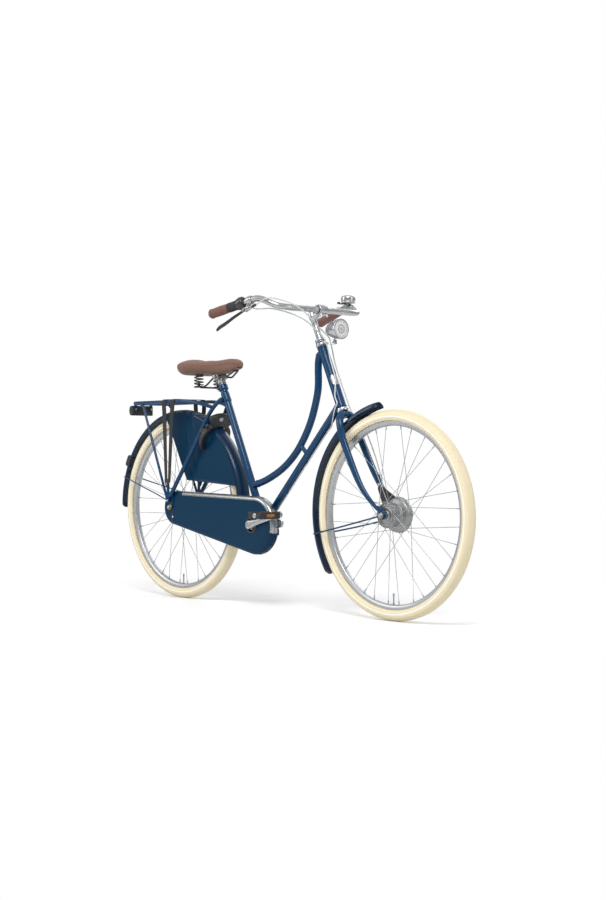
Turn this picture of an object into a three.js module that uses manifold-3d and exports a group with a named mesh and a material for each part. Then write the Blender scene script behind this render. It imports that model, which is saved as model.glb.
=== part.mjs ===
// A step-through city bicycle: swept loop frame, full chain case, coat guards,
// ring lock, rear carrier and a front hub with a drum brake.
// Millimetres, +X forward, +Y to the rider's left, +Z up, origin on the ground
// in the middle of the bicycle's length.
import * as THREE from 'three';
import { mergeVertices } from 'three/addons/utils/BufferGeometryUtils.js';
import Module from 'manifold-3d';

const wasm = await Module();
wasm.setup();

// Wheels and the three points that the frame hangs on
const wheelbase = 1139;
const tyreOuterRadius = 355;
const tyreSection = 45;
const rimFlangeRadius = 317.5;
const rimInnerRadius = 300;
const rimWidth = 25;
const rimLipWidth = 2.4;
const rimChannelDepth = 7;
const rimBedWidth = 12;
const axleHeight = tyreOuterRadius;
const bottomBracketForward = 480;
const bottomBracketHeight = 303;
const trail = 79.8;
const headAngle = 65.53 * Math.PI / 180;
const seatAngle = 65.2 * Math.PI / 180;

// Fits that every piece shares
const gap = 0.3;
const runningGap = 0.7;
const overrun = 6;
const mergeLimit = 0.001;
const flatness = 0.05;
const half = 1 / 2;
const degrees = Math.PI / 180;

// Facets round each kind of tube
const wheelFacets = 28;
const tubeFacets = 12;
const smallFacets = 6;
const pipeFacets = 8;

// Frame tubes
const headTubeRadius = 18;
const headTubeBore = 15;
const headTubeLow = 720;
const headTubeHigh = 938;
const headsetCupHeight = 14;
const headsetCupRadius = 21;
const headsetBore = 13.1;
const loopTubeRadius = 13;
const downTubeRadius = 14.3;
const downTubeTop = 735;
const loopTubeTop = 918;
const loopTubeSeatHeight = 443;
const braceRadius = 8;
const seatTubeRadius = 14.3;
const seatTubeBore = 12.9;
const seatTubeTop = 823;
const seatCollarRadius = 18.5;
const seatCollarHeight = 20;
const seatLugRadius = 16.5;
const seatLugLow = 755;
const seatLugHigh = 796;
const shellRadius = 20;
const shellBore = 17;
const shellHalfWidth = 34;
const shellCupDepth = 9;
const axleJournalRadius = 8.3;

// Rear triangle
const chainStayRadius = 7.5;
const chainStaySpread = 54;
const dropoutInner = 58;
const dropoutThickness = 3.7;
const dropoutDiscRadius = 15;
const dropoutLength = 92;
const seatStayRadius = 8;
const seatStaySpread = 74;
const seatStayTopForward = 256;
const seatStayTopHeight = 768;
const stayCrossBarRadius = 7;
const stayPlateInner = 64.3;
const stayPlateThickness = 4;
const eyeletHeight = 25.5;
const eyeletBoltRadius = 2.7;
const eyeletHeadRadius = 5;
const eyeletRadius = 7;

// Mudguards
const mudguardRadius = 380;
const frontGuardRadius = 384;
const frontGuardAhead = 4;
const frontGuardRise = 5;
const frontGuardTip = 101;
const frontGuardEnd = 215;
const crownTabAngle = 128;
const frontStayAngle = 192.4;
const rearStayAngle = 162;
const rearGuardTip = -5;
const rearGuardEnd = 181.5;
const mudguardHalfWidth = 29.5;
const mudguardDrop = 18;
const mudguardWall = 1.2;
const mudguardStayRadius = 2.3;
const mudguardStayOut = 71.2;
const reflectorLength = 52;
const reflectorWidth = 42;
const reflectorAngle = 152.4 * Math.PI / 180;
const tailReach = 366;

// Carrier and what it carries
const carrierHeight = 765;
const carrierRear = 242;
const carrierFront = 92;
const carrierNose = 220;
const carrierNoseDrop = 24;
const carrierHalfWidth = 70;
const carrierRailRadius = 7;
const carrierBarWidth = 9;
const carrierBarHeight = 6;
const carrierStrutRadius = 5;
const carrierStrutRear = 174;
const carrierStrutOut = 78.6;
const carrierEyeThickness = 4;
const anchorHeight = 92;
const strapWidth = 24;
const strapFootWidth = 13;
const strapThickness = 2.5;
const strapRear = 23;
const strapFront = 31;
const rearLightWidth = 103;
const rearLightHeight = 41.5;
const rearLightDepth = 28;
const rearLightFront = 265;
const rearLightRise = 737;

// Ring lock
const lockRingRadius = 60;
const lockRingHalfBand = 8;
const lockHalfDepth = 10;
const lockBodyHalfDepth = 12;
const lockBoltRadius = 4.2;
const lockChannelRadius = 5.4;
const lockReach = 330;
const lockReachAngle = 54.5 * Math.PI / 180;
const lockLean = 58 * Math.PI / 180;
const lockBodyRise = 108;
const lockLeverWidth = 5;
const lockLeverReach = 80;

// Drive
const chainPitch = 12.7;
const chainringTeeth = 36;
const sprocketTeeth = 18;
const toothHeight = 3.4;
const chainPlateHalf = 4;
const chainPlateWall = 2.1;
const chainLine = 46;
const chainHalfWidth = 4;
const toothPlateHalf = 1.4;
const crankLength = 170;
const crankRise = 14 * Math.PI / 180;
const crankRightInner = 67;
const crankLeftInner = 70;
const crankThickness = 13;
const crankBossRadius = 16;
const crankEndRadius = 12;
const pedalInner = 96;
const pedalWidth = 98;
const pedalLength = 70;
const pedalHeight = 25;
const pedalSpindleRadius = 6;
const caseRearRadius = 65;
const caseFrontRadius = 106;
const caseRearForward = 20;
const caseRearHeight = 353;
const caseFrontForward = 494;
const caseFrontHeight = 300;
const caseInner = 34;
const caseOuter = 64;
const caseWall = 1.8;
const caseCrankHole = 27;

// Saddle
const saddleRear = 75;
const saddleNose = 347;
const saddleHalfWidth = 110;
const saddleTop = 925;
const saddleBase = 866;
const springRadius = 17;
const springWire = 5;
const springTurns = 3.5;
const springForward = 155;
const springOut = 47;
const springLow = 822;
const seatPostRadius = 12.5;
const seatPostTop = 846;
const seatPostDepth = 180;
const saddleRailRadius = 3.5;
const saddleRailOut = 22;

// Front end
const steererRadius = 12.7;
const steererBore = 11.5;
const crownHeight = 700;
const crownRadius = 17;
const bladeRadius = 14;
const bladeFlatShare = 0.72;
const forkSpread = 52;
const forkEndThickness = 5;
const forkEndRadius = 15;
const locknutHeight = 18;
const locknutRadius = 19.5;
const quillRadius = 10.8;
const quillLow = 860;
const neckHeight = 1036;
const neckRadius = 12;
const barForward = 787;
const barHeight = 1069;
const barReach = 294;
const barHalfWidth = 267;
const barRise = 33;
const barRadius = 11.1;
const clampRadius = 19;
const clampHalfWidth = 21;
const gripRadius = 16;
const lampAhead = 37;
const lampRise = 42;
const lampRadius = 36;
const lampLength = 74;
const lampWall = 1.5;
const lampBoltAhead = 74.7;
const lampBoltDrop = 16;
const bellRadius = 26.5;
const bellHeight = 31;
const bellBase = 1115;

// Hubs
const frontFlangeRadius = 43;
const frontFlangeRight = 36;
const frontFlangeLeft = 29;
const frontShellRadius = 35;
const rearFlangeRadius = 36;
const rearFlangeOffset = 30;
const rearShellRadius = 31;
const flangeThickness = 3;
const axleRadius = 4.8;
const hubBore = 5.8;
const spokeRadius = 1.15;
const spokesPerSide = 16;
const lacingTurn = Math.PI / 4;
const spokeRimOffset = 4.5;
const drumRadius = 54;
const drumShellRadius = 58;
const drumFlangeRadius = 61;
const drumInner = 33.5;
const drumOuter = 43;
const nutRadius = 9;
const nutThickness = 7;

// Cables
const cableRadius = 2.5;
// The shift cable parts at the steering joint, its ends square to the steering axis
const cableAhead = 7;
const cableAside = 22.5;
const cableJoinHeight = 745;
const cableJoinGap = 0.9;
const cableJoinRun = 8;

// Placing helpers
const point = (x, y, z) => new THREE.Vector3(x, y, z);
const mix = (from, to, share) => from + (to - from) * share;
const headX = (z) => wheelbase + trail - z / Math.tan(headAngle);
const onHead = (z) => point(headX(z), 0, z);
const seatX = (z) => bottomBracketForward - (z - bottomBracketHeight) / Math.tan(seatAngle);
const onSeat = (z) => point(seatX(z), 0, z);
const bottomBracket = point(bottomBracketForward, 0, bottomBracketHeight);
const rearAxle = point(0, 0, axleHeight);
const frontAxle = point(wheelbase, 0, axleHeight);
const sides = [-1, 1];

// A closed three.js geometry as a solid, its doubled vertices merged and its
// collapsed faces left out, turned the right way out
function toSolid(geometry, matrix) {
  const bare = geometry.clone();
  bare.deleteAttribute('normal');
  bare.deleteAttribute('uv');
  if (matrix) bare.applyMatrix4(matrix);
  const merged = mergeVertices(bare, mergeLimit);
  const places = merged.attributes.position.array;
  const corners = [];
  let volume = 0;
  const a = new THREE.Vector3();
  const b = new THREE.Vector3();
  const c = new THREE.Vector3();
  for (let i = 0; i < merged.index.count; i += 3) {
    const face = [merged.index.getX(i), merged.index.getX(i + 1), merged.index.getX(i + 2)];
    if (face[0] === face[1] || face[1] === face[2] || face[2] === face[0]) continue;
    a.fromArray(places, 3 * face[0]);
    b.fromArray(places, 3 * face[1]);
    c.fromArray(places, 3 * face[2]);
    volume += a.dot(b.cross(c));
    corners.push(face);
  }
  if (volume < 0) corners.forEach((face) => face.reverse());
  return new wasm.Manifold(new wasm.Mesh({
    numProp: 3,
    vertProperties: new Float32Array(places),
    triVerts: new Uint32Array(corners.flat()),
  }));
}

function toGeometry(solid) {
  const mesh = solid.asOriginal().simplify(flatness).getMesh();
  const geometry = new THREE.BufferGeometry();
  geometry.setAttribute('position', new THREE.BufferAttribute(mesh.vertProperties, 3));
  geometry.setIndex(new THREE.BufferAttribute(mesh.triVerts, 1));
  geometry.computeVertexNormals();
  return geometry;
}

const joined = (...solids) => solids.flat().reduce((all, one) => all.add(one));
const cut = (solid, ...tools) => tools.flat().reduce((all, one) => all.subtract(one), solid);

function rod(from, to, radius, facets = tubeFacets) {
  const run = to.clone().sub(from);
  const geometry = new THREE.CylinderGeometry(radius, radius, run.length(), facets);
  const turn = new THREE.Quaternion().setFromUnitVectors(point(0, 1, 0), run.clone().normalize());
  const middle = from.clone().lerp(to, half);
  return toSolid(geometry, new THREE.Matrix4().compose(middle, turn, point(1, 1, 1)));
}

// A disc or drum whose axis runs across the bicycle
const disc = (x, z, radius, y0, y1, facets = tubeFacets) =>
  rod(point(x, y0, z), point(x, y1, z), radius, facets);

function roundOutline(radius, facets) {
  const outline = [];
  for (let i = 0; i < facets; i += 1) {
    const turn = 2 * Math.PI * i / facets;
    outline.push(new THREE.Vector2(radius * Math.cos(turn), radius * Math.sin(turn)));
  }
  return new THREE.Shape(outline);
}

// A tube of one radius along a smooth curve through the points
function pipe(points, radius, steps, facets = pipeFacets) {
  const extrudePath = new THREE.CatmullRomCurve3(points, false, 'centripetal');
  const settings = { steps, extrudePath, bevelEnabled: false };
  return toSolid(new THREE.ExtrudeGeometry(roundOutline(radius, facets), settings));
}

// A plate cut to an outline of forward and upward places, between two offsets
function plate(outline, y0, y1) {
  const shape = new THREE.Shape(outline.map(([x, z]) => new THREE.Vector2(x, z)));
  const settings = { depth: Math.abs(y1 - y0), bevelEnabled: false };
  const matrix = new THREE.Matrix4().makeBasis(point(1, 0, 0), point(0, 0, 1), point(0, -1, 0));
  matrix.setPosition(0, Math.max(y0, y1), 0);
  return toSolid(new THREE.ExtrudeGeometry(shape, settings), matrix);
}

// A block given by its middle, its size and how far it leans about the Y axis
function block(middle, size, lean = 0) {
  const turn = new THREE.Quaternion().setFromAxisAngle(point(0, 1, 0), lean);
  const matrix = new THREE.Matrix4().compose(middle, turn, point(1, 1, 1));
  return toSolid(new THREE.BoxGeometry(size.x, size.y, size.z), matrix);
}

// A ring turned about the Y axis from a closed outline of radii and offsets
function turned(outline, facets = wheelFacets, matrix = undefined) {
  const closed = [...outline, outline[0]].map(([radius, y]) => new THREE.Vector2(radius, y));
  return toSolid(new THREE.LatheGeometry(closed, facets), matrix);
}

// A ring turned about the line between two places, from radii and distances
function turnedOn(from, to, outline, facets = tubeFacets) {
  const along = to.clone().sub(from).normalize();
  const turn = new THREE.Quaternion().setFromUnitVectors(point(0, 1, 0), along);
  return turned(outline, facets, new THREE.Matrix4().compose(from, turn, point(1, 1, 1)));
}

// A skin over rings with as many points each, closed by a strip at either end
function loft(rings) {
  const count = rings[0].length;
  const places = rings.flat().flatMap((p) => [p.x, p.y, p.z]);
  const faces = [];
  for (let r = 0; r + 1 < rings.length; r += 1) {
    for (let i = 0; i < count; i += 1) {
      const near = r * count + i;
      const next = r * count + (i + 1) % count;
      faces.push(near, next, near + count, next, next + count, near + count);
    }
  }
  const cap = (base, flip) => {
    for (let i = 0; i < count / 2 - 1; i += 1) {
      const far = count - 1 - i;
      const quad = [i, far, i + 1, i + 1, far, far - 1].map((k) => base + k);
      if (far - 1 === i + 1) quad.length = 3;
      faces.push(...(flip ? quad.reverse() : quad));
    }
  };
  cap(0, false);
  cap((rings.length - 1) * count, true);
  const geometry = new THREE.BufferGeometry();
  geometry.setAttribute('position', new THREE.Float32BufferAttribute(places, 3));
  geometry.setIndex(faces);
  return toSolid(geometry);
}

// A tube whose radius and flatness change along its curve; the second radius
// lies across the bicycle
function tapered(points, radii, flatness, steps, facets = smallFacets) {
  const curve = new THREE.CatmullRomCurve3(points, false, 'centripetal');
  const rings = [];
  for (let s = 0; s <= steps; s += 1) {
    const t = s / steps;
    const place = curve.getPoint(t);
    const along = curve.getTangent(t);
    const up = point(0, 1, 0).cross(along).normalize();
    const across = along.clone().cross(up).normalize();
    const slot = Math.min(Math.floor(t * (radii.length - 1)), radii.length - 2);
    const radius = mix(radii[slot], radii[slot + 1], t * (radii.length - 1) - slot);
    const ring = [];
    for (let i = 0; i < facets; i += 1) {
      const turn = 2 * Math.PI * (i + half) / facets;
      const p = place.clone().addScaledVector(up, radius * Math.cos(turn));
      ring.push(p.addScaledVector(across, radius * flatness * Math.sin(turn)));
    }
    rings.push(ring);
  }
  return loft(rings);
}

// The outline of a belt round two circles, in forward and upward places
function beltOutline(rear, rearRadius, front, frontRadius, steps) {
  const run = front.clone().sub(rear);
  const heading = Math.atan2(run.z, run.x);
  const lean = Math.acos((rearRadius - frontRadius) / run.length());
  const outline = [];
  const arc = (middle, radius, from, to) => {
    for (let i = 0; i <= steps; i += 1) {
      const turn = heading + mix(from, to, i / steps);
      outline.push([middle.x + radius * Math.cos(turn), middle.z + radius * Math.sin(turn)]);
    }
  };
  arc(front, frontRadius, -lean, lean);
  arc(rear, rearRadius, lean, 2 * Math.PI - lean);
  return outline;
}

// Finishes
const finish = (color, roughness, metalness) =>
  new THREE.MeshStandardMaterial({ color, roughness, metalness });
const framePaint = () => finish(0x1e4064, 0.25, 0.1);
const alloy = () => finish(0xb4b5b6, 0.3, 0.9);
const steel = () => finish(0x9a9b9c, 0.35, 0.9);
const blackPlastic = () => finish(0x2c2c2e, 0.5, 0);
const creamRubber = () => finish(0xece0c4, 0.8, 0);
const brownLeather = () => finish(0x7c5f52, 0.7, 0);
const lacquerCloth = () => finish(0x1d3b5c, 0.5, 0);
const redLens = () => finish(0x9a1518, 0.3, 0);
const clearLens = () => finish(0xd8dcdc, 0.15, 0);
const chrome = () => finish(0xc8cacc, 0.12, 1);
const cableGrey = () => finish(0xc9cbc9, 0.5, 0);

const bicycle = new THREE.Group();
bicycle.position.x = (mudguardRadius - wheelbase - tyreOuterRadius) / 2;
const rearWheel = new THREE.Group();
rearWheel.position.copy(rearAxle);
const frontWheel = new THREE.Group();
frontWheel.position.copy(frontAxle);
const crankset = new THREE.Group();
crankset.position.copy(bottomBracket);
bicycle.add(rearWheel, frontWheel, crankset);

function add(group, name, solid, material) {
  const mesh = new THREE.Mesh(toGeometry(solid), material);
  mesh.name = name;
  group.add(mesh);
}

// Head tube with its two bearing cups pressed in
const headTubeOutside = (grow) =>
  rod(onHead(headTubeLow - grow), onHead(headTubeHigh + grow), headTubeRadius + grow, 14);
const cupMiddle = headsetCupHeight / 2;
const lowerCupLow = headTubeLow - headsetCupHeight;
const upperCupHigh = headTubeHigh + headsetCupHeight;
const lowerCupOutside = (grow) =>
  rod(onHead(lowerCupLow - grow), onHead(headTubeLow + grow), headsetCupRadius + grow, 14);
const upperCupOutside = (grow) =>
  rod(onHead(headTubeHigh - grow), onHead(upperCupHigh + grow), headsetCupRadius + grow, 14);
add(bicycle, 'head_tube', turnedOn(onHead(0), onHead(headTubeLow), [
  [headsetBore, lowerCupLow], [headsetCupRadius, lowerCupLow],
  [headsetCupRadius, headTubeLow], [headTubeRadius, headTubeLow],
  [headTubeRadius, headTubeHigh], [headsetCupRadius, headTubeHigh],
  [headsetCupRadius, upperCupHigh], [headsetBore, upperCupHigh],
  [headsetBore, headTubeHigh + cupMiddle], [headTubeBore, headTubeHigh + cupMiddle],
  [headTubeBore, headTubeLow - cupMiddle], [headsetBore, headTubeLow - cupMiddle],
].map(([radius, z]) => [radius, z / Math.sin(headAngle)]), 14), framePaint());

// Seat tube with the bottom bracket shell, seat lug and seat collar
const shellOutside = (grow) => disc(
  bottomBracketForward, bottomBracketHeight, shellRadius + grow,
  -shellHalfWidth - grow, shellHalfWidth + grow, 14);
const seatTubeOutside = (grow) =>
  rod(bottomBracket, onSeat(seatTubeTop + grow), seatTubeRadius + grow, 12);
const seatLugOutside = (grow) =>
  rod(onSeat(seatLugLow - grow), onSeat(seatLugHigh + grow), seatLugRadius + grow, 12);
const seatCollar = rod(
  onSeat(seatTubeTop - seatCollarHeight), onSeat(seatTubeTop), seatCollarRadius, 12);
const shellHollow = disc(
  bottomBracketForward, bottomBracketHeight, shellBore,
  shellCupDepth - shellHalfWidth, shellHalfWidth - shellCupDepth, 12);
const shellPassage = disc(
  bottomBracketForward, bottomBracketHeight, axleJournalRadius + 2 * gap,
  -shellHalfWidth - overrun, shellHalfWidth + overrun, 12);
const seatPostHole = rod(
  onSeat(seatPostTop - seatPostDepth), onSeat(seatTubeTop + overrun), seatTubeBore, 12);
add(bicycle, 'seat_tube', cut(
  joined(seatTubeOutside(0), seatLugOutside(0), seatCollar, shellOutside(0)),
  shellHollow, shellPassage, seatPostHole), framePaint());

// Loop tube: it leaves the head tube near its top, drops beside it and sweeps
// back to the seat tube, with a short brace down to the down tube
const loopShares = [
  [0, 0], [0.205, 0.049], [0.414, 0.128], [0.55, 0.205], [0.648, 0.281], [0.723, 0.358],
  [0.784, 0.433], [0.833, 0.51], [0.869, 0.584], [0.898, 0.656], [0.918, 0.725],
  [0.924, 0.8], [0.922, 0.875], [0.926, 0.94], [0.945, 0.985], [1, 1],
];
const loopLow = onSeat(loopTubeSeatHeight);
const loopHigh = onHead(loopTubeTop);
const onLoop = ([along, rise]) =>
  point(mix(loopLow.x, loopHigh.x, along), 0, mix(loopLow.z, loopHigh.z, rise));
const braceLoopShares = [0.687, 0.313];
const braceDownShare = 0.587;
const downTop = onHead(downTubeTop);
const onDown = (share) => bottomBracket.clone().lerp(downTop, share);
const brace = rod(onLoop(braceLoopShares), onDown(braceDownShare), braceRadius, smallFacets);
const downTubeOutside = (grow) => rod(bottomBracket, downTop, downTubeRadius + grow, 12);
const loopTube = joined(pipe(loopShares.map(onLoop), loopTubeRadius, 22, 8), brace);
add(bicycle, 'loop_tube', cut(
  loopTube, headTubeOutside(gap), upperCupOutside(gap), seatTubeOutside(gap),
  downTubeOutside(gap)), framePaint());
add(bicycle, 'down_tube', cut(
  downTubeOutside(0), headTubeOutside(gap), lowerCupOutside(gap), shellOutside(gap),
  seatTubeOutside(gap)), framePaint());

// Chain stays with their cross bar and flat ends
const chainStayShares = [
  [0.965, 0.42], [0.9, 0.52], [0.73, 0.62], [0.42, 0.665], [0.27, 0.8], [0.163, 1],
];
const stayHeight = (x) => mix(axleHeight, bottomBracketHeight, x / bottomBracketForward);
const chainStayPoints = (side) => chainStayShares.map(([along, out]) => {
  const x = along * bottomBracketForward;
  return point(x, side * out * chainStaySpread, stayHeight(x));
});
const chainStay = (side, grow) => pipe(chainStayPoints(side), chainStayRadius + grow, 7, 6);
const stayBridgeForward = mudguardRadius + 2 * gap + stayCrossBarRadius;
const stayBridgeHeight = stayHeight(stayBridgeForward);
function dropout(side) {
  const y0 = side * dropoutInner;
  const y1 = side * (dropoutInner + dropoutThickness);
  const rise = chainStayRadius;
  const tongue = plate([
    [0, axleHeight - dropoutDiscRadius], [dropoutLength, stayHeight(dropoutLength) - rise],
    [dropoutLength, stayHeight(dropoutLength) + rise], [0, axleHeight + dropoutDiscRadius],
  ], y0, y1);
  return joined(tongue, disc(0, axleHeight, dropoutDiscRadius, y0, y1, 12));
}
const rearAxleHole = disc(
  0, axleHeight, axleRadius + 2 * gap, -carrierHalfWidth - overrun, carrierHalfWidth + overrun, 10);
const chainStays = joined(
  chainStay(-1, 0), chainStay(1, 0),
  disc(stayBridgeForward, stayBridgeHeight, stayCrossBarRadius,
    -chainStaySpread * 0.55, chainStaySpread * 0.55, 8),
  dropout(-1), dropout(1));
add(bicycle, 'chain_stays', cut(chainStays, shellOutside(gap), rearAxleHole), framePaint());

// Seat stays: a cross bar behind the seat lug, a bridge over the mudguard and
// flat ends with the eyelet bolt that holds the mudguard and carrier struts
const seatStayShares = [
  [1, 0.28, 1], [0.93, 0.39, 0.961], [0.809, 0.52, 0.869], [0.625, 0.7, 0.661],
  [0.449, 0.856, 0.472], [0.234, 0.975, 0.266], [0.054, 1, 0.116],
];
const seatStayPoints = (side) => seatStayShares.map(([along, out, rise]) => point(
  along * seatStayTopForward, side * out * seatStaySpread,
  mix(axleHeight, seatStayTopHeight, rise)));
const seatStay = (side, grow) => pipe(seatStayPoints(side), seatStayRadius + grow, 8, 6);
const seatStaysOutside = (grow) => sides.map((side) => seatStay(side, grow));
const bridgeAngle = 59.5 * Math.PI / 180;
const bridgeReach = mudguardRadius + 2 * gap + stayCrossBarRadius;
const bridgeX = bridgeReach * Math.cos(bridgeAngle);
const bridgeZ = axleHeight + bridgeReach * Math.sin(bridgeAngle);
const stayEndX = seatStayShares[6][0] * seatStayTopForward;
const stayEndZ = mix(axleHeight, seatStayTopHeight, seatStayShares[6][2]);
function stayEnd(side) {
  const y0 = side * stayPlateInner;
  const y1 = side * (stayPlateInner + stayPlateThickness);
  const boltEnd = side * (carrierStrutOut + 2 * gap);
  const flat = plate([
    [-eyeletRadius, axleHeight - eyeletRadius], [eyeletRadius * 2, axleHeight - eyeletRadius],
    [stayEndX + seatStayRadius, stayEndZ], [stayEndX - seatStayRadius, stayEndZ + overrun],
    [-eyeletRadius, axleHeight + eyeletHeight + eyeletRadius],
  ], y0, y1);
  const pin = disc(0, axleHeight + eyeletHeight, eyeletBoltRadius, y0, boltEnd, smallFacets);
  const head = disc(0, axleHeight + eyeletHeight, eyeletHeadRadius,
    boltEnd - side * gap, boltEnd + side * 2 * eyeletBoltRadius, 6);
  return joined(flat, disc(0, axleHeight, dropoutDiscRadius, y0, y1, 10), pin, head);
}
const stayTopBarHalf = seatStaySpread * 0.36;
const seatStays = joined(
  seatStaysOutside(0),
  disc(seatStayTopForward - seatStayRadius, seatStayTopHeight - seatStayRadius,
    stayCrossBarRadius, -stayTopBarHalf, stayTopBarHalf, 8),
  disc(bridgeX, bridgeZ, stayCrossBarRadius, -seatStaySpread * 0.55, seatStaySpread * 0.55, 8),
  stayEnd(-1), stayEnd(1));
add(bicycle, 'seat_stays', cut(
  seatStays, seatTubeOutside(gap), seatLugOutside(gap), rearAxleHole), framePaint());

// Rear axle with its nuts, the lock nuts inside the ends and the gear pulley
const pulleyInner = chainLine + chainHalfWidth + 1.3;
const pulleyOuter = dropoutInner - gap;
const pulleyArmEnd = point(68, 0, 337);
const axleEnd = stayPlateInner + stayPlateThickness + nutThickness + 2 * gap;
const nutInner = stayPlateInner + stayPlateThickness + gap;
const rearLockNut = rearFlangeOffset + flangeThickness * 2;
const rearAxleSolid = joined(
  disc(0, axleHeight, axleRadius, -axleEnd, axleEnd, 8),
  disc(0, axleHeight, nutRadius, nutInner, nutInner + nutThickness - gap, 6),
  disc(0, axleHeight, nutRadius, -nutInner, -nutInner - nutThickness + gap, 6),
  disc(0, axleHeight, nutRadius, rearLockNut, pulleyOuter, 6),
  disc(0, axleHeight, 22, -pulleyInner, -pulleyOuter, 10),
  plate([[0, axleHeight], [0, axleHeight - 20], [pulleyArmEnd.x, pulleyArmEnd.z - 4],
    [pulleyArmEnd.x, pulleyArmEnd.z + 2]], -pulleyInner, -pulleyInner - 3));
add(bicycle, 'rear_axle', rearAxleSolid, steel());

// Mudguards: a rounded gutter swept round the wheel, with wire stays
const gutterShares = [
  [-1, 1], [-0.8, 0.28], [0, 0], [0.8, 0.28], [1, 1],
];
function gutter(middle, reach, from, to, steps, grow = 0, wall = mudguardWall) {
  const rings = [];
  for (let s = 0; s <= steps; s += 1) {
    const turn = mix(from, to, s / steps) * Math.PI / 180;
    const at = (radius, y) => point(
      middle.x + radius * Math.cos(turn), y, middle.z + radius * Math.sin(turn));
    const outer = gutterShares.map(([out, drop]) =>
      at(reach + grow - drop * mudguardDrop, out * (mudguardHalfWidth + grow)));
    const inner = gutterShares.map(([out, drop]) => at(
      reach - wall - drop * (mudguardDrop - mudguardWall / 2),
      out * (mudguardHalfWidth - mudguardWall)));
    rings.push([...outer, ...inner.reverse()]);
  }
  return loft(rings);
}
const eyelet = point(0, 0, axleHeight + eyeletHeight);
const eyeHole = (side) => disc(eyelet.x, eyelet.z, eyeletBoltRadius + gap,
  side * stayPlateInner, side * (carrierStrutOut + carrierEyeThickness), smallFacets);
const onGutter = (middle, reach, turn, side) => point(
  middle.x + (reach - mudguardDrop * 0.6) * Math.cos(turn * degrees),
  side * (mudguardHalfWidth - mudguardWall),
  middle.z + (reach - mudguardDrop * 0.6) * Math.sin(turn * degrees));
const rearStayShares = [
  [-0.553, 0.73, 0.21], [-0.237, 0.98, 0.137], [-0.079, 1, 0.087], [0, 1, 0.067],
];
const stayWires = (side) => joined(
  pipe([
    onGutter(rearAxle, mudguardRadius, rearStayAngle, side),
    ...rearStayShares.map(([back, out, rise]) => point(
      back * mudguardRadius, side * out * mudguardStayOut, axleHeight + rise * mudguardRadius)),
  ], mudguardStayRadius, 5, 5),
  disc(eyelet.x, eyelet.z, eyeletRadius,
    side * (stayPlateInner + stayPlateThickness + gap), side * (mudguardStayOut + 1), pipeFacets));
const rearMudguard = joined(
  gutter(rearAxle, mudguardRadius, rearGuardEnd, rearGuardTip, 17), stayWires(-1), stayWires(1));
add(bicycle, 'rear_mudguard', cut(rearMudguard, eyeHole(-1), eyeHole(1)), framePaint());

// Tail reflector on the rear mudguard
const reflectorDepth = -(tailReach - reflectorLength * half * Math.sin(reflectorAngle))
  / Math.cos(reflectorAngle) - mudguardRadius - gap;
const reflectorReach = mudguardRadius + gap + reflectorDepth * half;
const reflectorMiddle = point(
  reflectorReach * Math.cos(reflectorAngle), 0, axleHeight + reflectorReach * Math.sin(reflectorAngle));
const reflectorBody = joined(
  block(reflectorMiddle, point(reflectorDepth, reflectorWidth, reflectorLength),
    Math.PI - reflectorAngle),
  block(point(mudguardRadius * Math.cos(reflectorAngle), 0,
    axleHeight + mudguardRadius * Math.sin(reflectorAngle)),
  point(mudguardDrop, reflectorWidth, reflectorLength), Math.PI - reflectorAngle));
const gutterSkin = gutter(
  rearAxle, mudguardRadius, rearGuardEnd, rearGuardTip, 17, gap, mudguardDrop);
add(bicycle, 'tail_reflector', cut(reflectorBody, gutterSkin), redLens());

// Saddle: post, clamp with rails, two coil springs and the padded cover
const postTop = onSeat(seatPostTop);
add(bicycle, 'seat_post', rod(
  onSeat(seatPostTop - seatPostDepth + overrun), postTop, seatPostRadius, 12), alloy());
const clampMiddle = onSeat(seatPostTop - 10);
const clampTopMiddle = onSeat(seatPostTop + 9);
const railFrontShares = [[0.9, 0.41, 1.18], [0.82, 0.55, 0.91], [0.725, 0.82, 0.68]];
const railBackShares = [[0.47, 1.18, 0.455], [0.408, 1.5, 0.07]];
const onRail = (side) => ([along, out, rise]) => point(
  mix(saddleRear, saddleNose, along), side * out * saddleRailOut, mix(springLow, saddleBase, rise));
const railNose = onRail(1)(railFrontShares[0]);
const railPoints = (side) => [
  ...railFrontShares.map(onRail(side)),
  point(clampTopMiddle.x, side * saddleRailOut, clampTopMiddle.z),
  ...railBackShares.map(onRail(side)),
  point(springForward + springRadius, side * (springOut - springWire), springLow - 2 * saddleRailRadius),
];
const springSeat = (side) => rod(
  point(springForward, side * springOut, springLow - 2 * saddleRailRadius),
  point(springForward, side * springOut, springLow - gap), springRadius + springWire / 2, 8);
const saddleFrame = joined(
  pipe(railPoints(-1), saddleRailRadius, 8, 5), pipe(railPoints(1), saddleRailRadius, 8, 5),
  rod(onSeat(seatPostTop - 18), onSeat(seatPostTop + 9), 17, 12),
  disc(clampTopMiddle.x, clampTopMiddle.z, 9, -saddleRailOut - 6, saddleRailOut + 6, 10),
  disc(railNose.x, railNose.z, 4, -railNose.y, railNose.y, 8), springSeat(-1), springSeat(1));
const postHole = rod(onSeat(seatTubeTop), onSeat(seatPostTop + gap), seatPostRadius + gap, 12);
add(bicycle, 'saddle_frame', cut(saddleFrame, postHole), blackPlastic());

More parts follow.
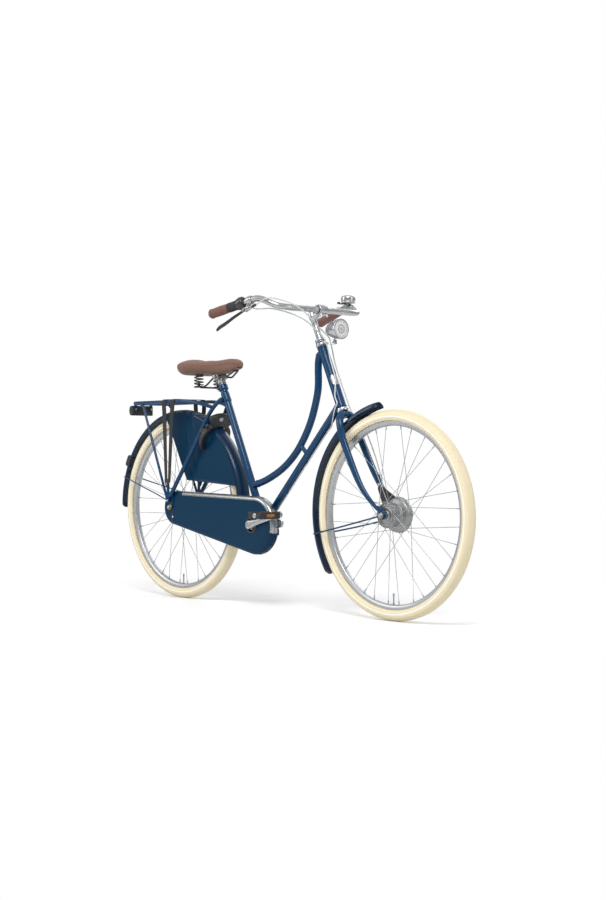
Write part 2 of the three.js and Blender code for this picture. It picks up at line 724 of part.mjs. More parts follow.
// One wire coil with straight ends, every facet row from one helix
function coilSpring(x, y) {
  const steps = springTurns * 8;
  const places = [];
  const spin = (t) => point(
    x + springRadius * Math.cos(2 * Math.PI * springTurns * t),
    y + springRadius * Math.sin(2 * Math.PI * springTurns * t), 0);
  const low = springLow + springWire / 2 + 2 * gap;
  const rise = saddleBase + gap - springWire / 2 - low;
  for (let i = 0; i <= steps; i += 1) {
    const place = spin(i / steps);
    place.z = mix(low, low + rise, i / steps);
    places.push(place);
  }
  const lead = (from, to) => from.clone().addScaledVector(to.clone().sub(from).normalize(), -springWire);
  places.unshift(lead(places[0], places[1]));
  places.push(lead(places[places.length - 1], places[places.length - 2]));
  const rings = places.map((place, i) => {
    const ahead = places[Math.min(i + 1, places.length - 1)];
    const behind = places[Math.max(i - 1, 0)];
    const along = ahead.clone().sub(behind).normalize();
    const across = point(0, 0, 1).cross(along).normalize();
    const up = along.clone().cross(across);
    const ring = [];
    for (let k = 0; k < 5; k += 1) {
      const turn = 2 * Math.PI * k / 5;
      const p = place.clone().addScaledVector(across, springWire / 2 * Math.cos(turn));
      ring.push(p.addScaledVector(up, springWire / 2 * Math.sin(turn)));
    }
    return ring;
  });
  let least = Infinity;
  places.forEach((a, i) => places.slice(i + 5).forEach((b) => {
    least = Math.min(least, a.distanceTo(b) - springWire);
  }));
  console.log(`saddle spring: least gap between turns ${least.toFixed(2)} mm`);
  return loft(rings);
}
add(bicycle, 'saddle_spring_right', coilSpring(springForward, -springOut), blackPlastic());
add(bicycle, 'saddle_spring_left', coilSpring(springForward, springOut), blackPlastic());

// Padded cover: stations from the tail to the nose, as shares of the length,
// the half width and the height of the saddle
const saddleShares = [
  [0, 0.3, 0.62, 0.3], [0.03, 0.68, 0.83, 0.1], [0.09, 0.93, 0.95, 0.02], [0.17, 1, 1, 0],
  [0.26, 0.97, 0.97, 0], [0.36, 0.86, 0.87, 0], [0.46, 0.68, 0.83, 0], [0.56, 0.48, 0.84, 0],
  [0.66, 0.35, 0.87, 0.02], [0.76, 0.285, 0.9, 0.08], [0.86, 0.245, 0.88, 0.16],
  [0.94, 0.2, 0.8, 0.24], [0.985, 0.13, 0.66, 0.3], [1, 0.06, 0.52, 0.36],
];
const saddleRingPoints = 16;
const saddleHeight = saddleTop - saddleBase;
function saddleRing([along, wide, top, low]) {
  const x = mix(saddleRear, saddleNose, along);
  const ring = [];
  const topZ = saddleBase + top * saddleHeight;
  const lowZ = saddleBase + low * saddleHeight;
  for (let i = 0; i < saddleRingPoints; i += 1) {
    const turn = 2 * Math.PI * (i + half) / saddleRingPoints;
    const swing = Math.cos(turn);
    const lift = Math.sin(turn);
    const y = Math.sign(swing) * Math.abs(swing) ** 0.75 * wide * saddleHalfWidth;
    const pull = lift < 0 ? 1 + 0.12 * lift : 1;
    const shape = Math.sign(lift) * Math.abs(lift) ** 0.8;
    ring.push(point(x, y * pull, mix(lowZ, topZ, (shape + 1) / 2)));
  }
  return ring;
}
add(bicycle, 'saddle_cover', loft(saddleShares.map(saddleRing)), brownLeather());

// Carrier: one bent rail, cross bars, a strut and strap anchor on each side,
// and two tabs for the rear light
const railHeight = carrierHeight;
const railNoseShares = [[1, 0.6, 1], [0.844, 0.743, 0.73], [0.477, 0.914, 0.27], [0, 1, 0]];
const railTailShares = [[0, 1], [0.5, 1], [0.86, 1], [0.967, 0.886], [1, 0.629]];
const railSide = (side) => [
  ...railNoseShares.map(([along, out, drop]) => point(mix(carrierFront, carrierNose, along),
    side * out * carrierHalfWidth, railHeight - drop * carrierNoseDrop)),
  ...railTailShares.map(([along, out]) => point(
    -along * carrierRear, side * out * carrierHalfWidth, railHeight)),
];
const carrierRail = pipe([...railSide(-1), ...railSide(1).reverse()], carrierRailRadius, 22, 6);
const crossBar = (x) => block(
  point(x, 0, railHeight), point(carrierBarWidth, 2 * carrierHalfWidth, carrierBarHeight));
const strutFoot = point(-4, carrierStrutOut, eyelet.z + 6);
function strut(side) {
  const foot = point(strutFoot.x, side * strutFoot.y, strutFoot.z);
  const y0 = side * (carrierStrutOut - carrierEyeThickness - gap * 2);
  const y1 = side * carrierStrutOut;
  const anchor = plate([
    [-6, eyelet.z], [6, eyelet.z], [7, axleHeight + anchorHeight], [-7, axleHeight + anchorHeight],
  ], y0, y1);
  return joined(
    rod(point(-carrierStrutRear, side * carrierHalfWidth, railHeight), foot, carrierStrutRadius, 6),
    disc(eyelet.x, eyelet.z, eyeletRadius, y0, y1, 12), anchor);
}
const lightTabHigh = railHeight - carrierRailRadius * half;
const lightTabLow = rearLightRise + rearLightHeight * half - overrun;
const lightTab = (side) => block(
  point(-(carrierRear + rearLightFront) / 2, side * 38, (lightTabLow + lightTabHigh) / 2),
  point(rearLightFront - carrierRear - 2 * gap, 12, lightTabHigh - lightTabLow));
const carrier = joined(
  carrierRail, [-165, -80, 5, 90].map(crossBar), strut(-1), strut(1), lightTab(-1), lightTab(1));
add(bicycle, 'carrier', cut(
  carrier, seatStaysOutside(gap), eyeHole(-1), eyeHole(1)), framePaint());
add(bicycle, 'rear_light', block(
  point(-rearLightFront - rearLightDepth / 2, 0, rearLightRise),
  point(rearLightDepth, rearLightWidth, rearLightHeight)), blackPlastic());

// Elastic straps over the carrier, drawn together at a hook on each anchor
const strapTopZ = railHeight + carrierRailRadius + 2 * gap;
const strapOut = carrierHalfWidth + carrierRailRadius + gap;
const hookZ = axleHeight + anchorHeight;
const strapDraw = 0.35;
function strapBand(x) {
  const top = block(point(x, 0, strapTopZ + strapThickness / 2),
    point(strapWidth, 2 * (strapOut + strapThickness), strapThickness));
  const falls = sides.map((side) => plate([
    [x - strapWidth / 2, strapTopZ + strapThickness], [x + strapWidth / 2, strapTopZ + strapThickness],
    [strapFootWidth / 2 + x * strapDraw, hookZ], [x * strapDraw - strapFootWidth / 2, hookZ],
  ], side * strapOut, side * (strapOut + strapThickness)));
  return joined(top, falls);
}
const hooks = sides.map((side) => block(
  point(0, side * (strapOut + strapThickness), hookZ), point(20, 2 * strapThickness, 24)));
add(bicycle, 'carrier_straps', cut(
  joined(strapBand(-strapRear), strapBand(strapFront), hooks),
  block(point(0, 0, hookZ), point(60, 2 * (carrierStrutOut + gap), 60))), blackPlastic());

// Coat guards: a thin curved sheet on each side, hung from the mudguard edge
const guardTopRadius = mudguardRadius - 14;
const guardWall = 1.2;
const guardNear = mudguardHalfWidth + guardWall / 2 + 2 * gap;
const guardSpread = 12;
const guardLow = [74, 463];
const guardFront = [354, 443];
const guardRearAngle = 102;
const guardFrontAngle = 16.5;
const guardColumns = 11;
const guardRows = 3;
function coatGuard(side) {
  const rings = [];
  for (let c = 0; c <= guardColumns; c += 1) {
    const t = c / guardColumns;
    const turn = mix(guardRearAngle, guardFrontAngle, t) * degrees;
    const top = [guardTopRadius * Math.cos(turn), axleHeight + guardTopRadius * Math.sin(turn)];
    const low = [mix(guardLow[0], guardFront[0], t), mix(guardLow[1], guardFront[1], t)];
    const outer = [];
    const inner = [];
    for (let r = 0; r <= guardRows; r += 1) {
      const x = mix(top[0], low[0], r / guardRows);
      const z = mix(top[1], low[1], r / guardRows);
      const depth = Math.max(guardTopRadius - Math.hypot(x, z - axleHeight), 0);
      const y = guardNear + guardSpread * (depth / 236) ** 1.5;
      outer.push(point(x, side * (y + guardWall / 2), z));
      inner.push(point(x, side * (y - guardWall / 2), z));
    }
    rings.push([...outer, ...inner.reverse()]);
  }
  return loft(rings);
}

// Ring lock: its own axes lean with the seat stays
const lockMiddle = point(
  lockReach * Math.cos(lockReachAngle), 0, axleHeight + lockReach * Math.sin(lockReachAngle));
const lockUp = point(Math.cos(lockLean), 0, Math.sin(lockLean));
const lockOut = point(-Math.sin(lockLean), 0, Math.cos(lockLean));
const onLock = (turn, radius, depth = 0) => lockMiddle.clone()
  .addScaledVector(point(0, -1, 0), radius * Math.cos(turn))
  .addScaledVector(lockUp, radius * Math.sin(turn))
  .addScaledVector(lockOut, depth);
function ringArc(from, to, section, steps) {
  const rings = [];
  for (let s = 0; s <= steps; s += 1) {
    const turn = mix(from, to, s / steps) * degrees;
    rings.push(section.map(([radius, depth]) => onLock(turn, radius, depth)));
  }
  return loft(rings);
}
const roundSection = (radius, facets) => {
  const section = [];
  for (let i = 0; i < facets; i += 1) {
    const turn = 2 * Math.PI * (i + half) / facets;
    section.push([lockRingRadius + radius * Math.cos(turn), radius * Math.sin(turn)]);
  }
  return section;
};
const lockRingInner = lockRingRadius - lockRingHalfBand;
const lockRingOuter = lockRingRadius + lockRingHalfBand;
const lockSection = [
  [lockRingInner, -lockHalfDepth], [lockRingOuter, -lockHalfDepth],
  [lockRingOuter, lockHalfDepth], [lockRingInner, lockHalfDepth],
];
const lockTips = 55;
const lockBody = ringArc(90 - 38, 90 + 38, [
  [lockRingInner, -lockBodyHalfDepth], [lockBodyRise, -lockBodyHalfDepth],
  [lockBodyRise, lockBodyHalfDepth], [lockRingInner, lockBodyHalfDepth],
], 6);
const lockLug = (side) => {
  const middle = onLock(side < 0 ? 22 * degrees : 158 * degrees, lockRingRadius, lockHalfDepth + 7);
  return block(middle, point(24, 14, 14), lockLean - Math.PI / 2);
};
const lockSlotHalf = lockLeverWidth / 2 + runningGap;
const lockSlot = ringArc(8 - lockTips, 47, [
  [lockRingRadius, -lockSlotHalf], [lockBodyRise + overrun, -lockSlotHalf],
  [lockBodyRise + overrun, lockSlotHalf], [lockRingRadius, lockSlotHalf],
], 8);
const lockHousing = cut(
  joined(ringArc(-lockTips, 180 + lockTips, lockSection, 14), lockBody, lockLug(-1), lockLug(1)),
  ringArc(-lockTips - 8, 180 + lockTips + 8, roundSection(lockChannelRadius, 6), 15),
  lockSlot, seatStaysOutside(gap));
add(bicycle, 'ring_lock', lockHousing, blackPlastic());
const lockOpenTip = -58;
const lockTail = 78;
const lockLeverTurn = 40;
const lockLever = ringArc(lockLeverTurn - 2.5, lockLeverTurn + 2.5, [
  [lockRingRadius, -lockLeverWidth / 2], [lockLeverReach, -lockLeverWidth / 2],
  [lockLeverReach, lockLeverWidth / 2], [lockRingRadius, lockLeverWidth / 2],
], 2);
const lockKnob = ringArc(lockLeverTurn - 7, lockLeverTurn + 7, [
  [lockLeverReach - 8, -7], [lockLeverReach + 4, -7],
  [lockLeverReach + 4, 7], [lockLeverReach - 8, 7],
], 2);
add(bicycle, 'lock_bolt', joined(
  ringArc(lockOpenTip, lockTail, roundSection(lockBoltRadius, 6), 9), lockLever, lockKnob), steel());

const lockWindowRadius = lockHalfDepth + 5;
const lockWindow = ringArc(-90, 10, roundSection(lockWindowRadius, 8), 12);
const lockWindowLeft = ringArc(170, 270, roundSection(lockWindowRadius, 8), 12);
add(bicycle, 'coat_guard_right', cut(coatGuard(-1), lockWindow), lacquerCloth());
add(bicycle, 'coat_guard_left', cut(coatGuard(1), lockWindowLeft), lacquerCloth());

// Chain case: a closed shell whose inner wall opens round the chain stay, the
// hub and the gear cable, with a hole for the crank
const caseRear = point(caseRearForward, 0, caseRearHeight);
const caseFront = point(caseFrontForward, 0, caseFrontHeight);
const caseOutline = (inset) =>
  beltOutline(caseRear, caseRearRadius - inset, caseFront, caseFrontRadius - inset, 8);
const underTurn = Math.atan2(downTop.z - bottomBracket.z, downTop.x - bottomBracket.x);
const underDown = (share) => {
  const reach = downTubeRadius + cableRadius + runningGap;
  const place = onDown(share);
  return place.add(point(reach * Math.sin(underTurn), 0, -reach * Math.cos(underTurn)));
};
const besideHead = (height) => onHead(height).add(point(cableAhead, -cableAside, 0));
const frameCablePoints = [
  besideHead(cableJoinHeight - cableJoinGap), besideHead(cableJoinHeight - cableJoinRun),
  point(881.5, -24, 720), point(873, -23, 697), point(862, -18, 676),
  point(848, -9, 657), underDown(0.79),
  underDown(0.68), underDown(0.55), underDown(0.4), underDown(0.25), underDown(0.16),
  point(519, -5, 296), point(486, -13, 275), point(450, -24, 287),
  point(425, -31, 298), point(350, -34, 306.5), point(240, -35.5, 318), point(190, -38, 323),
  point(135, -43.5, 329), point(96, -51, 333.5), point(73, -53, 336),
];
const frameCable = (grow) => pipe(frameCablePoints, cableRadius + grow, 28, 5);
const chainCase = cut(
  plate(caseOutline(0), -caseInner, -caseOuter),
  plate(caseOutline(caseWall), -caseInner - caseWall, -caseOuter + caseWall),
  disc(bottomBracketForward, bottomBracketHeight, caseCrankHole,
    -caseInner - overrun, -caseOuter - overrun, 14),
  disc(bottomBracketForward, bottomBracketHeight, shellRadius + 4,
    -caseInner + overrun, -caseInner - overrun, 12),
  disc(0, axleHeight, rearFlangeRadius + 5, -caseInner + overrun, -caseInner - overrun, 12),
  disc(0, axleHeight, axleRadius + 1.2, -caseOuter + overrun, -caseOuter - overrun, 10),
  chainStay(-1, 1.2), frameCable(1.5),
  block(point(bottomBracketForward - 22, -caseInner, stayHeight(bottomBracketForward - 22)),
    point(44, 2 * overrun, 19)));
add(bicycle, 'chain_case', chainCase, lacquerCloth());

// Chain: its two rows of link plates, pinned together along the straight runs
const pitchRadius = (teeth) => chainPitch / 2 / Math.sin(Math.PI / teeth);
const chainringRadius = pitchRadius(chainringTeeth);
const sprocketRadius = pitchRadius(sprocketTeeth);
const chainRow = (y0, y1) => cut(
  plate(beltOutline(rearAxle, sprocketRadius + chainPlateHalf, bottomBracket,
    chainringRadius + chainPlateHalf, 6), y0, y1),
  plate(beltOutline(rearAxle, sprocketRadius - chainPlateHalf, bottomBracket,
    chainringRadius - chainPlateHalf, 6), y0 + overrun, y1 - overrun));
const chainNear = -(chainLine - chainHalfWidth);
const chainFar = -(chainLine + chainHalfWidth);
const chainRun = bottomBracket.clone().sub(rearAxle);
const chainHeading = Math.atan2(chainRun.z, chainRun.x);
const chainLean = Math.acos((sprocketRadius - chainringRadius) / chainRun.length());
function chainPin(share, side) {
  const turn = chainHeading + side * chainLean;
  const at = (middle, radius) => point(
    middle.x + radius * Math.cos(turn), 0, middle.z + radius * Math.sin(turn));
  const place = at(rearAxle, sprocketRadius).lerp(at(bottomBracket, chainringRadius), share);
  return disc(place.x, place.z, chainPlateHalf * 0.9, chainNear, chainFar, 5);
}
const pinShares = [0.25, 0.5, 0.75];
add(bicycle, 'chain', joined(
  chainRow(chainNear, chainNear - chainPlateWall), chainRow(chainFar + chainPlateWall, chainFar),
  pinShares.map((share) => chainPin(share, 1)), pinShares.map((share) => chainPin(share, -1))), steel());
add(bicycle, 'shift_cable_frame', frameCable(0), cableGrey());

// Toothed wheels
function toothed(teeth, radius) {
  const outline = [];
  for (let i = 0; i < 2 * teeth; i += 1) {
    const turn = Math.PI * i / teeth;
    const reach = i % 2 ? radius - toothHeight : radius + toothHeight * half;
    outline.push([reach * Math.cos(turn), reach * Math.sin(turn)]);
  }
  return plate(outline, -chainLine + toothPlateHalf, -chainLine - toothPlateHalf);
}

// Crankset, built about its own axle
const crankBore = axleJournalRadius + gap;
const crankEnd = (side) => point(
  side * crankLength * Math.cos(crankRise), 0, side * crankLength * Math.sin(crankRise));
const axleRightEnd = crankRightInner + crankThickness - 1;
const axleLeftEnd = crankLeftInner + crankThickness - 1;
add(crankset, 'bottom_bracket_axle', disc(0, 0, axleJournalRadius, -axleRightEnd, axleLeftEnd, 12), steel());
const chainringHoles = [];
for (let i = 0; i < 5; i += 1) {
  const turn = 2 * Math.PI * (i + half) / 5;
  const reach = chainringRadius * 0.58;
  chainringHoles.push(disc(reach * Math.cos(turn), reach * Math.sin(turn),
    chainringRadius * 0.22, -chainLine + overrun, -chainLine - overrun, 4));
}
add(crankset, 'chainring', cut(
  joined(toothed(chainringTeeth, chainringRadius),
    disc(0, 0, crankBossRadius + 2, -chainLine + 3, -crankRightInner + gap, 12)),
  chainringHoles, disc(0, 0, crankBore, -chainLine + overrun, -crankRightInner - overrun, 12)), steel());
function crank(side, inner) {
  const end = crankEnd(-side);
  const reach = side * (inner + crankThickness);
  const arm = rod(point(0, side * (inner + crankThickness / 2), 0),
    point(end.x, side * (inner + crankThickness / 2), end.z), crankThickness / 2, 10);
  const spindle = disc(end.x, end.z, pedalSpindleRadius,
    side * inner, side * (pedalInner + pedalWidth - 8), 12);
  const web = joined(arm,
    disc(0, 0, crankBossRadius, side * inner, reach, 14),
    disc(end.x, end.z, crankEndRadius, side * inner, reach, 12));
  return joined(cut(web, disc(0, 0, crankBore, side * (inner - overrun), reach - side * 1.5, 12)), spindle);
}
add(crankset, 'crank_right', cut(crank(-1, crankRightInner),
  disc(0, 0, crankBore, -crankRightInner + overrun, -axleRightEnd - gap, 12)), alloy());
add(crankset, 'crank_left', cut(crank(1, crankLeftInner),
  disc(0, 0, crankBore, crankLeftInner - overrun, axleLeftEnd + gap, 12)), alloy());

// Pedals: end plates, two tread bars and the bearing barrel
function pedal(side) {
  const end = crankEnd(-side);
  const y = (out) => side * (pedalInner + out);
  const bar = (x) => block(
    point(end.x + x, y(pedalWidth / 2), end.z), point(16, pedalWidth, pedalHeight));
  const cheek = (out) => block(
    point(end.x, y(out), end.z), point(pedalLength - 10, 6, pedalHeight * 0.8));
  const barrel = disc(end.x, end.z, 11, y(0.5), y(pedalWidth), 12);
  const bore = disc(end.x, end.z, pedalSpindleRadius + runningGap, y(-overrun), y(pedalWidth - 7), 12);
  return cut(joined(bar(pedalLength / 2 - 8), bar(8 - pedalLength / 2), cheek(4),
    cheek(pedalWidth - 4), barrel), bore);
}
add(crankset, 'pedal_right', pedal(-1), blackPlastic());
add(crankset, 'pedal_left', pedal(1), blackPlastic());

// Wheels, built about their own axles
const sectionRadius = tyreSection / 2;
const sectionMiddle = tyreOuterRadius - sectionRadius;
function tyreSolid() {
  const seat = rimFlangeRadius + gap;
  const bead = rimWidth / 2 - rimLipWidth - gap;
  const foot = rimFlangeRadius - rimChannelDepth + gap;
  const start = Math.asin((seat - sectionMiddle) / sectionRadius);
  const outline = [[foot, -bead], [seat, -bead]];
  const steps = 6;
  for (let i = 0; i <= steps; i += 1) {
    const turn = mix(start, Math.PI - start, i / steps);
    outline.push([sectionMiddle + sectionRadius * Math.sin(turn), -sectionRadius * Math.cos(turn)]);
  }
  outline.push([seat, bead], [foot, bead]);
  return turned(outline);
}
function rimSolid() {
  const bed = rimFlangeRadius - rimChannelDepth;
  const lip = rimWidth / 2 - rimLipWidth;
  return turned([
    [rimInnerRadius, -rimBedWidth / 2], [rimFlangeRadius, -rimWidth / 2],
    [rimFlangeRadius, -lip], [bed, -lip], [bed, lip], [rimFlangeRadius, lip],
    [rimFlangeRadius, rimWidth / 2], [rimInnerRadius, rimBedWidth / 2],
  ]);
}

// The sixteen spokes of one side: each lies across its neighbours where they
// are laced, so the laced side is one solid
function spokes(side, flangeReach, flangeOut) {
  const spacing = 2 * Math.PI / spokesPerSide;
  const phase = -Math.PI / 2 + spacing / 4 + (side > 0 ? spacing / 2 : 0);
  const all = [];
  for (let i = 0; i < spokesPerSide; i += 1) {
    const rimTurn = phase + i * spacing;
    const hubTurn = rimTurn + (i % 2 ? -lacingTurn : lacingTurn);
    const hubEnd = point(flangeReach * Math.cos(hubTurn),
      side * (flangeOut + gap + 2 * spokeRadius), flangeReach * Math.sin(hubTurn));
    const reach = rimInnerRadius * Math.cos(Math.PI / wheelFacets) - 2 * gap;
    const rimEnd = point(
      reach * Math.cos(rimTurn), side * spokeRimOffset, reach * Math.sin(rimTurn));
    all.push(rod(hubEnd, rimEnd, spokeRadius, 3));
  }
  return joined(all);
}
function hub(outline) {
  return turned(outline, 12);
}
add(rearWheel, 'rear_tyre', tyreSolid(), creamRubber());
add(rearWheel, 'rear_rim', rimSolid(), alloy());
add(rearWheel, 'rear_spokes_right', spokes(-1, rearFlangeRadius - 4, rearFlangeOffset), steel());
add(rearWheel, 'rear_spokes_left', spokes(1, rearFlangeRadius - 4, rearFlangeOffset), steel());
const rearFlangeInner = rearFlangeOffset - flangeThickness;
const rearNeck = 12;
add(rearWheel, 'rear_hub', hub([
  [hubBore, -rearFlangeOffset - flangeThickness], [rearNeck, -rearFlangeOffset - flangeThickness],
  [rearNeck, -rearFlangeOffset], [rearFlangeRadius, -rearFlangeOffset],
  [rearFlangeRadius, -rearFlangeInner], [rearShellRadius, -rearFlangeInner + 2],
  [rearShellRadius, rearFlangeInner - 2], [rearFlangeRadius, rearFlangeInner],
  [rearFlangeRadius, rearFlangeOffset], [rearNeck * 2, rearFlangeOffset],
  [rearNeck * 2, rearFlangeOffset + flangeThickness], [hubBore, rearFlangeOffset + flangeThickness],
]), alloy());
add(rearWheel, 'rear_sprocket', cut(
  joined(toothed(sprocketTeeth, sprocketRadius),
    disc(0, 0, rearNeck * 1.4, -rearFlangeOffset - flangeThickness - runningGap - gap,
      -pulleyInner + gap, 12)),
  disc(0, 0, hubBore, 0, -pulleyInner - overrun, 12)), steel());

add(frontWheel, 'front_tyre', tyreSolid(), creamRubber());
add(frontWheel, 'front_rim', rimSolid(), alloy());
add(frontWheel, 'front_spokes_right', spokes(-1, frontFlangeRadius - 4, frontFlangeRight), steel());
add(frontWheel, 'front_spokes_left', spokes(1, drumFlangeRadius - 4, frontFlangeLeft), steel());
add(frontWheel, 'front_hub', hub([
  [hubBore, -frontFlangeRight - 4], [14, -frontFlangeRight - 4], [17, -frontFlangeRight],
  [frontFlangeRadius, -frontFlangeRight], [frontFlangeRadius, -frontFlangeRight + flangeThickness],
  [frontShellRadius, -frontFlangeRight + flangeThickness + 2],
  [frontShellRadius, -flangeThickness], [drumShellRadius, flangeThickness],
  [drumShellRadius, frontFlangeLeft - flangeThickness],
  [drumFlangeRadius, frontFlangeLeft - flangeThickness], [drumFlangeRadius, frontFlangeLeft],
  [24, frontFlangeLeft], [24, drumInner - gap - 1], [hubBore, drumInner - gap - 1],
]), alloy());

// Fork with its steerer, flattened blades and ends
const bladeShares = [
  [0.01, 0.11, 0], [0.036, 0.42, 0.017], [0.07, 0.69, 0.064], [0.108, 0.81, 0.13],
  [0.154, 0.84, 0.235], [0.284, 0.875, 0.406], [0.472, 0.913, 0.638], [0.577, 0.933, 0.754],
  [0.79, 0.96, 0.878], [0.955, 1, 0.972],
];
const bladeRadiusShares = [1, 1, 1, 1, 0.97, 0.92, 0.82, 0.72, 0.56, 0.36];
const crown = onHead(crownHeight);
const bladePoints = (side) => bladeShares.map(([along, out, down]) => point(
  mix(crown.x, wheelbase, along), side * out * forkSpread, mix(crown.z, axleHeight, down)));
const blade = (side) => tapered(
  bladePoints(side), bladeRadiusShares.map((share) => share * bladeRadius), bladeFlatShare, 11, 6);
const forkEnd = (side) => disc(wheelbase, axleHeight, forkEndRadius,
  side * (forkSpread - forkEndThickness / 2), side * (forkSpread + forkEndThickness / 2), 12);
const frontAxleHole = disc(wheelbase, axleHeight, axleRadius + 2 * gap, -100, 100, 10);
const steererTop = headTubeHigh + headsetCupHeight + locknutHeight;
const crownLow = crownHeight - headTubeRadius * 0.65;
const aboveCrown = rod(
  onHead(lowerCupLow - gap), onHead(headTubeLow + headTubeRadius), 3 * headsetCupRadius, 8);
const fork = cut(
  joined(
    rod(onHead(crownLow), onHead(steererTop), steererRadius, 12),
    cut(joined(rod(onHead(crownLow), onHead(headTubeLow), crownRadius, 12), blade(-1), blade(1)),
      aboveCrown),
    forkEnd(-1), forkEnd(1)),
  rod(onHead(quillLow - 20), onHead(steererTop + overrun), steererBore, 12), frontAxleHole);
add(bicycle, 'fork', fork, framePaint());

// Front axle with nuts
const frontNutInner = forkSpread + forkEndThickness / 2 + 5.2;
add(bicycle, 'front_axle', joined(
  disc(wheelbase, axleHeight, axleRadius, -frontNutInner - 12, frontNutInner + 12, 10),
  disc(wheelbase, axleHeight, nutRadius, frontNutInner, frontNutInner + nutThickness, 6),
  disc(wheelbase, axleHeight, nutRadius, -frontNutInner, -frontNutInner - nutThickness, 6),
  disc(wheelbase, axleHeight, nutRadius, -frontFlangeRight - 4.5, -forkSpread + forkEndThickness / 2 + gap, 6)
), steel());

// Drum brake plate with its reaction arm, clipped to the left blade
const brakeArmShares = [
  [-2.02, 1.87], [-1.83, 1.87], [-0.5, 1.13], [-0.26, 0.74], [-1.18, 0.37], [-1.65, 0.68], [-2.02, 1.57],
];
const brakeArm = plate(brakeArmShares.map(([along, rise]) =>
  [wheelbase + along * drumRadius, axleHeight + rise * drumRadius]), drumInner + 1, drumInner + 6);
const bladeClear = tapered(
  bladePoints(1), bladeRadiusShares.map((share) => share * bladeRadius + gap * 2), bladeFlatShare, 11, 6);
add(bicycle, 'front_brake_unit', cut(
  joined(disc(wheelbase, axleHeight, drumRadius, drumInner, drumOuter, 16),
    disc(wheelbase, axleHeight, nutRadius, drumOuter - gap, forkSpread - forkEndThickness / 2 - gap, 10),
    brakeArm),
  bladeClear, disc(wheelbase, axleHeight, axleRadius + 2 * gap, 0, 100, 10)), blackPlastic());

// Front mudguard with its wire stays and the bolt up to the crown
const frontEye = (side) => disc(wheelbase, axleHeight, eyeletRadius + 1.5,
  side * (forkSpread + forkEndThickness / 2 + gap), side * (frontNutInner - gap), 10);
const frontStayOut = forkSpread + forkEndThickness / 2 + mudguardStayRadius + gap;
const frontStayShares = [[-0.629, 0.806, -0.137], [-0.208, 1.007, -0.047], [-0.018, 1, -0.004]];
const guardMiddle = frontAxle.clone().add(point(frontGuardAhead, 0, frontGuardRise));
const frontStay = (side) => joined(
  pipe([
    onGutter(guardMiddle, frontGuardRadius, frontStayAngle, side),
    ...frontStayShares.map(([back, out, rise]) => point(wheelbase + back * mudguardRadius,
      side * out * frontStayOut, axleHeight + rise * mudguardRadius)),
  ], mudguardStayRadius, 5, 5), frontEye(side));
const tabReach = frontGuardRadius - overrun;
const tabFoot = guardMiddle.clone().add(point(
  tabReach * Math.cos(crownTabAngle * degrees), 0, tabReach * Math.sin(crownTabAngle * degrees)));
const crownTab = rod(tabFoot, onHead(crownLow + overrun), 4, 6);
const frontMudguard = joined(
  gutter(guardMiddle, frontGuardRadius, frontGuardTip, frontGuardEnd, 11),
  crownTab, frontStay(-1), frontStay(1));
add(bicycle, 'front_mudguard', cut(frontMudguard, frontAxleHole,
  rod(onHead(crownLow - gap), onHead(headTubeLow), crownRadius + gap, 12),
  sides.map((side) => tapered(
    bladePoints(side), bladeRadiusShares.map((share) => share * bladeRadius + gap), bladeFlatShare, 11, 6))),
framePaint());

// Locknut with the lamp bracket
const locknutLow = headTubeHigh + headsetCupHeight + gap;
const lampBoltForward = headX(steererTop) + lampBoltAhead;
const lampBoltHeight = steererTop - lampBoltDrop;
const lampForward = lampBoltForward + lampAhead;
const lampHeight = lampBoltHeight + lampRise;
const lampEar = (side) => block(
  point(lampBoltForward, side * 6.5, lampBoltHeight - 1), point(14, 4, 16));
const lampBracket = cut(
  joined(
    rod(onHead(locknutLow), onHead(steererTop - 1), locknutRadius, 12),
    rod(onHead(steererTop - 8).add(point(locknutRadius - 2, 0, 0)),
      point(lampBoltForward - 8, 0, lampBoltHeight - 8.5), 4.5, 8),
    block(point(lampBoltForward, 0, lampBoltHeight - 8), point(16, 17, 5)),
    lampEar(-1), lampEar(1),
    disc(lampBoltForward, lampBoltHeight, 3, -10, 10, 8)),
  rod(onHead(locknutLow - overrun), onHead(steererTop + overrun), steererRadius + 2 * gap, 16),
  rod(onHead(headTubeHigh), onHead(upperCupHigh + gap), headsetCupRadius + 2 * runningGap, 14));
add(bicycle, 'lamp_bracket', lampBracket, steel());

// Headlight: a turned shell with a mounting lug, closed by its lens
const lampProfile = [
  [1, 0], [0.96, 0.12], [0.84, 0.4], [0.66, 0.68], [0.42, 0.88], [0.16, 1],
];
const lampTurn = new THREE.Matrix4().makeBasis(point(0, 0, 1), point(-1, 0, 0), point(0, -1, 0));
lampTurn.setPosition(lampForward, 0, lampHeight);
function lampShell() {
  const outer = lampProfile.map(([reach, back]) => [reach * lampRadius, back * lampLength]);
  const inner = lampProfile.map(([reach, back]) =>
    [Math.max(reach * lampRadius - lampWall, 0.1), back * (lampLength - 2 * lampWall)]);
  const outline = [...outer, [0, lampLength], [0, lampLength - 2 * lampWall], ...inner.reverse()];
  return turned(outline, 12, lampTurn);
}
const lugLow = lampBoltHeight - 4.5;
const lugHigh = lampHeight - lampRadius * 0.7;
const lampLug = block(point(lampBoltForward, 0, (lugLow + lugHigh) / 2), point(9, 8.4, lugHigh - lugLow));
add(bicycle, 'headlight_housing', cut(joined(lampShell(), lampLug),
  disc(lampBoltForward, lampBoltHeight, 3 + gap, -20, 20, 8)), chrome());
const lensBack = 5;
const lensRadius = lampRadius - lampWall - 4 * gap;
add(bicycle, 'headlight_lens', turned(
  [[0, lensBack], [0, lensBack / 4], [lensRadius, lensBack / 4], [lensRadius, lensBack]],
  12, lampTurn), clearLens());

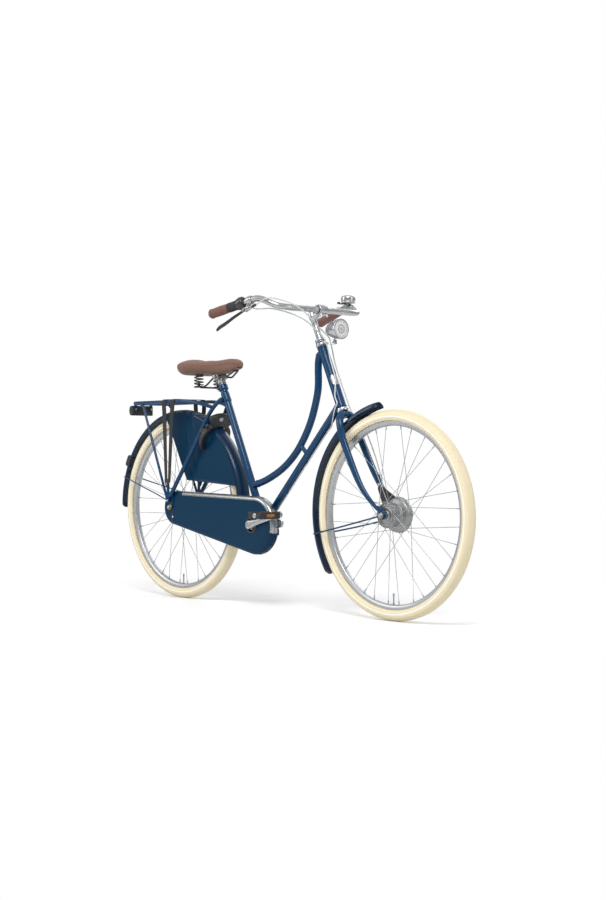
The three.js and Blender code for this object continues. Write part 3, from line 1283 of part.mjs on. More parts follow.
// Stem: quill, neck and the clamp round the handlebar
const neck = onHead(neckHeight);
const clampPlace = point(barForward, 0, barHeight);
const barBoreAt = (grow) => rod(
  point(barForward, -80, barHeight), point(barForward, 80, barHeight), barRadius + grow, 12);
add(bicycle, 'stem', cut(joined(
  rod(onHead(quillLow), neck, quillRadius, 12),
  rod(onHead(neckHeight - 14), onHead(neckHeight + 8), neckRadius + 1.5, 12),
  rod(neck, clampPlace, neckRadius, 12),
  rod(point(barForward, -clampHalfWidth, barHeight), point(barForward, clampHalfWidth, barHeight),
    clampRadius, 14)), barBoreAt(2 * gap)), alloy());

// Handlebar: straight across the clamp, round a bend and back to the grips
const barShares = [
  [0, 0.28, 0], [0, 0.56, 0], [0.061, 0.72, 0.15], [0.133, 0.772, 0.455], [0.235, 0.8, 0.85],
  [0.323, 0.824, 1], [0.395, 0.843, 0.88], [0.476, 0.865, 0.7], [0.565, 0.888, 0.515],
  [0.721, 0.928, 0.19], [0.86, 0.964, -0.099], [1, 1, -0.39],
];
const onBar = (side) => ([back, out, rise]) => point(
  barForward - back * barReach, side * out * barHalfWidth, barHeight + rise * barRise);
const barPoints = [
  ...barShares.map(onBar(-1)).reverse(), point(barForward, 0, barHeight), ...barShares.map(onBar(1)),
];
add(bicycle, 'handlebar', pipe(barPoints, barRadius, 34, 8), alloy());

// Sleeves that sit on the straight run to the grips
const gripStart = (side) => onBar(side)([0.476, 0.865, 0.7]);
const gripEnd = (side) => onBar(side)([1, 1, -0.39]);
const onGrip = (side, share) => gripStart(side).lerp(gripEnd(side), share);
const barClear = pipe(barPoints, barRadius + 0.8, 34, 8);
const sleeve = (side, from, to, radius, facets = 12) =>
  rod(onGrip(side, from), onGrip(side, to), radius, facets);
const shifterFrom = 0.03;
const shifterTo = 0.22;
const twistTo = 0.465;
const gripTo = 0.975;
const hair = 0.003;
add(bicycle, 'grip_right', cut(sleeve(-1, twistTo + hair, gripTo, gripRadius), barClear), brownLeather());
add(bicycle, 'grip_left', cut(sleeve(1, shifterFrom, gripTo, gripRadius), barClear), brownLeather());
const shifterExit = onBar(-1)([0.4626, 0.7978, 0.2]);
const shifterNose = (grow) => rod(onGrip(-1, 0.1), shifterExit, 5 + grow, 8);
add(bicycle, 'gear_shifter_housing', cut(
  joined(sleeve(-1, shifterFrom, shifterTo, gripRadius + 4),
    shifterNose(0)), barClear), blackPlastic());
add(bicycle, 'twist_sleeve', cut(
  sleeve(-1, shifterTo + hair, twistTo, gripRadius + 1.5, 12),
  sleeve(-1, 0, 1, barRadius + 1.1, 12)), blackPlastic());

// Brake lever and its bracket under the right end of the bar
const leverPivot = onBar(-1)([0.4728, 0.8839, -0.1515]);
const leverAxis = point(0.24, 0.97, 0).normalize();
const bracketRing = rod(onBar(-1)([0.388, 0.841, 0.9]), onBar(-1)([0.446, 0.857, 0.765]), 16, 12);
const leverHalf = 5;
const pivotAt = (out) => leverPivot.clone().addScaledVector(leverAxis, out);
const bracketBody = rod(onBar(-1)([0.42, 0.85, 0.83]), pivotAt(0).add(point(2, 0, 0)), 8.5, 10);
const bracketNose = rod(pivotAt(0), onBar(-1)([0.3912, 0.854, 0.03]), 7, 10);
const leverRoom = rod(
  pivotAt(-leverHalf - 2 * runningGap), pivotAt(leverHalf + 2 * runningGap), 18, 12);
const leverShares = [
  [0.5476, 0.9026, -0.485], [0.636, 0.9251, -0.879], [0.7721, 0.9513, -1.545], [0.8844, 0.97, -2],
];
const leverPoints = [leverPivot, ...leverShares.map(onBar(-1))];
const leverClear = pipe(leverPoints, leverHalf + runningGap, 10, 8);
const pivotEars = rod(pivotAt(-9), pivotAt(9), 7, 12);
const pivotPin = rod(pivotAt(-9), pivotAt(9), 2.2, 8);
add(bicycle, 'brake_lever_bracket', joined(
  cut(joined(bracketRing, bracketBody, bracketNose, pivotEars), barClear, leverRoom, leverClear),
  pivotPin), alloy());
add(bicycle, 'brake_lever', cut(
  joined(pipe(leverPoints, leverHalf - 0.5, 10, 8),
    rod(pivotAt(-leverHalf + 1), pivotAt(leverHalf - 1), 6, 12)),
  rod(pivotAt(-2 * leverHalf), pivotAt(2 * leverHalf), 2.2 + gap * 1.5, 12)), blackPlastic());

// Bell on the left bend: clamp, gong and a thumb lever below its rim
const bellPlace = onBar(1)([0.296, 0.817, 0.96]);
const gongShares = [[1, 0.7], [0.96, 0.84], [0.8, 0.94], [0.42, 1]];
function gong() {
  const rings = gongShares.map(([reach, rise]) => [reach * bellRadius, rise * (bellHeight - 4)]);
  const outline = [[0, -3], [bellRadius, -3], ...rings, [0, bellHeight - 4]];
  const matrix = new THREE.Matrix4().makeRotationX(Math.PI / 2);
  matrix.setPosition(bellPlace.x, bellPlace.y, bellBase + 2);
  const points = outline.map(([radius, y]) => new THREE.Vector2(radius, y));
  return toSolid(new THREE.LatheGeometry([...points, points[0]], 12), matrix);
}
const bellAhead = onBar(1)([0.27, 0.812, 0.91]);
const bellBehind = onBar(1)([0.322, 0.824, 1]);
const bellClamp = rod(bellBehind, bellAhead, 15, 12);
const bellPost = rod(bellPlace, point(bellPlace.x, bellPlace.y, bellBase), 9, 12);
const thumbPivot = point(bellPlace.x, bellPlace.y - 19, 0);
const thumbPin = rod(
  point(thumbPivot.x, thumbPivot.y, bellBase - 8), point(thumbPivot.x, thumbPivot.y, bellBase), 2, 8);
add(bicycle, 'bell', cut(joined(gong(), bellClamp, bellPost, thumbPin), barClear), chrome());
add(bicycle, 'bell_lever', cut(
  joined(rod(point(thumbPivot.x, thumbPivot.y, bellBase - 6),
    point(thumbPivot.x, thumbPivot.y, bellBase - 2), 4.5, 12),
    block(point(thumbPivot.x - 2, thumbPivot.y - 13, bellBase - 4), point(7, 24, 4)),
    block(point(thumbPivot.x - 2, thumbPivot.y - 24, bellBase - 2), point(14, 5, 8))),
  rod(point(thumbPivot.x, thumbPivot.y, bellBase - 12), point(thumbPivot.x, thumbPivot.y, bellBase + 4),
    2 + gap * 1.5, 10)), blackPlastic());

// Cables of the front end
const brakeCablePoints = [
  point(676, -228, 1074), point(702, -231, 1079), point(728, -228, 1090), point(749, -219, 1099),
  point(768, -197, 1097), point(799, -160, 1083), point(817, -128, 1063), point(829, -90, 1032),
  point(820, -50, 1008), point(811, -12, 990), point(810, 16, 970), point(806, 32, 940),
  point(822, 34, 880), point(858, 34, 800), point(882, 34, 750), point(903, 36, 708),
  point(930, 46, 680), point(952, 56, 640), point(972, 59, 600),
  point(998, 60, 545), point(1016, 60, 500), point(1036, 52, 462), point(1045, 44, 449),
];
add(bicycle, 'brake_cable', cut(
  pipe(brakeCablePoints, cableRadius, 33, 5), bladeClear, barClear), cableGrey());
const shiftCablePoints = [
  point(651.6, -212.5, 1075.1), point(674, -207, 1068), point(702, -203, 1066), point(733, -193, 1066),
  point(758, -168, 1059), point(782, -130, 1046), point(803, -92, 1026), point(815, -55, 996),
  point(820, -24, 972), point(824, -9, 945), point(831, -5, 915), point(837, -5, 893),
  point(852.5, -7, 860), point(869, -11, 822), point(875.5, -17.5, 791),
  besideHead(cableJoinHeight + cableJoinRun * 2), besideHead(cableJoinHeight),
];
add(bicycle, 'shift_cable_bar', cut(
  pipe(shiftCablePoints, cableRadius, 22, 5),
  pipe(brakeCablePoints, cableRadius + gap, 33, 5), shifterNose(gap)), cableGrey());

export default bicycle;
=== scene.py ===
"""A step-through city bicycle, dressed over its fixed frame.

The file is laid out as an add-on: sizes and colours that a user would change stand in
two property groups, each group of like pieces has an operator, and a panel in the 3D
view's sidebar lists them. Run as a script, it builds the whole bicycle and its stage.
Places are worked out in millimetres forward of the rear axle, to the rider's left and
above the ground, and are turned to metres in the bicycle's own frame at the end.
"""

import math

import bpy
import numpy as np
from mathutils import Matrix, Vector


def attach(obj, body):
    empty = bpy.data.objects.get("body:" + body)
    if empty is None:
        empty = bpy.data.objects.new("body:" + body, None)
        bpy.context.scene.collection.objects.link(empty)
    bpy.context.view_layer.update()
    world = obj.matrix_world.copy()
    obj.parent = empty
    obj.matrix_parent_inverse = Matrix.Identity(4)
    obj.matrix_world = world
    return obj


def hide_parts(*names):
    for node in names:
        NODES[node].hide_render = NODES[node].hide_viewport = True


bl_info = {
    "name": "Step-through City Bicycle",
    "version": (1, 0, 0),
    "blender": (4, 5, 0),
    "location": "View3D > Sidebar > City Bicycle",
    "description": "Builds a dressed step-through city bicycle over its fixed frame",
    "category": "Add Mesh",
}

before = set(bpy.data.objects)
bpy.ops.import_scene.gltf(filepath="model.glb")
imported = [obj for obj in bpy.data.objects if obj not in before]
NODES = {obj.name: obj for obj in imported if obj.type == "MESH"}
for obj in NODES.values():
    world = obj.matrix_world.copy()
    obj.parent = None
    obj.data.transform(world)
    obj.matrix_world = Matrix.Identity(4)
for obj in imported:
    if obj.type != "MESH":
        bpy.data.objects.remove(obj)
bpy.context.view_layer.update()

# The rear axle lies this far behind the middle of the bicycle, in millimetres
REAR_AXLE_BEHIND = 557.0
WHEELBASE = 1139.0
AXLE_HEIGHT = 355.0
BOTTOM_BRACKET = (480.0, 303.0)
CRANK_MIDDLE = np.array([BOTTOM_BRACKET[0], 0, BOTTOM_BRACKET[1]])
HEAD_SLOPE = 0.45499
SEAT_SLOPE = 0.46206
EYELET = 380.5
WHEEL_X = {"rear": 0.0, "front": WHEELBASE}
HANDS = ((-1, "right"), (1, "left"))
TRAIL_AT_GROUND = 79.8
SPOKES_A_SIDE = 16
CARRIER_HEIGHT = 765
CRANK_LENGTH = 170
LAMP_FACE = (889.0, 996.0)
SADDLE_REAR, SADDLE_LENGTH, SADDLE_HALF_WIDTH = 75, 272, 110
SADDLE_BASE, SADDLE_RISE = 866, 59
SPRING_FORWARD, SPRING_OUT = 155, 47
BAR_FORWARD, BAR_HEIGHT = 787, 1069
BAR_REACH, BAR_HALF_WIDTH, BAR_RISE = 294, 267, 33


# Colours and sizes

def linear(code):
    """A hex sRGB colour as linear red, green, blue and full alpha: each channel is
    c / 12.92 below 0.04045 and ((c + 0.055) / 1.055) to the power 2.4 above it."""
    channels = np.array([int(code[i:i + 2], 16) for i in (0, 2, 4)]) / 255
    bright = ((channels + 0.055) / 1.055) ** 2.4
    return (*np.where(channels <= 0.04045, channels / 12.92, bright), 1.0)


def colour(name, about, code):
    """A colour that the panel shows, given as a hex sRGB code."""
    return bpy.props.FloatVectorProperty(
        name=name, description=about, subtype="COLOR", size=4, min=0, max=1,
        default=linear(code))


def length(name, about, metres, least=0.0005, most=2.0):
    """A length in metres that the panel shows."""
    return bpy.props.FloatProperty(
        name=name, description=about, default=metres, min=least, max=most,
        subtype="DISTANCE", unit="LENGTH")


class CityBikeColours(bpy.types.PropertyGroup):
    """Colours of the bicycle's finishes."""
    enamel: colour("Frame Enamel", "Deep blue enamel of the frame, fork and carrier", "04395f")
    guard_enamel: colour("Mudguard Enamel", "Blue enamel of the two mudguards", "082a45")
    cloth: colour("Coated Cloth", "Blue coated cloth of the chain case and coat guards", "00304c")
    tyre: colour("Tyre Rubber", "Cream rubber of the tyres", "ecdfbd")
    stripe: colour("Reflective Stripe", "White band on the side of each tyre", "f6f5f0")
    cast_alloy: colour("Cast Alloy", "Dull cast alloy of the hubs and the brake plate", "9a9c9c")
    alloy: colour("Polished Alloy", "Rims, handlebar, stem, cranks and hubs", "b9bbbd")
    plated: colour("Plated Steel", "Spokes, axles, nuts and the chain", "adafb1")
    chrome: colour("Chrome", "Headlight and bell", "c8cacc")
    leather: colour("Saddle Cover", "Brown cover of the saddle", "7d5a4a")
    grip: colour("Grip Cover", "Brown cover of the grips", "764c3e")
    black: colour("Black Nylon", "Lock, shifter, lever and rear light box", "262628")
    black_steel: colour("Black Steel", "Saddle springs, rails and clamp", "161618")
    webbing: colour("Elastic Webbing", "Luggage straps", "232325")
    red: colour("Red Lens", "Rear reflectors", "a0161b")
    amber: colour("Amber Lens", "Pedal reflectors", "9a5c0e")
    cable: colour("Cable Housing", "Outer housing of the cables", "c9cdca")
    trim: colour("Trim Strip", "Silver strip round the chain case", "a4a6a6")


class CityBikeSizes(bpy.types.PropertyGroup):
    """Sizes of the bicycle's pieces."""
    tyre_radius: length("Tyre Radius", "Radius of the tyre over its crown", 0.355)
    tyre_section: length("Tyre Section", "Width of the tyre", 0.045)
    rim_flange: length("Rim Flange Radius", "Radius of the rim's outer edge", 0.3175)
    rim_inner: length("Rim Inner Radius", "Radius of the rim's inner face", 0.300)
    rim_width: length("Rim Width", "Width of the rim", 0.025)
    spoke: length("Spoke Thickness", "Thickness of a spoke", 0.0020)
    head_tube: length("Head Tube Radius", "Radius of the head tube", 0.018)
    loop_tube: length("Loop Tube Radius", "Radius of the swept upper tube", 0.013)
    down_tube: length("Down Tube Radius", "Radius of the down tube", 0.0143)
    seat_tube: length("Seat Tube Radius", "Radius of the seat tube", 0.0143)
    chain_stay: length("Chain Stay Radius", "Radius of a chain stay", 0.0075)
    seat_stay: length("Seat Stay Radius", "Radius of a seat stay", 0.008)
    blade: length("Fork Blade Radius", "Radius of a fork blade at the crown", 0.014)
    mudguard: length("Mudguard Radius", "Radius of a mudguard's crown", 0.380)
    mudguard_width: length("Mudguard Width", "Width of a mudguard", 0.059)
    carrier_rail: length("Carrier Rail Radius", "Radius of the carrier's rail", 0.007)
    handlebar: length("Handlebar Radius", "Radius of the handlebar", 0.0111)
    grip: length("Grip Radius", "Radius of a grip", 0.016)
    cable: length("Cable Radius", "Radius of a cable's housing", 0.0025)


def size(name):
    """A size of the bicycle in millimetres."""
    return getattr(bpy.context.scene.city_bike_sizes, name) * 1000


def tint(name):
    """A colour of the bicycle, linear, with full alpha."""
    return tuple(getattr(bpy.context.scene.city_bike_colours, name))


# Places

def on_head(z):
    """The place on the steering axis at a height."""
    return np.array([WHEELBASE + TRAIL_AT_GROUND - z * HEAD_SLOPE, 0.0, z])


def on_seat(z):
    """The place on the seat tube's axis at a height."""
    return np.array([BOTTOM_BRACKET[0] - (z - BOTTOM_BRACKET[1]) * SEAT_SLOPE, 0.0, z])


def unit(vector):
    """A vector turned to unit length."""
    return np.asarray(vector, float) / np.linalg.norm(vector)


def unit_rows(rows):
    """Each row of an array turned to unit length."""
    return rows / np.linalg.norm(rows, axis=-1, keepdims=True)


HEAD_UP = unit(on_head(700) - on_head(600))


def turns(count):
    """Angles evenly round a circle, without the last, which is the first again."""
    return np.linspace(0, 2 * np.pi, count, endpoint=False)


def resampled(path, count, last=True):
    """A path's places at even distances along it, with or without its last place."""
    along = np.concatenate([[0], np.cumsum(np.linalg.norm(np.diff(path, axis=0), axis=1))])
    even = np.linspace(0, along[-1], count, endpoint=last)
    return np.stack([np.interp(even, along, path[:, k]) for k in range(path.shape[1])], axis=1)


def spline(points, count):
    """A centripetal Catmull-Rom curve: between two points it is the weighted mean of
    the four nearest, with knots spaced by the square root of their distance. It is
    sampled count times, evenly along its length."""
    points = np.asarray(points, float)
    chain = np.vstack([2 * points[0] - points[1], points, 2 * points[-1] - points[-2]])
    knots = np.concatenate([[0], np.cumsum(np.sqrt(np.linalg.norm(np.diff(chain, axis=0), axis=1)))])
    a, b, c, d = chain[:-3, None], chain[1:-2, None], chain[2:-1, None], chain[3:, None]
    ta, tb, tc, td = (knots[i:len(knots) - 3 + i, None, None] for i in range(4))
    t = tb + (tc - tb) * np.linspace(0, 1, 24, endpoint=False)[None, :, None]
    ab = (tb - t) / (tb - ta) * a + (t - ta) / (tb - ta) * b
    bc = (tc - t) / (tc - tb) * b + (t - tb) / (tc - tb) * c
    cd = (td - t) / (td - tc) * c + (t - tc) / (td - tc) * d
    abc = (tc - t) / (tc - ta) * ab + (t - ta) / (tc - ta) * bc
    bcd = (td - t) / (td - tb) * bc + (t - tb) / (td - tb) * cd
    fine = ((tc - t) / (tc - tb) * abc + (t - tb) / (tc - tb) * bcd).reshape(-1, points.shape[1])
    return resampled(np.vstack([fine, points[-1]]), count)


def oblong(x0, y0, x1, y1):
    """The corners of a rectangle."""
    return [[x0, y0], [x1, y0], [x1, y1], [x0, y1]]


def softened(outline, radius, closed=True, steps=4):
    """Each corner of an outline becomes the quadratic curve that leaves one edge and
    meets the next at the radius from the corner."""
    corner = np.asarray(outline, float)
    before, after = np.roll(corner, 1, 0), np.roll(corner, -1, 0)
    back = np.linalg.norm(before - corner, axis=1, keepdims=True)
    ahead = np.linalg.norm(after - corner, axis=1, keepdims=True)
    reach = np.minimum(radius, 0.45 * np.minimum(back, ahead))
    start = corner + (before - corner) / back * reach
    end = corner + (after - corner) / ahead * reach
    t = np.linspace(0, 1, steps)[None, :, None]
    curve = (1 - t) ** 2 * start[:, None] + 2 * t * (1 - t) * corner[:, None] + t ** 2 * end[:, None]
    if closed:
        return curve.reshape(-1, corner.shape[1])
    return np.vstack([corner[:1], curve[1:-1].reshape(-1, corner.shape[1]), corner[-1:]])


def outward(points, faces, uvs):
    """Turns a skin's faces round where its signed volume about its middle is negative."""
    shifted = points - points.mean(0)
    volume = 0.0
    for group in faces:
        for k in range(1, group.shape[1] - 1):
            a, b, c = shifted[group[:, 0]], shifted[group[:, k]], shifted[group[:, k + 1]]
            volume += np.einsum("ij,ij->", a, np.cross(b, c))
    if volume < 0:
        faces = [group[:, ::-1] for group in faces]
        uvs = [group[:, ::-1] for group in uvs]
    return points, faces, uvs


def skin(rings, wrap=False, caps=True):
    """A skin over rings of as many points each: a quad between each two neighbours,
    round the ring and along the rings, and a fan to the middle of either end. The UV
    map holds metres: along the rings and round them."""
    rows, cols = rings.shape[:2]
    r, c = np.meshgrid(np.arange(rows if wrap else rows - 1), np.arange(cols), indexing="ij")
    nr, nc = (r + 1) % rows, (c + 1) % cols
    quads = np.stack([r * cols + c, r * cols + nc, nr * cols + nc, nr * cols + c], -1).reshape(-1, 4)
    steps = np.linalg.norm(np.roll(rings, -1, 0) - rings, axis=2).mean(1)
    along = np.concatenate([[0], np.cumsum(steps)]) / 1000
    widths = np.linalg.norm(np.roll(rings, -1, 1) - rings, axis=2).max(0)
    round_ = np.concatenate([[0], np.cumsum(widths)]) / 1000
    uv = np.stack([
        np.stack([along[r], round_[c]], -1), np.stack([along[r], round_[c + 1]], -1),
        np.stack([along[r + 1], round_[c + 1]], -1), np.stack([along[r + 1], round_[c]], -1),
    ], 2).reshape(-1, 4, 2)
    points = rings.reshape(-1, 3)
    faces, uvs = [quads], [uv]
    if caps and not wrap:
        i = np.arange(cols)
        for row, turn in ((0, 1), (rows - 1, -1)):
            middle = len(points)
            points = np.vstack([points, rings[row].mean(0)])
            tris = np.stack([np.full(cols, middle), row * cols + (i + 1) % cols, row * cols + i], -1)
            faces.append(tris[:, ::turn])
            place = np.full((cols, 3, 2), along[row])
            uvs.append(place)
    return outward(points, faces, uvs)


def sheet(rows_of_points, wall):
    """A thin sheet: the grid of points, and a copy of it the wall's thickness behind
    it along the grid's normals, joined round the edge as one closed ring of columns."""
    grid = np.asarray(rows_of_points, float)
    across = np.gradient(grid, axis=0)
    down = np.gradient(grid, axis=1)
    normal = np.cross(across, down)
    normal /= np.maximum(np.linalg.norm(normal, axis=2, keepdims=True), 1e-9)
    rings = np.concatenate([grid + normal * wall / 2, (grid - normal * wall / 2)[:, ::-1]], axis=1)
    return skin(rings)


def sheet_with_window(grid, wall, window):
    """A thin sheet like the one above with a block of its cells left out: both faces,
    and a wall round the outer edge and round the window."""
    shift = unit_rows(np.cross(np.gradient(grid, axis=0), np.gradient(grid, axis=1))) * wall / 2
    rows, cols = grid.shape[:2]
    points = np.vstack([(grid + shift).reshape(-1, 3), (grid - shift).reshape(-1, 3)])
    r, c = np.meshgrid(np.arange(rows - 1), np.arange(cols - 1), indexing="ij")
    i0, i1, j0, j1 = window
    keep = ~((r >= i0) & (r < i1) & (c >= j0) & (c < j1))
    r, c = r[keep], c[keep]
    front = np.stack([r * cols + c, r * cols + c + 1, (r + 1) * cols + c + 1, (r + 1) * cols + c], -1)
    quads = [front, front[:, ::-1] + rows * cols]
    for top, bottom, left, right in ((0, rows - 1, 0, cols - 1), (i0, i1, j1, j0)):
        way = 1 if right > left else -1
        edge = np.concatenate([
            top * cols + np.arange(left, right, way), np.arange(top, bottom) * cols + right,
            bottom * cols + np.arange(right, left, -way), np.arange(bottom, top, -1) * cols + left])
        after = np.roll(edge, -1)
        quads.append(np.stack([after, edge, edge + rows * cols, after + rows * cols], -1))
    return outward(points, quads, [points[group][..., [0, 2]] / 1000 for group in quads])


def cross_frame(path, up, closed=False):
    """Unit tangents of a path and the two directions across it, from one up direction."""
    if closed:
        tangent = unit_rows(np.roll(path, -1, 0) - np.roll(path, 1, 0))
    else:
        tangent = unit_rows(np.gradient(path, axis=0))
    side = unit_rows(np.cross(np.asarray(up, float), tangent))
    return tangent, side, np.cross(tangent, side)


def sweep(path, section, up=(0, 0, 1), scale=1.0, closed=False):
    """A section of sideways and upward places carried along a path, times a scale that
    may change along it."""
    path = np.asarray(path, float)
    _, side, lift = cross_frame(path, up, closed)
    scale = np.broadcast_to(np.asarray(scale, float), (len(path),))[:, None, None]
    section = np.asarray(section, float)
    rings = path[:, None] + scale * (
        section[None, :, :1] * side[:, None] + section[None, :, 1:] * lift[:, None])
    return skin(rings, wrap=closed)


def carried(path, side, lift, sideways, upwards):
    """A skin of rings along a path: each place is the path's own, plus its reach
    sideways along one direction and its reach upwards along the other."""
    side, lift = (way[:, None] if way.ndim > 1 else way for way in (side, lift))
    return skin(path[:, None] + sideways[..., None] * side + upwards[..., None] * lift)


def circle(radius, count, flat=1.0):
    """A circle's places, drawn in sideways by a share."""
    turn = turns(count)
    return np.stack([radius * flat * np.cos(turn), radius * np.sin(turn)], axis=1)


def tube(path, radius, sides=20, up=(0, 0, 1), flat=1.0, closed=False, domed=False):
    """A round tube along a path: each ring is the path's place plus radius times the
    cosine and sine of the turn, across the path. Domed ends shrink as a half circle."""
    path = np.asarray(path, float)
    radius = np.broadcast_to(np.asarray(radius, float), (len(path),))
    if domed:
        turn = np.linspace(np.pi / 2, 0.12, 5)
        first, last = unit(path[0] - path[1]), unit(path[-1] - path[-2])
        head = path[0] + first * (radius[0] * np.sin(turn))[:, None]
        tail = path[-1] + last * (radius[-1] * np.sin(turn[::-1]))[:, None]
        path = np.vstack([head, path, tail])
        radius = np.concatenate([radius[0] * np.cos(turn), radius, radius[-1] * np.cos(turn[::-1])])
        radius = np.maximum(radius, 0.02)
    return sweep(path, circle(1.0, sides, flat), up, radius, closed)


def axis_basis(direction):
    """Two unit directions across a line and the line's own direction."""
    along = unit(direction)
    helper = np.array([0.0, 0.0, 1.0]) if abs(along[2]) < 0.9 else np.array([1.0, 0.0, 0.0])
    side = unit(np.cross(helper, along))
    return side, np.cross(along, side), along


def lathe(profile, origin, direction, steps=64, closed=True, start=0.0, turn=2 * np.pi):
    """A profile of radii and distances turned about a line: at each turn a place is
    the origin plus radius times cosine and sine across the line, plus the distance
    along it. A profile that is not closed starts and ends on the line."""
    profile = np.asarray(profile, float)
    side, lift, along = axis_basis(direction)
    whole = abs(turn - 2 * np.pi) < 1e-6
    angles = start + np.linspace(0, turn, steps, endpoint=not whole)
    spoke = np.cos(angles)[:, None] * side + np.sin(angles)[:, None] * lift
    origin = np.asarray(origin, float)
    if closed:
        rings = origin + profile[None, :, :1] * spoke[:, None] + profile[None, :, 1:] * along
        return skin(rings, wrap=whole)
    radii = np.maximum(profile[:, 0], 0.01)
    rings = origin + radii[:, None, None] * spoke[None] + profile[:, None, 1:] * along
    return skin(rings)


def turned(outline, ease, origin, direction, steps):
    """A solid turned from an outline that starts and ends on its line, corners eased."""
    return lathe(softened(outline, ease, closed=False), origin, direction, steps, closed=False)


def hollow(outline, ease, origin, direction, steps):
    """A ring turned from a closed outline, corners eased."""
    return lathe(softened(outline, ease), origin, direction, steps)


def rod(start, end, radius, sides=24, edge=0.6):
    """A straight round bar with softened ends."""
    start, end = np.asarray(start, float), np.asarray(end, float)
    reach = np.linalg.norm(end - start)
    edge = min(edge, radius * 0.45, reach * 0.3)
    outline = softened(oblong(0, 0, radius, reach), edge, closed=False)
    return lathe(outline, start, end - start, sides, closed=False)


def crossbar(middle, half, radius, sides):
    """A round bar straight across the bicycle, as long on either side of its middle."""
    out = np.array([0, half, 0])
    return rod(middle - out, middle + out, radius, sides)


def slab(outline, y0, y1, edge=0.8, basis=None, origin=(0, 0, 0)):
    """A plate of an outline of forward and upward places between two offsets across the
    bicycle, its edges eased by a small inset. A basis of three directions turns it."""
    outline = np.asarray(outline, float)
    area = np.sum(outline[:, 0] * np.roll(outline[:, 1], -1) - np.roll(outline[:, 0], -1) * outline[:, 1])
    if area < 0:
        outline = outline[::-1]
    ahead = np.roll(outline, -1, 0) - outline
    ahead /= np.maximum(np.linalg.norm(ahead, axis=1, keepdims=True), 1e-9)
    mean = ahead + np.roll(ahead, 1, 0)
    mean /= np.maximum(np.linalg.norm(mean, axis=1, keepdims=True), 1e-9)
    inset = outline + np.stack([-mean[:, 1], mean[:, 0]], 1) * edge
    low, high = min(y0, y1), max(y0, y1)
    edge = min(edge, (high - low) * 0.4)
    levels = [(inset, low), (outline, low + edge), (outline, high - edge), (inset, high)]
    rings = np.stack([np.column_stack([ring[:, 0], np.full(len(ring), y), ring[:, 1]])
                      for ring, y in levels])
    if basis is not None:
        rings = rings @ np.asarray(basis, float)
    rings = rings + np.asarray(origin, float)
    points, faces, uvs = skin(rings, caps=False)
    count = len(outline)
    flat = outline / 1000
    bottom, top = np.arange(count)[::-1], np.arange(count) + 3 * count
    faces = faces + [bottom[None], top[None]]
    uvs = uvs + [flat[::-1][None], flat[None]]
    return outward(points, faces, uvs)


def block(middle, dims, edge=1.0, lean=0.0, basis=None):
    """A rounded block given by its middle and size, leaning about the Y axis."""
    hx, hy, hz = np.asarray(dims, float) / 2
    outline = softened(oblong(-hx, -hz, hx, hz), edge * 1.6)
    if basis is None:
        c, s = math.cos(lean), math.sin(lean)
        basis = [[c, 0, -s], [0, 1, 0], [s, 0, c]]
    return slab(outline, -hy, hy, edge, basis, middle)


def hexagon(middle, direction, across, thick):
    """A hexagon nut or bolt head about a line, its corners chamfered."""
    side, lift, along = axis_basis(direction)
    turn = turns(6)
    ring = np.stack([np.cos(turn), np.sin(turn)], 1) * across / math.sqrt(3)
    outline = softened(ring, across * 0.06, steps=3)
    return slab(outline, 0, thick, min(0.7, thick * 0.2), [side, along, lift], middle)


# Pieces

def piece(name, skins, which, body, replaces, sharp=38):
    """Joins skins into one mesh with foreach_set, gives it a finish and makes it ride on
    a body of the frame."""
    if isinstance(skins, tuple):
        skins = [skins]
    offset, all_points, loops, totals, all_uvs = 0, [], [], [], []
    for points, faces, uvs in skins:
        all_points.append(points)
        for group, uv in zip(faces, uvs):
            loops.append((group + offset).ravel())
            totals.append(np.full(len(group), group.shape[1]))
            all_uvs.append(uv.reshape(-1, 2))
        offset += len(points)
    points = (np.vstack(all_points) - [REAR_AXLE_BEHIND, 0, 0]) / 1000
    loops, totals = np.concatenate(loops), np.concatenate(totals)
    mesh = bpy.data.meshes.new(name)
    mesh.vertices.add(len(points))
    mesh.vertices.foreach_set("co", points.astype(np.float32).ravel())
    mesh.loops.add(len(loops))
    mesh.loops.foreach_set("vertex_index", loops.astype(np.int32))
    mesh.polygons.add(len(totals))
    mesh.polygons.foreach_set("loop_start", (np.cumsum(totals) - totals).astype(np.int32))
    mesh.update(calc_edges=True)
    mesh.uv_layers.new(name="UVMap").data.foreach_set(
        "uv", np.vstack(all_uvs).astype(np.float32).ravel())
    mesh.shade_smooth()
    mesh.set_sharp_from_angle(angle=math.radians(sharp))
    mesh.materials.append(finish(which))
    made = bpy.data.objects.new(name, mesh)
    bpy.context.scene.collection.objects.link(made)
    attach(made, body)
    if replaces:
        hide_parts(*([replaces] if isinstance(replaces, str) else replaces))
    return made


def refinish(node, which):
    """Gives a frame node that stays in view another finish."""
    mesh = NODES[node].data
    mesh.materials.clear()
    mesh.materials.append(finish(which))


# Finishes

def fill(tree, node, **values):
    """Gives a node's inputs numbers or links; an input named _3 is the fourth."""
    for name, value in values.items():
        socket = node.inputs[int(name[1:])] if name[0] == "_" else node.inputs[name.replace("_", " ")]
        if isinstance(value, bpy.types.NodeSocket):
            tree.links.new(value, socket)
        else:
            socket.default_value = value
    return node


def add(tree, kind, settings=None, **values):
    """Adds one node with its settings and its inputs."""
    made = tree.nodes.new(kind)
    for name, value in (settings or {}).items():
        setattr(made, name, value)
    return fill(tree, made, **values)


def maths(tree, operation, *values):
    """A number worked out of others by one operation."""
    inputs = {f"_{k}": value for k, value in enumerate(values)}
    return add(tree, "ShaderNodeMath", {"operation": operation}, **inputs).outputs[0]


def ranged(tree, value, low, high, new_low=0.0, new_high=1.0):
    """A number moved evenly from one range to another."""
    return add(tree, "ShaderNodeMapRange", Value=value, _1=low, _2=high, _3=new_low,
               _4=new_high).outputs[0]


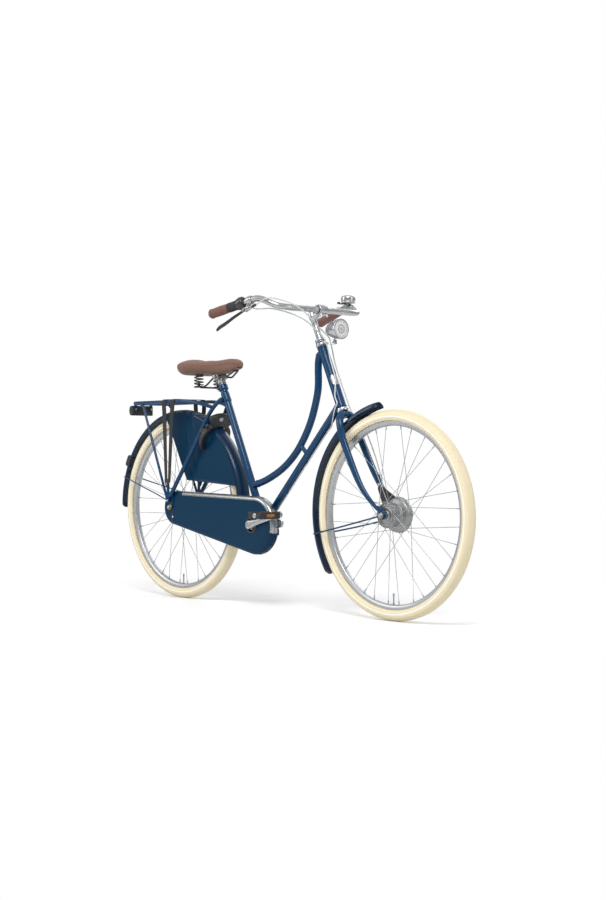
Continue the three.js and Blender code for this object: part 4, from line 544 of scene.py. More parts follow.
def blended(tree, share, first, second):
    """A colour between two others, by a share."""
    return add(tree, "ShaderNodeMix", {"data_type": "RGBA"}, _0=share, _6=first, _7=second).outputs[2]


def noise(tree, place, scale, detail):
    """A cloudy pattern with so many cells to the metre."""
    return add(tree, "ShaderNodeTexNoise", Vector=place, Scale=scale, Detail=detail).outputs[0]


# A wave texture has this many bands to the unit at a scale of one
BANDS_PER_UNIT = 3.18


def waved(tree, place, axis, apart_mm, **more):
    """Bands across an axis, at a real distance from each other."""
    return add(tree, "ShaderNodeTexWave", {"bands_direction": axis}, Vector=place,
               Scale=1000 / apart_mm / BANDS_PER_UNIT, **more).outputs["Fac"]


def started(name, kind="Object"):
    """An empty material with its shader and output; returns it, its tree, the shader
    and one kind of texture coordinate."""
    if name in bpy.data.materials:
        bpy.data.materials.remove(bpy.data.materials[name])
    material = bpy.data.materials.new(name)
    material.use_nodes = True
    tree = material.node_tree
    tree.nodes.clear()
    shader = add(tree, "ShaderNodeBsdfPrincipled")
    add(tree, "ShaderNodeOutputMaterial", Surface=shader.outputs[0])
    return material, tree, shader, add(tree, "ShaderNodeTexCoord").outputs[kind]


def bumped(tree, shader, height, depth_mm, strength):
    """Feeds a height pattern from 0 to 1 into the shader as a bump of a real depth."""
    made = add(tree, "ShaderNodeBump", Strength=strength, Distance=depth_mm / 1000, Height=height)
    fill(tree, shader, Normal=made.outputs[0])


def shaded(base, share):
    """A linear colour made darker or lighter by a share, at most 1 in each channel."""
    return (*(min(1, c * share) for c in base[:3]), 1)


def varied(tree, shader, base, spread, scale_mm, place):
    """Base colour that drifts a little lighter and darker over a real distance."""
    cloud = noise(tree, place, 1000 / scale_mm, 3.0)
    fill(tree, shader, Base_Color=blended(tree, cloud, shaded(base, 1 - spread), shaded(base, 1 + spread)))


def rough_range(tree, shader, source, low, high):
    """Roughness that runs from low to high with a pattern."""
    fill(tree, shader, Roughness=ranged(tree, source, 0.0, 1.0, low, high))


def gloss_enamel(name, which):
    """Stove enamel on steel under clear lacquer: deep colour, sharp reflections and a
    faint orange peel about 2 mm across."""
    material, tree, shader, place = started(name)
    varied(tree, shader, tint(which), 0.05, 60, place)
    fill(tree, shader, Roughness=0.35, Specular_IOR_Level=0.15, Coat_Weight=0.4, Coat_Roughness=0.06)
    bumped(tree, shader, noise(tree, place, 450.0, 1.0), 0.02, 0.5)
    return material


def coated_cloth():
    """Lacquered cloth stretched on a wire frame: a plain weave, drawn 1.4 mm coarse so
    that it shows, filled by a half-gloss coat."""
    material, tree, shader, place = started("lacquered_cloth")
    varied(tree, shader, tint("cloth"), 0.07, 90, place)
    fill(tree, shader, Specular_IOR_Level=0.1, Coat_Weight=0.1, Coat_Roughness=0.18)
    weave = maths(tree, "MULTIPLY", *(waved(tree, place, axis, 1.4, Distortion=0.4) for axis in "XZ"))
    rough_range(tree, shader, weave, 0.42, 0.34)
    bumped(tree, shader, weave, 0.05, 0.4)
    return material


def cream_rubber():
    """Cream tyre rubber with a woven reflective band on each side wall: the UV map's
    second value is the distance round the section, so the band keeps its radius. The
    tread is painted darker than the side walls, a painted shade, and its grooves run
    round and slant across 3 mm apart."""
    material, tree, shader, place = started("cream_rubber")
    parts = add(tree, "ShaderNodeSeparateXYZ", Vector=place.node.outputs["UV"])
    away = maths(tree, "ABSOLUTE", maths(tree, "SUBTRACT", parts.outputs[1],
                                         0.5 * tyre_profile_length() / 1000))
    band = maths(tree, "COMPARE", away, 0.0362, 0.0022)
    base = tint("tyre")
    rubber = blended(tree, noise(tree, place, 18.0, 4.0), shaded(base, 0.93), base)
    # The tread's colour falls to 0.88 of the side walls', a painted shade on the lit tread.
    rubber_with_painted_shade = add(tree, "ShaderNodeVectorMath", {"operation": "SCALE"}, _0=rubber,
                 Scale=ranged(tree, away, 0.016, 0.027, 0.88)).outputs[0]
    fill(tree, shader, Base_Color=blended(tree, band, rubber_with_painted_shade, tint("stripe")))
    rough_range(tree, shader, band, 0.62, 0.4)
    slant = maths(tree, "MULTIPLY_ADD", away, 0.8, parts.outputs[0])
    groove = ranged(tree, maths(tree, "PINGPONG", slant, 0.0022), 0.0004, 0.0008)
    ring = ranged(tree, maths(tree, "PINGPONG", away, 0.003), 0.0003, 0.0006)
    off_tread = maths(tree, "SUBTRACT", 1.0, maths(tree, "LESS_THAN", away, 0.021))
    height = maths(tree, "MAXIMUM", maths(tree, "MULTIPLY", groove, ring), off_tread)
    bumped(tree, shader, height, 0.25, 0.04)
    return material


def metal(name, which, low, high, grain_mm):
    """Bare or plated metal: full metallic, with a fine grain of a real size that varies
    the roughness."""
    material, tree, shader, place = started(name)
    varied(tree, shader, tint(which), 0.05, 25, place)
    fill(tree, shader, Metallic=1.0)
    grain = noise(tree, place, 1000 / grain_mm, 4.0)
    rough_range(tree, shader, grain, low, high)
    bumped(tree, shader, grain, 0.004, 0.1)
    return material


def moulded(name, which, roughness, grain_mm=0.6, depth=0.04, coat=0.0):
    """Injection-moulded plastic: a fine spark-eroded grain and a soft sheen."""
    material, tree, shader, place = started(name)
    varied(tree, shader, tint(which), 0.08, 12, place)
    fill(tree, shader, Coat_Weight=coat)
    grain = noise(tree, place, 1000 / grain_mm, 2.0)
    rough_range(tree, shader, grain, roughness - 0.06, roughness + 0.06)
    bumped(tree, shader, grain, depth, 0.5)
    return material


def grained_cover(name, which, cell_mm):
    """Soft polyurethane cover pressed with a leather grain: rounded cells a few
    millimetres across with creases between them, painted darker as a painted shade,
    paler where it rubs."""
    material, tree, shader, place = started(name)
    base = tint(which)
    cells = add(tree, "ShaderNodeTexVoronoi", {"feature": "DISTANCE_TO_EDGE"},
                Vector=place, Scale=1000 / cell_mm, Randomness=0.9)
    crease = ranged(tree, cells.outputs[0], 0.0, 0.18)
    tone = blended(tree, noise(tree, place, 55.0, 5.0), shaded(base, 0.86), shaded(base, 1.16))
    # The creases take 0.7 of the base colour, a painted shade.
    fill(tree, shader, Base_Color=blended(tree, crease, shaded(base, 0.7), tone),
         Sheen_Weight=0.15, Sheen_Roughness=0.5)
    rough_range(tree, shader, crease, 0.75, 0.52)
    bumped(tree, shader, crease, 0.18, 0.6)
    return material


def elastic_webbing():
    """Flat elastic woven over rubber threads: ribs 1.6 mm apart along the strap with a
    finer weft across, read from the UV map so that they follow it."""
    material, tree, shader, place = started("elastic_webbing", "UV")
    varied(tree, shader, tint("webbing"), 0.12, 8, place)
    mixed = maths(tree, "MULTIPLY_ADD", waved(tree, place, "X", 0.9), 0.35, waved(tree, place, "Y", 1.6))
    rough_range(tree, shader, mixed, 0.85, 0.6)
    bumped(tree, shader, mixed, 0.2, 0.7)
    return material


def lens(name, which):
    """Moulded acrylic with rows of small prisms, 2.4 mm wide, behind a smooth glossy face.
    Each prism is painted lighter in its middle and darker at its edges: a painted
    highlight and painted shade.
    """
    material, tree, shader, place = started(name)
    base = tint(which)
    cells = add(tree, "ShaderNodeTexVoronoi", {"feature": "F1", "distance": "CHEBYCHEV"},
                Vector=place, Scale=1000 / 2.4, Randomness=0.0).outputs[0]
    # Prism middles painted lighter and edges darker: a painted highlight and painted shade.
    fill(tree, shader, Base_Color=blended(tree, cells, shaded(base, 1.35), shaded(base, 0.55)),
         Roughness=0.12, IOR=1.49, Coat_Weight=0.6, Coat_Roughness=0.04)
    bumped(tree, shader, cells, 0.3, 0.4)
    return material


def clear_lens():
    """Clear polycarbonate with fine rings, its colour a painted reflection of a bright
    reflector: light and dark rings and a pale yellow middle.
    """
    material, tree, shader, place = started("clear_lens")
    moved = add(tree, "ShaderNodeMapping", Vector=place,
                Location=(-(LAMP_FACE[0] - REAR_AXLE_BEHIND) / 1000, 0, -LAMP_FACE[1] / 1000))
    parts = add(tree, "ShaderNodeSeparateXYZ", Vector=moved.outputs[0])
    flat = add(tree, "ShaderNodeCombineXYZ", Y=parts.outputs[1], Z=parts.outputs[2]).outputs[0]
    radius = add(tree, "ShaderNodeVectorMath", {"operation": "LENGTH"}, _0=flat).outputs["Value"]
    # Grey rings by radius and a pale yellow middle: painted reflections of the reflector and lamp.
    tone = add(tree, "ShaderNodeValToRGB", Fac=ranged(tree, radius, 0.0, 0.033))
    painted_reflection_ramp = tone.color_ramp
    for share, grey in ((0.16, 0.3), (0.2, 0.75), (0.4, 0.42), (0.52, 0.5), (0.58, 0.85), (0.78, 0.6)):
        painted_reflection_ramp.elements.new(share).color = (grey, grey, grey, 1)
    painted_reflection_ramp.elements[0].color = (0.7, 0.68, 0.5, 1)
    painted_reflection_ramp.elements[-1].color = (0.8, 0.8, 0.8, 1)
    fill(tree, shader, Base_Color=tone.outputs[0], Roughness=0.08, IOR=1.58, Transmission_Weight=0.1)
    ring = ranged(tree, maths(tree, "PINGPONG", radius, 0.0035), 0.0, 0.0035)
    bumped(tree, shader, ring, 0.6, 0.5)
    return material


def yellow_zinc_washer():
    """Yellow-chromated steel washer, with the thin gold film of that plating."""
    material, tree, shader, place = started("yellow_zinc_washer")
    varied(tree, shader, linear("d6b020"), 0.2, 4, place)
    fill(tree, shader, Metallic=0.6, Roughness=0.35)
    return material


FINISH_MAKERS = {
    "enamel": (gloss_enamel, "gloss_enamel", "enamel"),
    "guard_enamel": (gloss_enamel, "mudguard_enamel", "guard_enamel"),
    "cloth": (coated_cloth,),
    "rubber": (cream_rubber,),
    "alloy": (metal, "polished_aluminium", "alloy", 0.28, 0.36, 0.4),
    "bar": (metal, "buffed_handlebar_alloy", "alloy", 0.26, 0.34, 0.5),
    "rim": (metal, "anodised_rim_alloy", "alloy", 0.36, 0.46, 0.35),
    "cast": (metal, "cast_hub_alloy", "cast_alloy", 0.4, 0.46, 2.5),
    "stainless": (metal, "stainless_spoke_wire", "plated", 0.4, 0.5, 0.5),
    "zinc": (metal, "zinc_plated_steel", "plated", 0.34, 0.48, 0.5),
    "chrome": (metal, "chromed_steel", "chrome", 0.22, 0.28, 0.8),
    "trim": (metal, "bright_trim_strip", "trim", 0.22, 0.32, 0.6),
    "black": (moulded, "glass_filled_nylon", "black", 0.5),
    "gloss_black": (moulded, "gloss_abs", "black", 0.28, 0.8, 0.01, 0.4),
    "black_steel": (moulded, "black_enamelled_steel", "black_steel", 0.3, 1.2, 0.02, 0.5),
    "leather": (grained_cover, "saddle_cover_grain", "leather", 1.7),
    "grip": (grained_cover, "grip_cover_grain", "grip", 1.4),
    "webbing": (elastic_webbing,),
    "red": (lens, "red_acrylic_reflector", "red"),
    "amber": (lens, "amber_acrylic_reflector", "amber"),
    "clear": (clear_lens,),
    "yellow_zinc": (yellow_zinc_washer,),
    "cable": (moulded, "pvc_cable_housing", "cable", 0.42, 1.5, 0.01),
}
finishes = {}


def finish(name):
    """A finish, made the first time that it is asked for."""
    if name not in finishes:
        maker, *values = FINISH_MAKERS[name]
        finishes[name] = maker(*values)
    return finishes[name]


# Wheels

def tyre_profile():
    """The tyre's closed section: a circle of the tyre's width from bead to bead, and a
    foot down into the rim."""
    section = size("tyre_section") / 2
    middle = size("tyre_radius") - section
    seat = size("rim_flange") + 0.3
    start = math.asin((seat - middle) / section)
    turn = np.linspace(start, math.pi - start, 41)
    arc = np.stack([middle + section * np.sin(turn), -section * np.cos(turn)], 1)
    bead = size("rim_width") / 2 - 2.7
    return np.vstack([[seat - 6, -bead], [seat, -bead], arc, [seat, bead], [seat - 6, bead]])


def tyre_profile_length():
    """The length round the tyre's section, in millimetres."""
    profile = tyre_profile()
    return np.linalg.norm(np.diff(profile, axis=0), axis=1).sum()


def wheel_middle(which):
    """The middle of a wheel."""
    return np.array([WHEEL_X[which], 0.0, AXLE_HEIGHT])


class CITYBIKE_OT_tyres(bpy.types.Operator):
    """Makes the two tyres, each a section turned about its axle."""
    bl_idname = "citybike.tyres"
    bl_label = "Tyres"

    def execute(self, context):
        for which in WHEEL_X:
            solid = lathe(tyre_profile(), wheel_middle(which), (0, 1, 0), 200)
            piece(f"{which}_tyre_rubber", solid, "rubber", f"{which}_wheel",
                  f"{which}_tyre")
        return {"FINISHED"}


class CITYBIKE_OT_rims(bpy.types.Operator):
    """Makes the two hooked box rims, with their valves."""
    bl_idname = "citybike.rims"
    bl_label = "Rims"

    def execute(self, context):
        flange, inner, wide = size("rim_flange"), size("rim_inner"), size("rim_width") / 2
        outline = [
            [inner, -6], [inner + 2.2, -9.5], [flange - 9, -wide + 0.6], [flange, -wide],
            [flange, -wide + 1.6], [flange - 7, -wide + 2.4], [flange - 7, wide - 2.4],
            [flange, wide - 1.6], [flange, wide], [flange - 9, wide - 0.6],
            [inner + 2.2, 9.5], [inner, 6]]
        for which in WHEEL_X:
            middle = wheel_middle(which)
            solid = hollow(outline, 1.6, middle, (0, 1, 0), 160)
            piece(f"{which}_rim_box", solid, "rim", f"{which}_wheel",
                  f"{which}_rim")
            foot = middle - [0, 0, inner - 0.5]
            valve = [turned([[0, 0], [4, 0], [4, 4], [2.6, 5], [2.6, 26], [3.4, 27], [3.4, 36], [2.2, 38],
                             [0, 38]], 0.5, foot, (0, 0, 1), 20)]
            piece(f"{which}_valve", valve, "zinc", f"{which}_wheel", ())
        return {"FINISHED"}


# The radius at which the front drum's larger flange holds its spokes
FRONT_DRUM_SPOKES = 57.0


def spoke_skins(which, side, flange_reach, flange_out):
    """Sixteen spokes of one side. Each leaves its flange on a tangent, with a bent head
    through the flange, runs straight to the rim and ends in a nipple twice as thick."""
    middle = wheel_middle(which)
    spacing = 2 * math.pi / SPOKES_A_SIDE
    phase = -math.pi / 2 + spacing / 4 + (spacing / 2 if side > 0 else 0)
    rim_turn = phase + np.arange(SPOKES_A_SIDE) * spacing
    inside = np.arange(SPOKES_A_SIDE) % 2 == 1
    hub_turn = rim_turn + np.where(inside, -1, 1) * math.pi / 4
    out = side * (flange_out + np.where(inside, 0.9, 3.0))
    reach = size("rim_inner") - 0.2
    hub = np.stack([flange_reach * np.cos(hub_turn), out, flange_reach * np.sin(hub_turn)], 1)
    rim = np.stack([reach * np.cos(rim_turn), np.full(SPOKES_A_SIDE, side * 4.5), reach * np.sin(rim_turn)],
                   1)
    radius = size("spoke") / 2
    skins = []
    shares = np.array([0, 0.004, 0.5, 0.952, 0.956, 0.996, 1.0])
    thick = np.array([radius, radius, radius, radius, 2.0, 2.0, 1.2])
    for k in range(SPOKES_A_SIDE):
        run = hub[k] + (rim[k] - hub[k]) * shares[:, None] + middle
        head = hub[k] + middle + [0, -out[k] + side * (flange_out - 1.5), 0]
        skins.append(tube(run, thick, 8, up=(0.1, 1, 0.1)))
        skins.append(rod(head, hub[k] + middle + [0, side * 1.0, 0], radius * 1.25, 8, 0.3))
    return skins


class CITYBIKE_OT_spokes(bpy.types.Operator):
    """Makes the laced spokes of both wheels, sixteen on each side."""
    bl_idname = "citybike.spokes"
    bl_label = "Spokes"

    def execute(self, context):
        rows = (("rear", -1, 32, 30), ("rear", 1, 32, 30), ("front", -1, 39, 36),
                ("front", 1, FRONT_DRUM_SPOKES, 29))
        for which, side, reach, out in rows:
            hand = "right" if side < 0 else "left"
            piece(f"{which}_spoke_set_{hand}", spoke_skins(which, side, reach, out),
                  "stainless", f"{which}_wheel", f"{which}_spokes_{hand}", 50)
        return {"FINISHED"}


def flange_holes(middle, y, reach, count):
    """Raised rims round the spoke holes of a flange."""
    turn = np.arange(count) * 2 * math.pi / count
    return [lathe(oblong(1.4, -0.4, 2.6, 0.4),
                  middle + [reach * math.cos(t), y, reach * math.sin(t)], (0, 1, 0), 10)
            for t in turn]


class CITYBIKE_OT_hubs(bpy.types.Operator):
    """Makes the geared rear hub and the front hub with its drum, as turned castings."""
    bl_idname = "citybike.hubs"
    bl_label = "Hubs"

    def execute(self, context):
        rear = wheel_middle("rear")
        outline = softened([
            [6, -33], [20, -33], [22, -31], [36, -30.5], [36, -27.5], [32, -25], [31, -18],
            [31, 18], [32, 25], [36, 27.5], [36, 30.5], [24, 31], [23, 33], [6, 33]], 1.4)
        piece("rear_hub_casting", [lathe(outline, rear, (0, 1, 0), 72)]
              + flange_holes(rear, -30.5, 32, SPOKES_A_SIDE)
              + flange_holes(rear, 30.5, 32, SPOKES_A_SIDE),
              "cast", "rear_wheel", "rear_hub")
        front = wheel_middle("front")
        outline = softened([
            [6, -40], [13, -40], [15, -38], [17, -37], [27, -36.8], [28, -35.6], [43, -35.6],
            [43, -33], [38, -31], [36, -26], [36, -4], [39, 4], [52, 8], [58, 12], [58.5, 25],
            [61, 26], [61, 29], [56, 29.6], [30, 30], [6, 31.5]], 1.5)
        ribs = [hollow(oblong(r - 1, -36.9, r + 1, -35.4), 0.4, front, (0, 1, 0), 60) for r in (22, 32, 41)]
        piece("front_hub_casting", [lathe(outline, front, (0, 1, 0), 96)] + ribs
              + flange_holes(front, -35.6, 39, SPOKES_A_SIDE) + flange_holes(front, 29, FRONT_DRUM_SPOKES,
                                                                             SPOKES_A_SIDE),
              "cast", "front_wheel", "front_hub")
        return {"FINISHED"}


# Frame

LOOP_SHARES = np.array([
    [0, 0], [0.205, 0.049], [0.414, 0.128], [0.55, 0.205], [0.648, 0.281], [0.723, 0.358],
    [0.784, 0.433], [0.833, 0.51], [0.869, 0.584], [0.898, 0.656], [0.918, 0.725],
    [0.924, 0.8], [0.922, 0.875], [0.926, 0.94], [0.945, 0.985], [1, 1]])
DOWN_TOP_Z = 735.0


def loop_points():
    """Places on the swept upper tube, from shares of its reach and rise."""
    low, high = on_seat(443), on_head(918)
    return np.stack([low[0] + (high[0] - low[0]) * LOOP_SHARES[:, 0],
                     np.zeros(len(LOOP_SHARES)),
                     low[2] + (high[2] - low[2]) * LOOP_SHARES[:, 1]], 1)


def on_down(share):
    """The place on the down tube's axis at a share of its length."""
    return CRANK_MIDDLE + (on_head(DOWN_TOP_Z) - CRANK_MIDDLE) * share


def weld(place, direction, radius):
    """A small bead of weld round a tube where it meets another."""
    turn = turns(12)
    outline = np.stack([radius + 1.3 * np.cos(turn), 1.8 * np.sin(turn)], 1)
    return lathe(outline, place, direction, 40)


class CITYBIKE_OT_frame_tubes(bpy.types.Operator):
    """Makes the head, loop, down and seat tubes with the bottom bracket shell."""
    bl_idname = "citybike.frame_tubes"
    bl_label = "Frame Tubes"

    def execute(self, context):
        reach = np.linalg.norm(on_head(938) - on_head(720))
        r = size("head_tube")
        barrel = [[13.4, 0], [r + 1.2, 0], [r + 1.2, 5], [r, 8], [r, reach - 8], [r + 1.2, reach - 5],
                  [r + 1.2, reach], [13.4, reach]]
        piece("head_tube_barrel", hollow(barrel, 1.0, on_head(720), HEAD_UP, 64), "enamel",
              "frame", "head_tube")
        cup = softened([[13.4, 0], [r - 1, 0], [r + 2.4, 2], [r + 3, 8], [r + 1.5, 13], [13.4, 15]], 1.2)
        cups = [lathe(cup, on_head(938.4), HEAD_UP, 56),
                lathe(cup, on_head(719.6), -HEAD_UP, 56)]
        piece("headset_cups", cups, "chrome", "frame", ())
        plate_turn = np.linspace(-0.5, 0.5, 15)
        heights = np.linspace(0, 1, 21)
        wide = np.sqrt(np.maximum(1 - (2 * heights - 1) ** 4, 0.0)) * 0.95 + 0.02
        across = np.array([0, 1.0, 0])
        front = unit(np.cross(across, HEAD_UP))
        turn = plate_turn[None, :] * 2 * wide[:, None] - 0.25
        badge = on_head(796) + HEAD_UP * (heights * 40)[:, None, None] + (r + 0.7) * (
            np.cos(turn)[..., None] * front + np.sin(turn)[..., None] * across)
        piece("head_plate", sheet(badge, 1.0), "alloy", "frame", ())

        loop = spline(loop_points(), 150)
        rad = size("loop_tube")
        tubes = [tube(loop, rad, 28, up=(0, 1, 0)),
                 rod(loop_points()[0] + (loop_points()[-1] - loop_points()[0]) * [0.687, 0, 0.313],
                     on_down(0.587), 8.0, 24),
                 weld(loop[1] + (loop[4] - loop[1]) * 2.1, loop[4] - loop[1], rad),
                 weld(loop[-7], loop[-5] - loop[-9], rad)]
        piece("loop_tube_swept", tubes, "enamel", "frame", "loop_tube")
        rad = size("down_tube")
        run = unit(on_down(1) - on_down(0))
        tubes = [rod(on_down(0.02), on_down(0.985), rad, 32),
                 weld(on_down(0) + run * 22, run, rad), weld(on_down(1) - run * 21, run, rad)]
        guides = [block(on_down(s) + np.array([run[2], 0, -run[0]]) * (rad + 1.5), (16, 8, 4), 1.0,
                        -math.atan2(run[2], run[0])) for s in (0.3, 0.55, 0.8)]
        piece("down_tube_straight", tubes + guides, "enamel", "frame", "down_tube")

        rad = size("seat_tube")
        seat_up = unit(on_seat(800) - on_seat(400))
        shell = hollow([[17.5, -34], [20, -34], [20, 34], [17.5, 34], [17.5, 31], [15, 31], [15, -31],
                        [17.5, -31]], 1.0, CRANK_MIDDLE, (0, 1, 0), 64)
        lug = hollow([[rad - 1, 0], [rad + 1.2, 2], [rad + 2.2, 8], [rad + 2.2, 36], [rad + 1.2, 43],
                      [rad - 1, 45]], 1.5, on_seat(755), seat_up, 48)
        collar = hollow([[13, 0], [rad + 3, 0], [rad + 4, 3], [rad + 4, 19], [rad + 3, 22], [13, 22]], 1.2,
                        on_seat(803), seat_up, 48)
        tubes = [rod(on_seat(BOTTOM_BRACKET[1]), on_seat(822), rad, 32), shell, lug, collar,
                 weld(on_seat(325), seat_up, rad)]
        piece("seat_tube_straight", tubes, "enamel", "frame", "seat_tube")
        ears = on_seat(811) - [22, 0, 3]
        bolt = [block(ears, (14, 9, 15), 1.5, math.radians(-25)),
                crossbar(ears - [2, 0, 0], 13, 3, 16),
                hexagon(ears + [-2, 9, 0], (0, 1, 0), 8, 4)]
        piece("seat_collar_bolt", bolt, "zinc", "frame", ())
        return {"FINISHED"}


CHAIN_STAY_SHARES = np.array([
    [0.965, 0.42], [0.9, 0.52], [0.73, 0.62], [0.42, 0.665], [0.27, 0.8], [0.163, 1]])
SEAT_STAY_SHARES = np.array([
    [1, 0.28, 1], [0.93, 0.39, 0.961], [0.809, 0.52, 0.869], [0.625, 0.7, 0.661],
    [0.449, 0.856, 0.472], [0.234, 0.975, 0.266], [0.054, 1, 0.116]])


def stay_height(x):
    """The height of a chain stay's axis at a distance forward of the rear axle."""
    return AXLE_HEIGHT + (BOTTOM_BRACKET[1] - AXLE_HEIGHT) * x / BOTTOM_BRACKET[0]


class CITYBIKE_OT_stays(bpy.types.Operator):
    """Makes the chain stays and seat stays with their bridges and flattened ends."""
    bl_idname = "citybike.stays"
    bl_label = "Stays"

    def execute(self, context):
        skins = []
        for side in (-1, 1):
            x = CHAIN_STAY_SHARES[:, 0] * BOTTOM_BRACKET[0]
            path = np.stack([x, side * CHAIN_STAY_SHARES[:, 1] * 54, stay_height(x)], 1)
            skins.append(tube(spline(path, 60), size("chain_stay"), 22, domed=True))
            tongue = softened([[-15, 352], [-11, 366], [6, 370], [90, stay_height(90) + 7],
                               [90, stay_height(90) - 7], [4, 340], [-11, 343]], 5)
            skins.append(slab(tongue, side * 58, side * 61.7, 0.7))
        skins.append(crossbar((387.6, 0, stay_height(387.6)), 29, 7, 22))
        piece("chain_stay_pair", skins, "enamel", "frame", "chain_stays")

        skins, bolts = [], []
        for side in (-1, 1):
            path = np.stack([SEAT_STAY_SHARES[:, 0] * 256, side * SEAT_STAY_SHARES[:, 1] * 74,
                             AXLE_HEIGHT + SEAT_STAY_SHARES[:, 2] * 413], 1)
            fine = spline(path, 80)
            skins.append(tube(fine, size("seat_stay"), 22, up=(0, 1, 0), domed=True))
            flat = softened([[-9, 346], [9, 344], [15, 360], [22, 403], [7, 410], [-8, 387]], 6)
            skins.append(slab(flat, side * 64.3, side * 68.3, 0.7))
            bolts.append(rod((0, side * 64, EYELET), (0, side * 80, EYELET), 2.6, 16))
            bolts.append(hexagon((0, side * 79, EYELET), (0, side, 0), 10, 5))
        reach = size("mudguard") + 7.6
        bridge = np.array([reach * math.cos(math.radians(59.5)), 0,
                           AXLE_HEIGHT + reach * math.sin(math.radians(59.5))])
        skins.append(crossbar(bridge, 43, 6.5, 22))
        skins.append(crossbar((248, 0, 760), 26, 7, 22))
        piece("seat_stay_pair", skins, "enamel", "frame", "seat_stays")
        piece("eyelet_bolts", bolts, "zinc", "frame", ())
        return {"FINISHED"}


# Mudguards

def gutter(middle, reach, start, end, steps):
    """A mudguard: its section is half an ellipse of the guard's half width and its drop,
    with a rolled bead along either edge, turned about the axle from one angle to
    another; the far end is rounded off by drawing the section in."""
    wide, drop, wall, bead = size("mudguard_width") / 2, 18.0, 1.2, 1.7
    a = np.linspace(-math.pi / 2, math.pi / 2, 25)
    outer = np.stack([reach - drop * (1 - np.cos(a) ** 0.8), wide * np.sin(a)], 1)
    inner = np.stack([reach - wall - (drop - 0.4) * (1 - np.cos(a) ** 0.8),
                      (wide - wall) * np.sin(a)], 1)
    low, high = outer[0], outer[-1]
    turn = np.linspace(-0.5, 1.35 * math.pi, 8)
    left = high + np.stack([-bead * np.sin(turn), bead * (np.cos(turn) - 1)], 1)
    right = low + np.stack([-bead * np.sin(turn[::-1]), -bead * (np.cos(turn[::-1]) - 1)], 1)
    profile = np.vstack([outer[1:-1], left, inner[1:-1][::-1], right])
    angles = np.radians(np.linspace(start, end, steps))
    from_end = np.minimum(np.abs(angles - angles[0]), np.abs(angles - angles[-1])) * reach
    draw = np.sqrt(np.clip(1 - (1 - np.clip(from_end / 14, 0, 1)) ** 2, 0.0, 1)) * 0.45 + 0.55
    radii = profile[None, :, 0]
    y = profile[None, :, 1] * draw[:, None]
    rings = np.stack([middle[0] + radii * np.cos(angles)[:, None],
                      np.broadcast_to(y, (steps, len(profile))),
                      middle[2] + radii * np.sin(angles)[:, None]], 2)
    return skin(rings)


def on_gutter(middle, reach, degrees, side):
    """The place inside a mudguard's edge, at an angle about its middle."""
    reach = reach - 11
    return np.array([middle[0] + reach * math.cos(math.radians(degrees)), side * 28.6,
                     middle[2] + reach * math.sin(math.radians(degrees))])


class CITYBIKE_OT_mudguards(bpy.types.Operator):
    """Makes both mudguards, their wire stays and clips."""
    bl_idname = "citybike.mudguards"
    bl_label = "Mudguards"

    def execute(self, context):
        rows = (
            ("rear", "frame", wheel_middle("rear"), size("mudguard"), (181.5, -5, 150), 162,
             [(-210, 52, 435), (-90, 69.8, 407), (-30, 71.2, 388), (0, 71.2, EYELET)], 50, 2.4,
             oblong(3, -1.5, 7, 1.5), (0, 70.4, EYELET)),
            ("front", "steering", wheel_middle("front") + [4, 0, 5], 384, (101, 215, 110), 192.4,
             [(900, 46, 303), (1060, 57.5, 337), (1132, 57.1, 353.5)], 40, 2.9,
             oblong(5.6, -2, 8.5, 2), (WHEELBASE, 57.1, AXLE_HEIGHT)))
        for which, body, middle, reach, span, edge_at, way, count, wire, eye, end in rows:
            piece(f"{which}_mudguard_blade", gutter(middle, reach, *span), "guard_enamel",
                  body, f"{which}_mudguard")
            wires, clips = [], []
            for side in (-1, 1):
                edge = on_gutter(middle, reach, edge_at, side)
                path = [edge] + [np.array(place) * [1, side, 1] for place in way]
                wires.append(tube(spline(path, count), wire, 14))
                wires.append(hollow(eye, 0.6, np.array(end) * [1, side, 1], (0, 1, 0), 28))
                clips.append(rod(edge - [0, side * 3, 0], edge + [0, side * 3.2, 0], 3.2, 16))
            piece(f"{which}_mudguard_stays", wires, "enamel", body, ())
            piece(f"{which}_mudguard_rivets", clips, "zinc", body, ())
        return {"FINISHED"}


# Saddle

SADDLE_SHARES = np.array([
    [0, 0.5, 0.8, 0.06], [0.015, 0.76, 0.9, 0], [0.05, 0.92, 0.96, -0.03], [0.13, 1, 1, -0.04],
    [0.26, 0.97, 0.97, -0.02], [0.36, 0.86, 0.88, 0], [0.46, 0.68, 0.84, 0], [0.56, 0.48, 0.85, 0],
    [0.66, 0.35, 0.88, 0.02], [0.76, 0.285, 0.92, 0.07], [0.86, 0.25, 0.92, 0.15],
    [0.94, 0.21, 0.84, 0.24], [0.985, 0.14, 0.7, 0.32], [1, 0.06, 0.56, 0.4]])


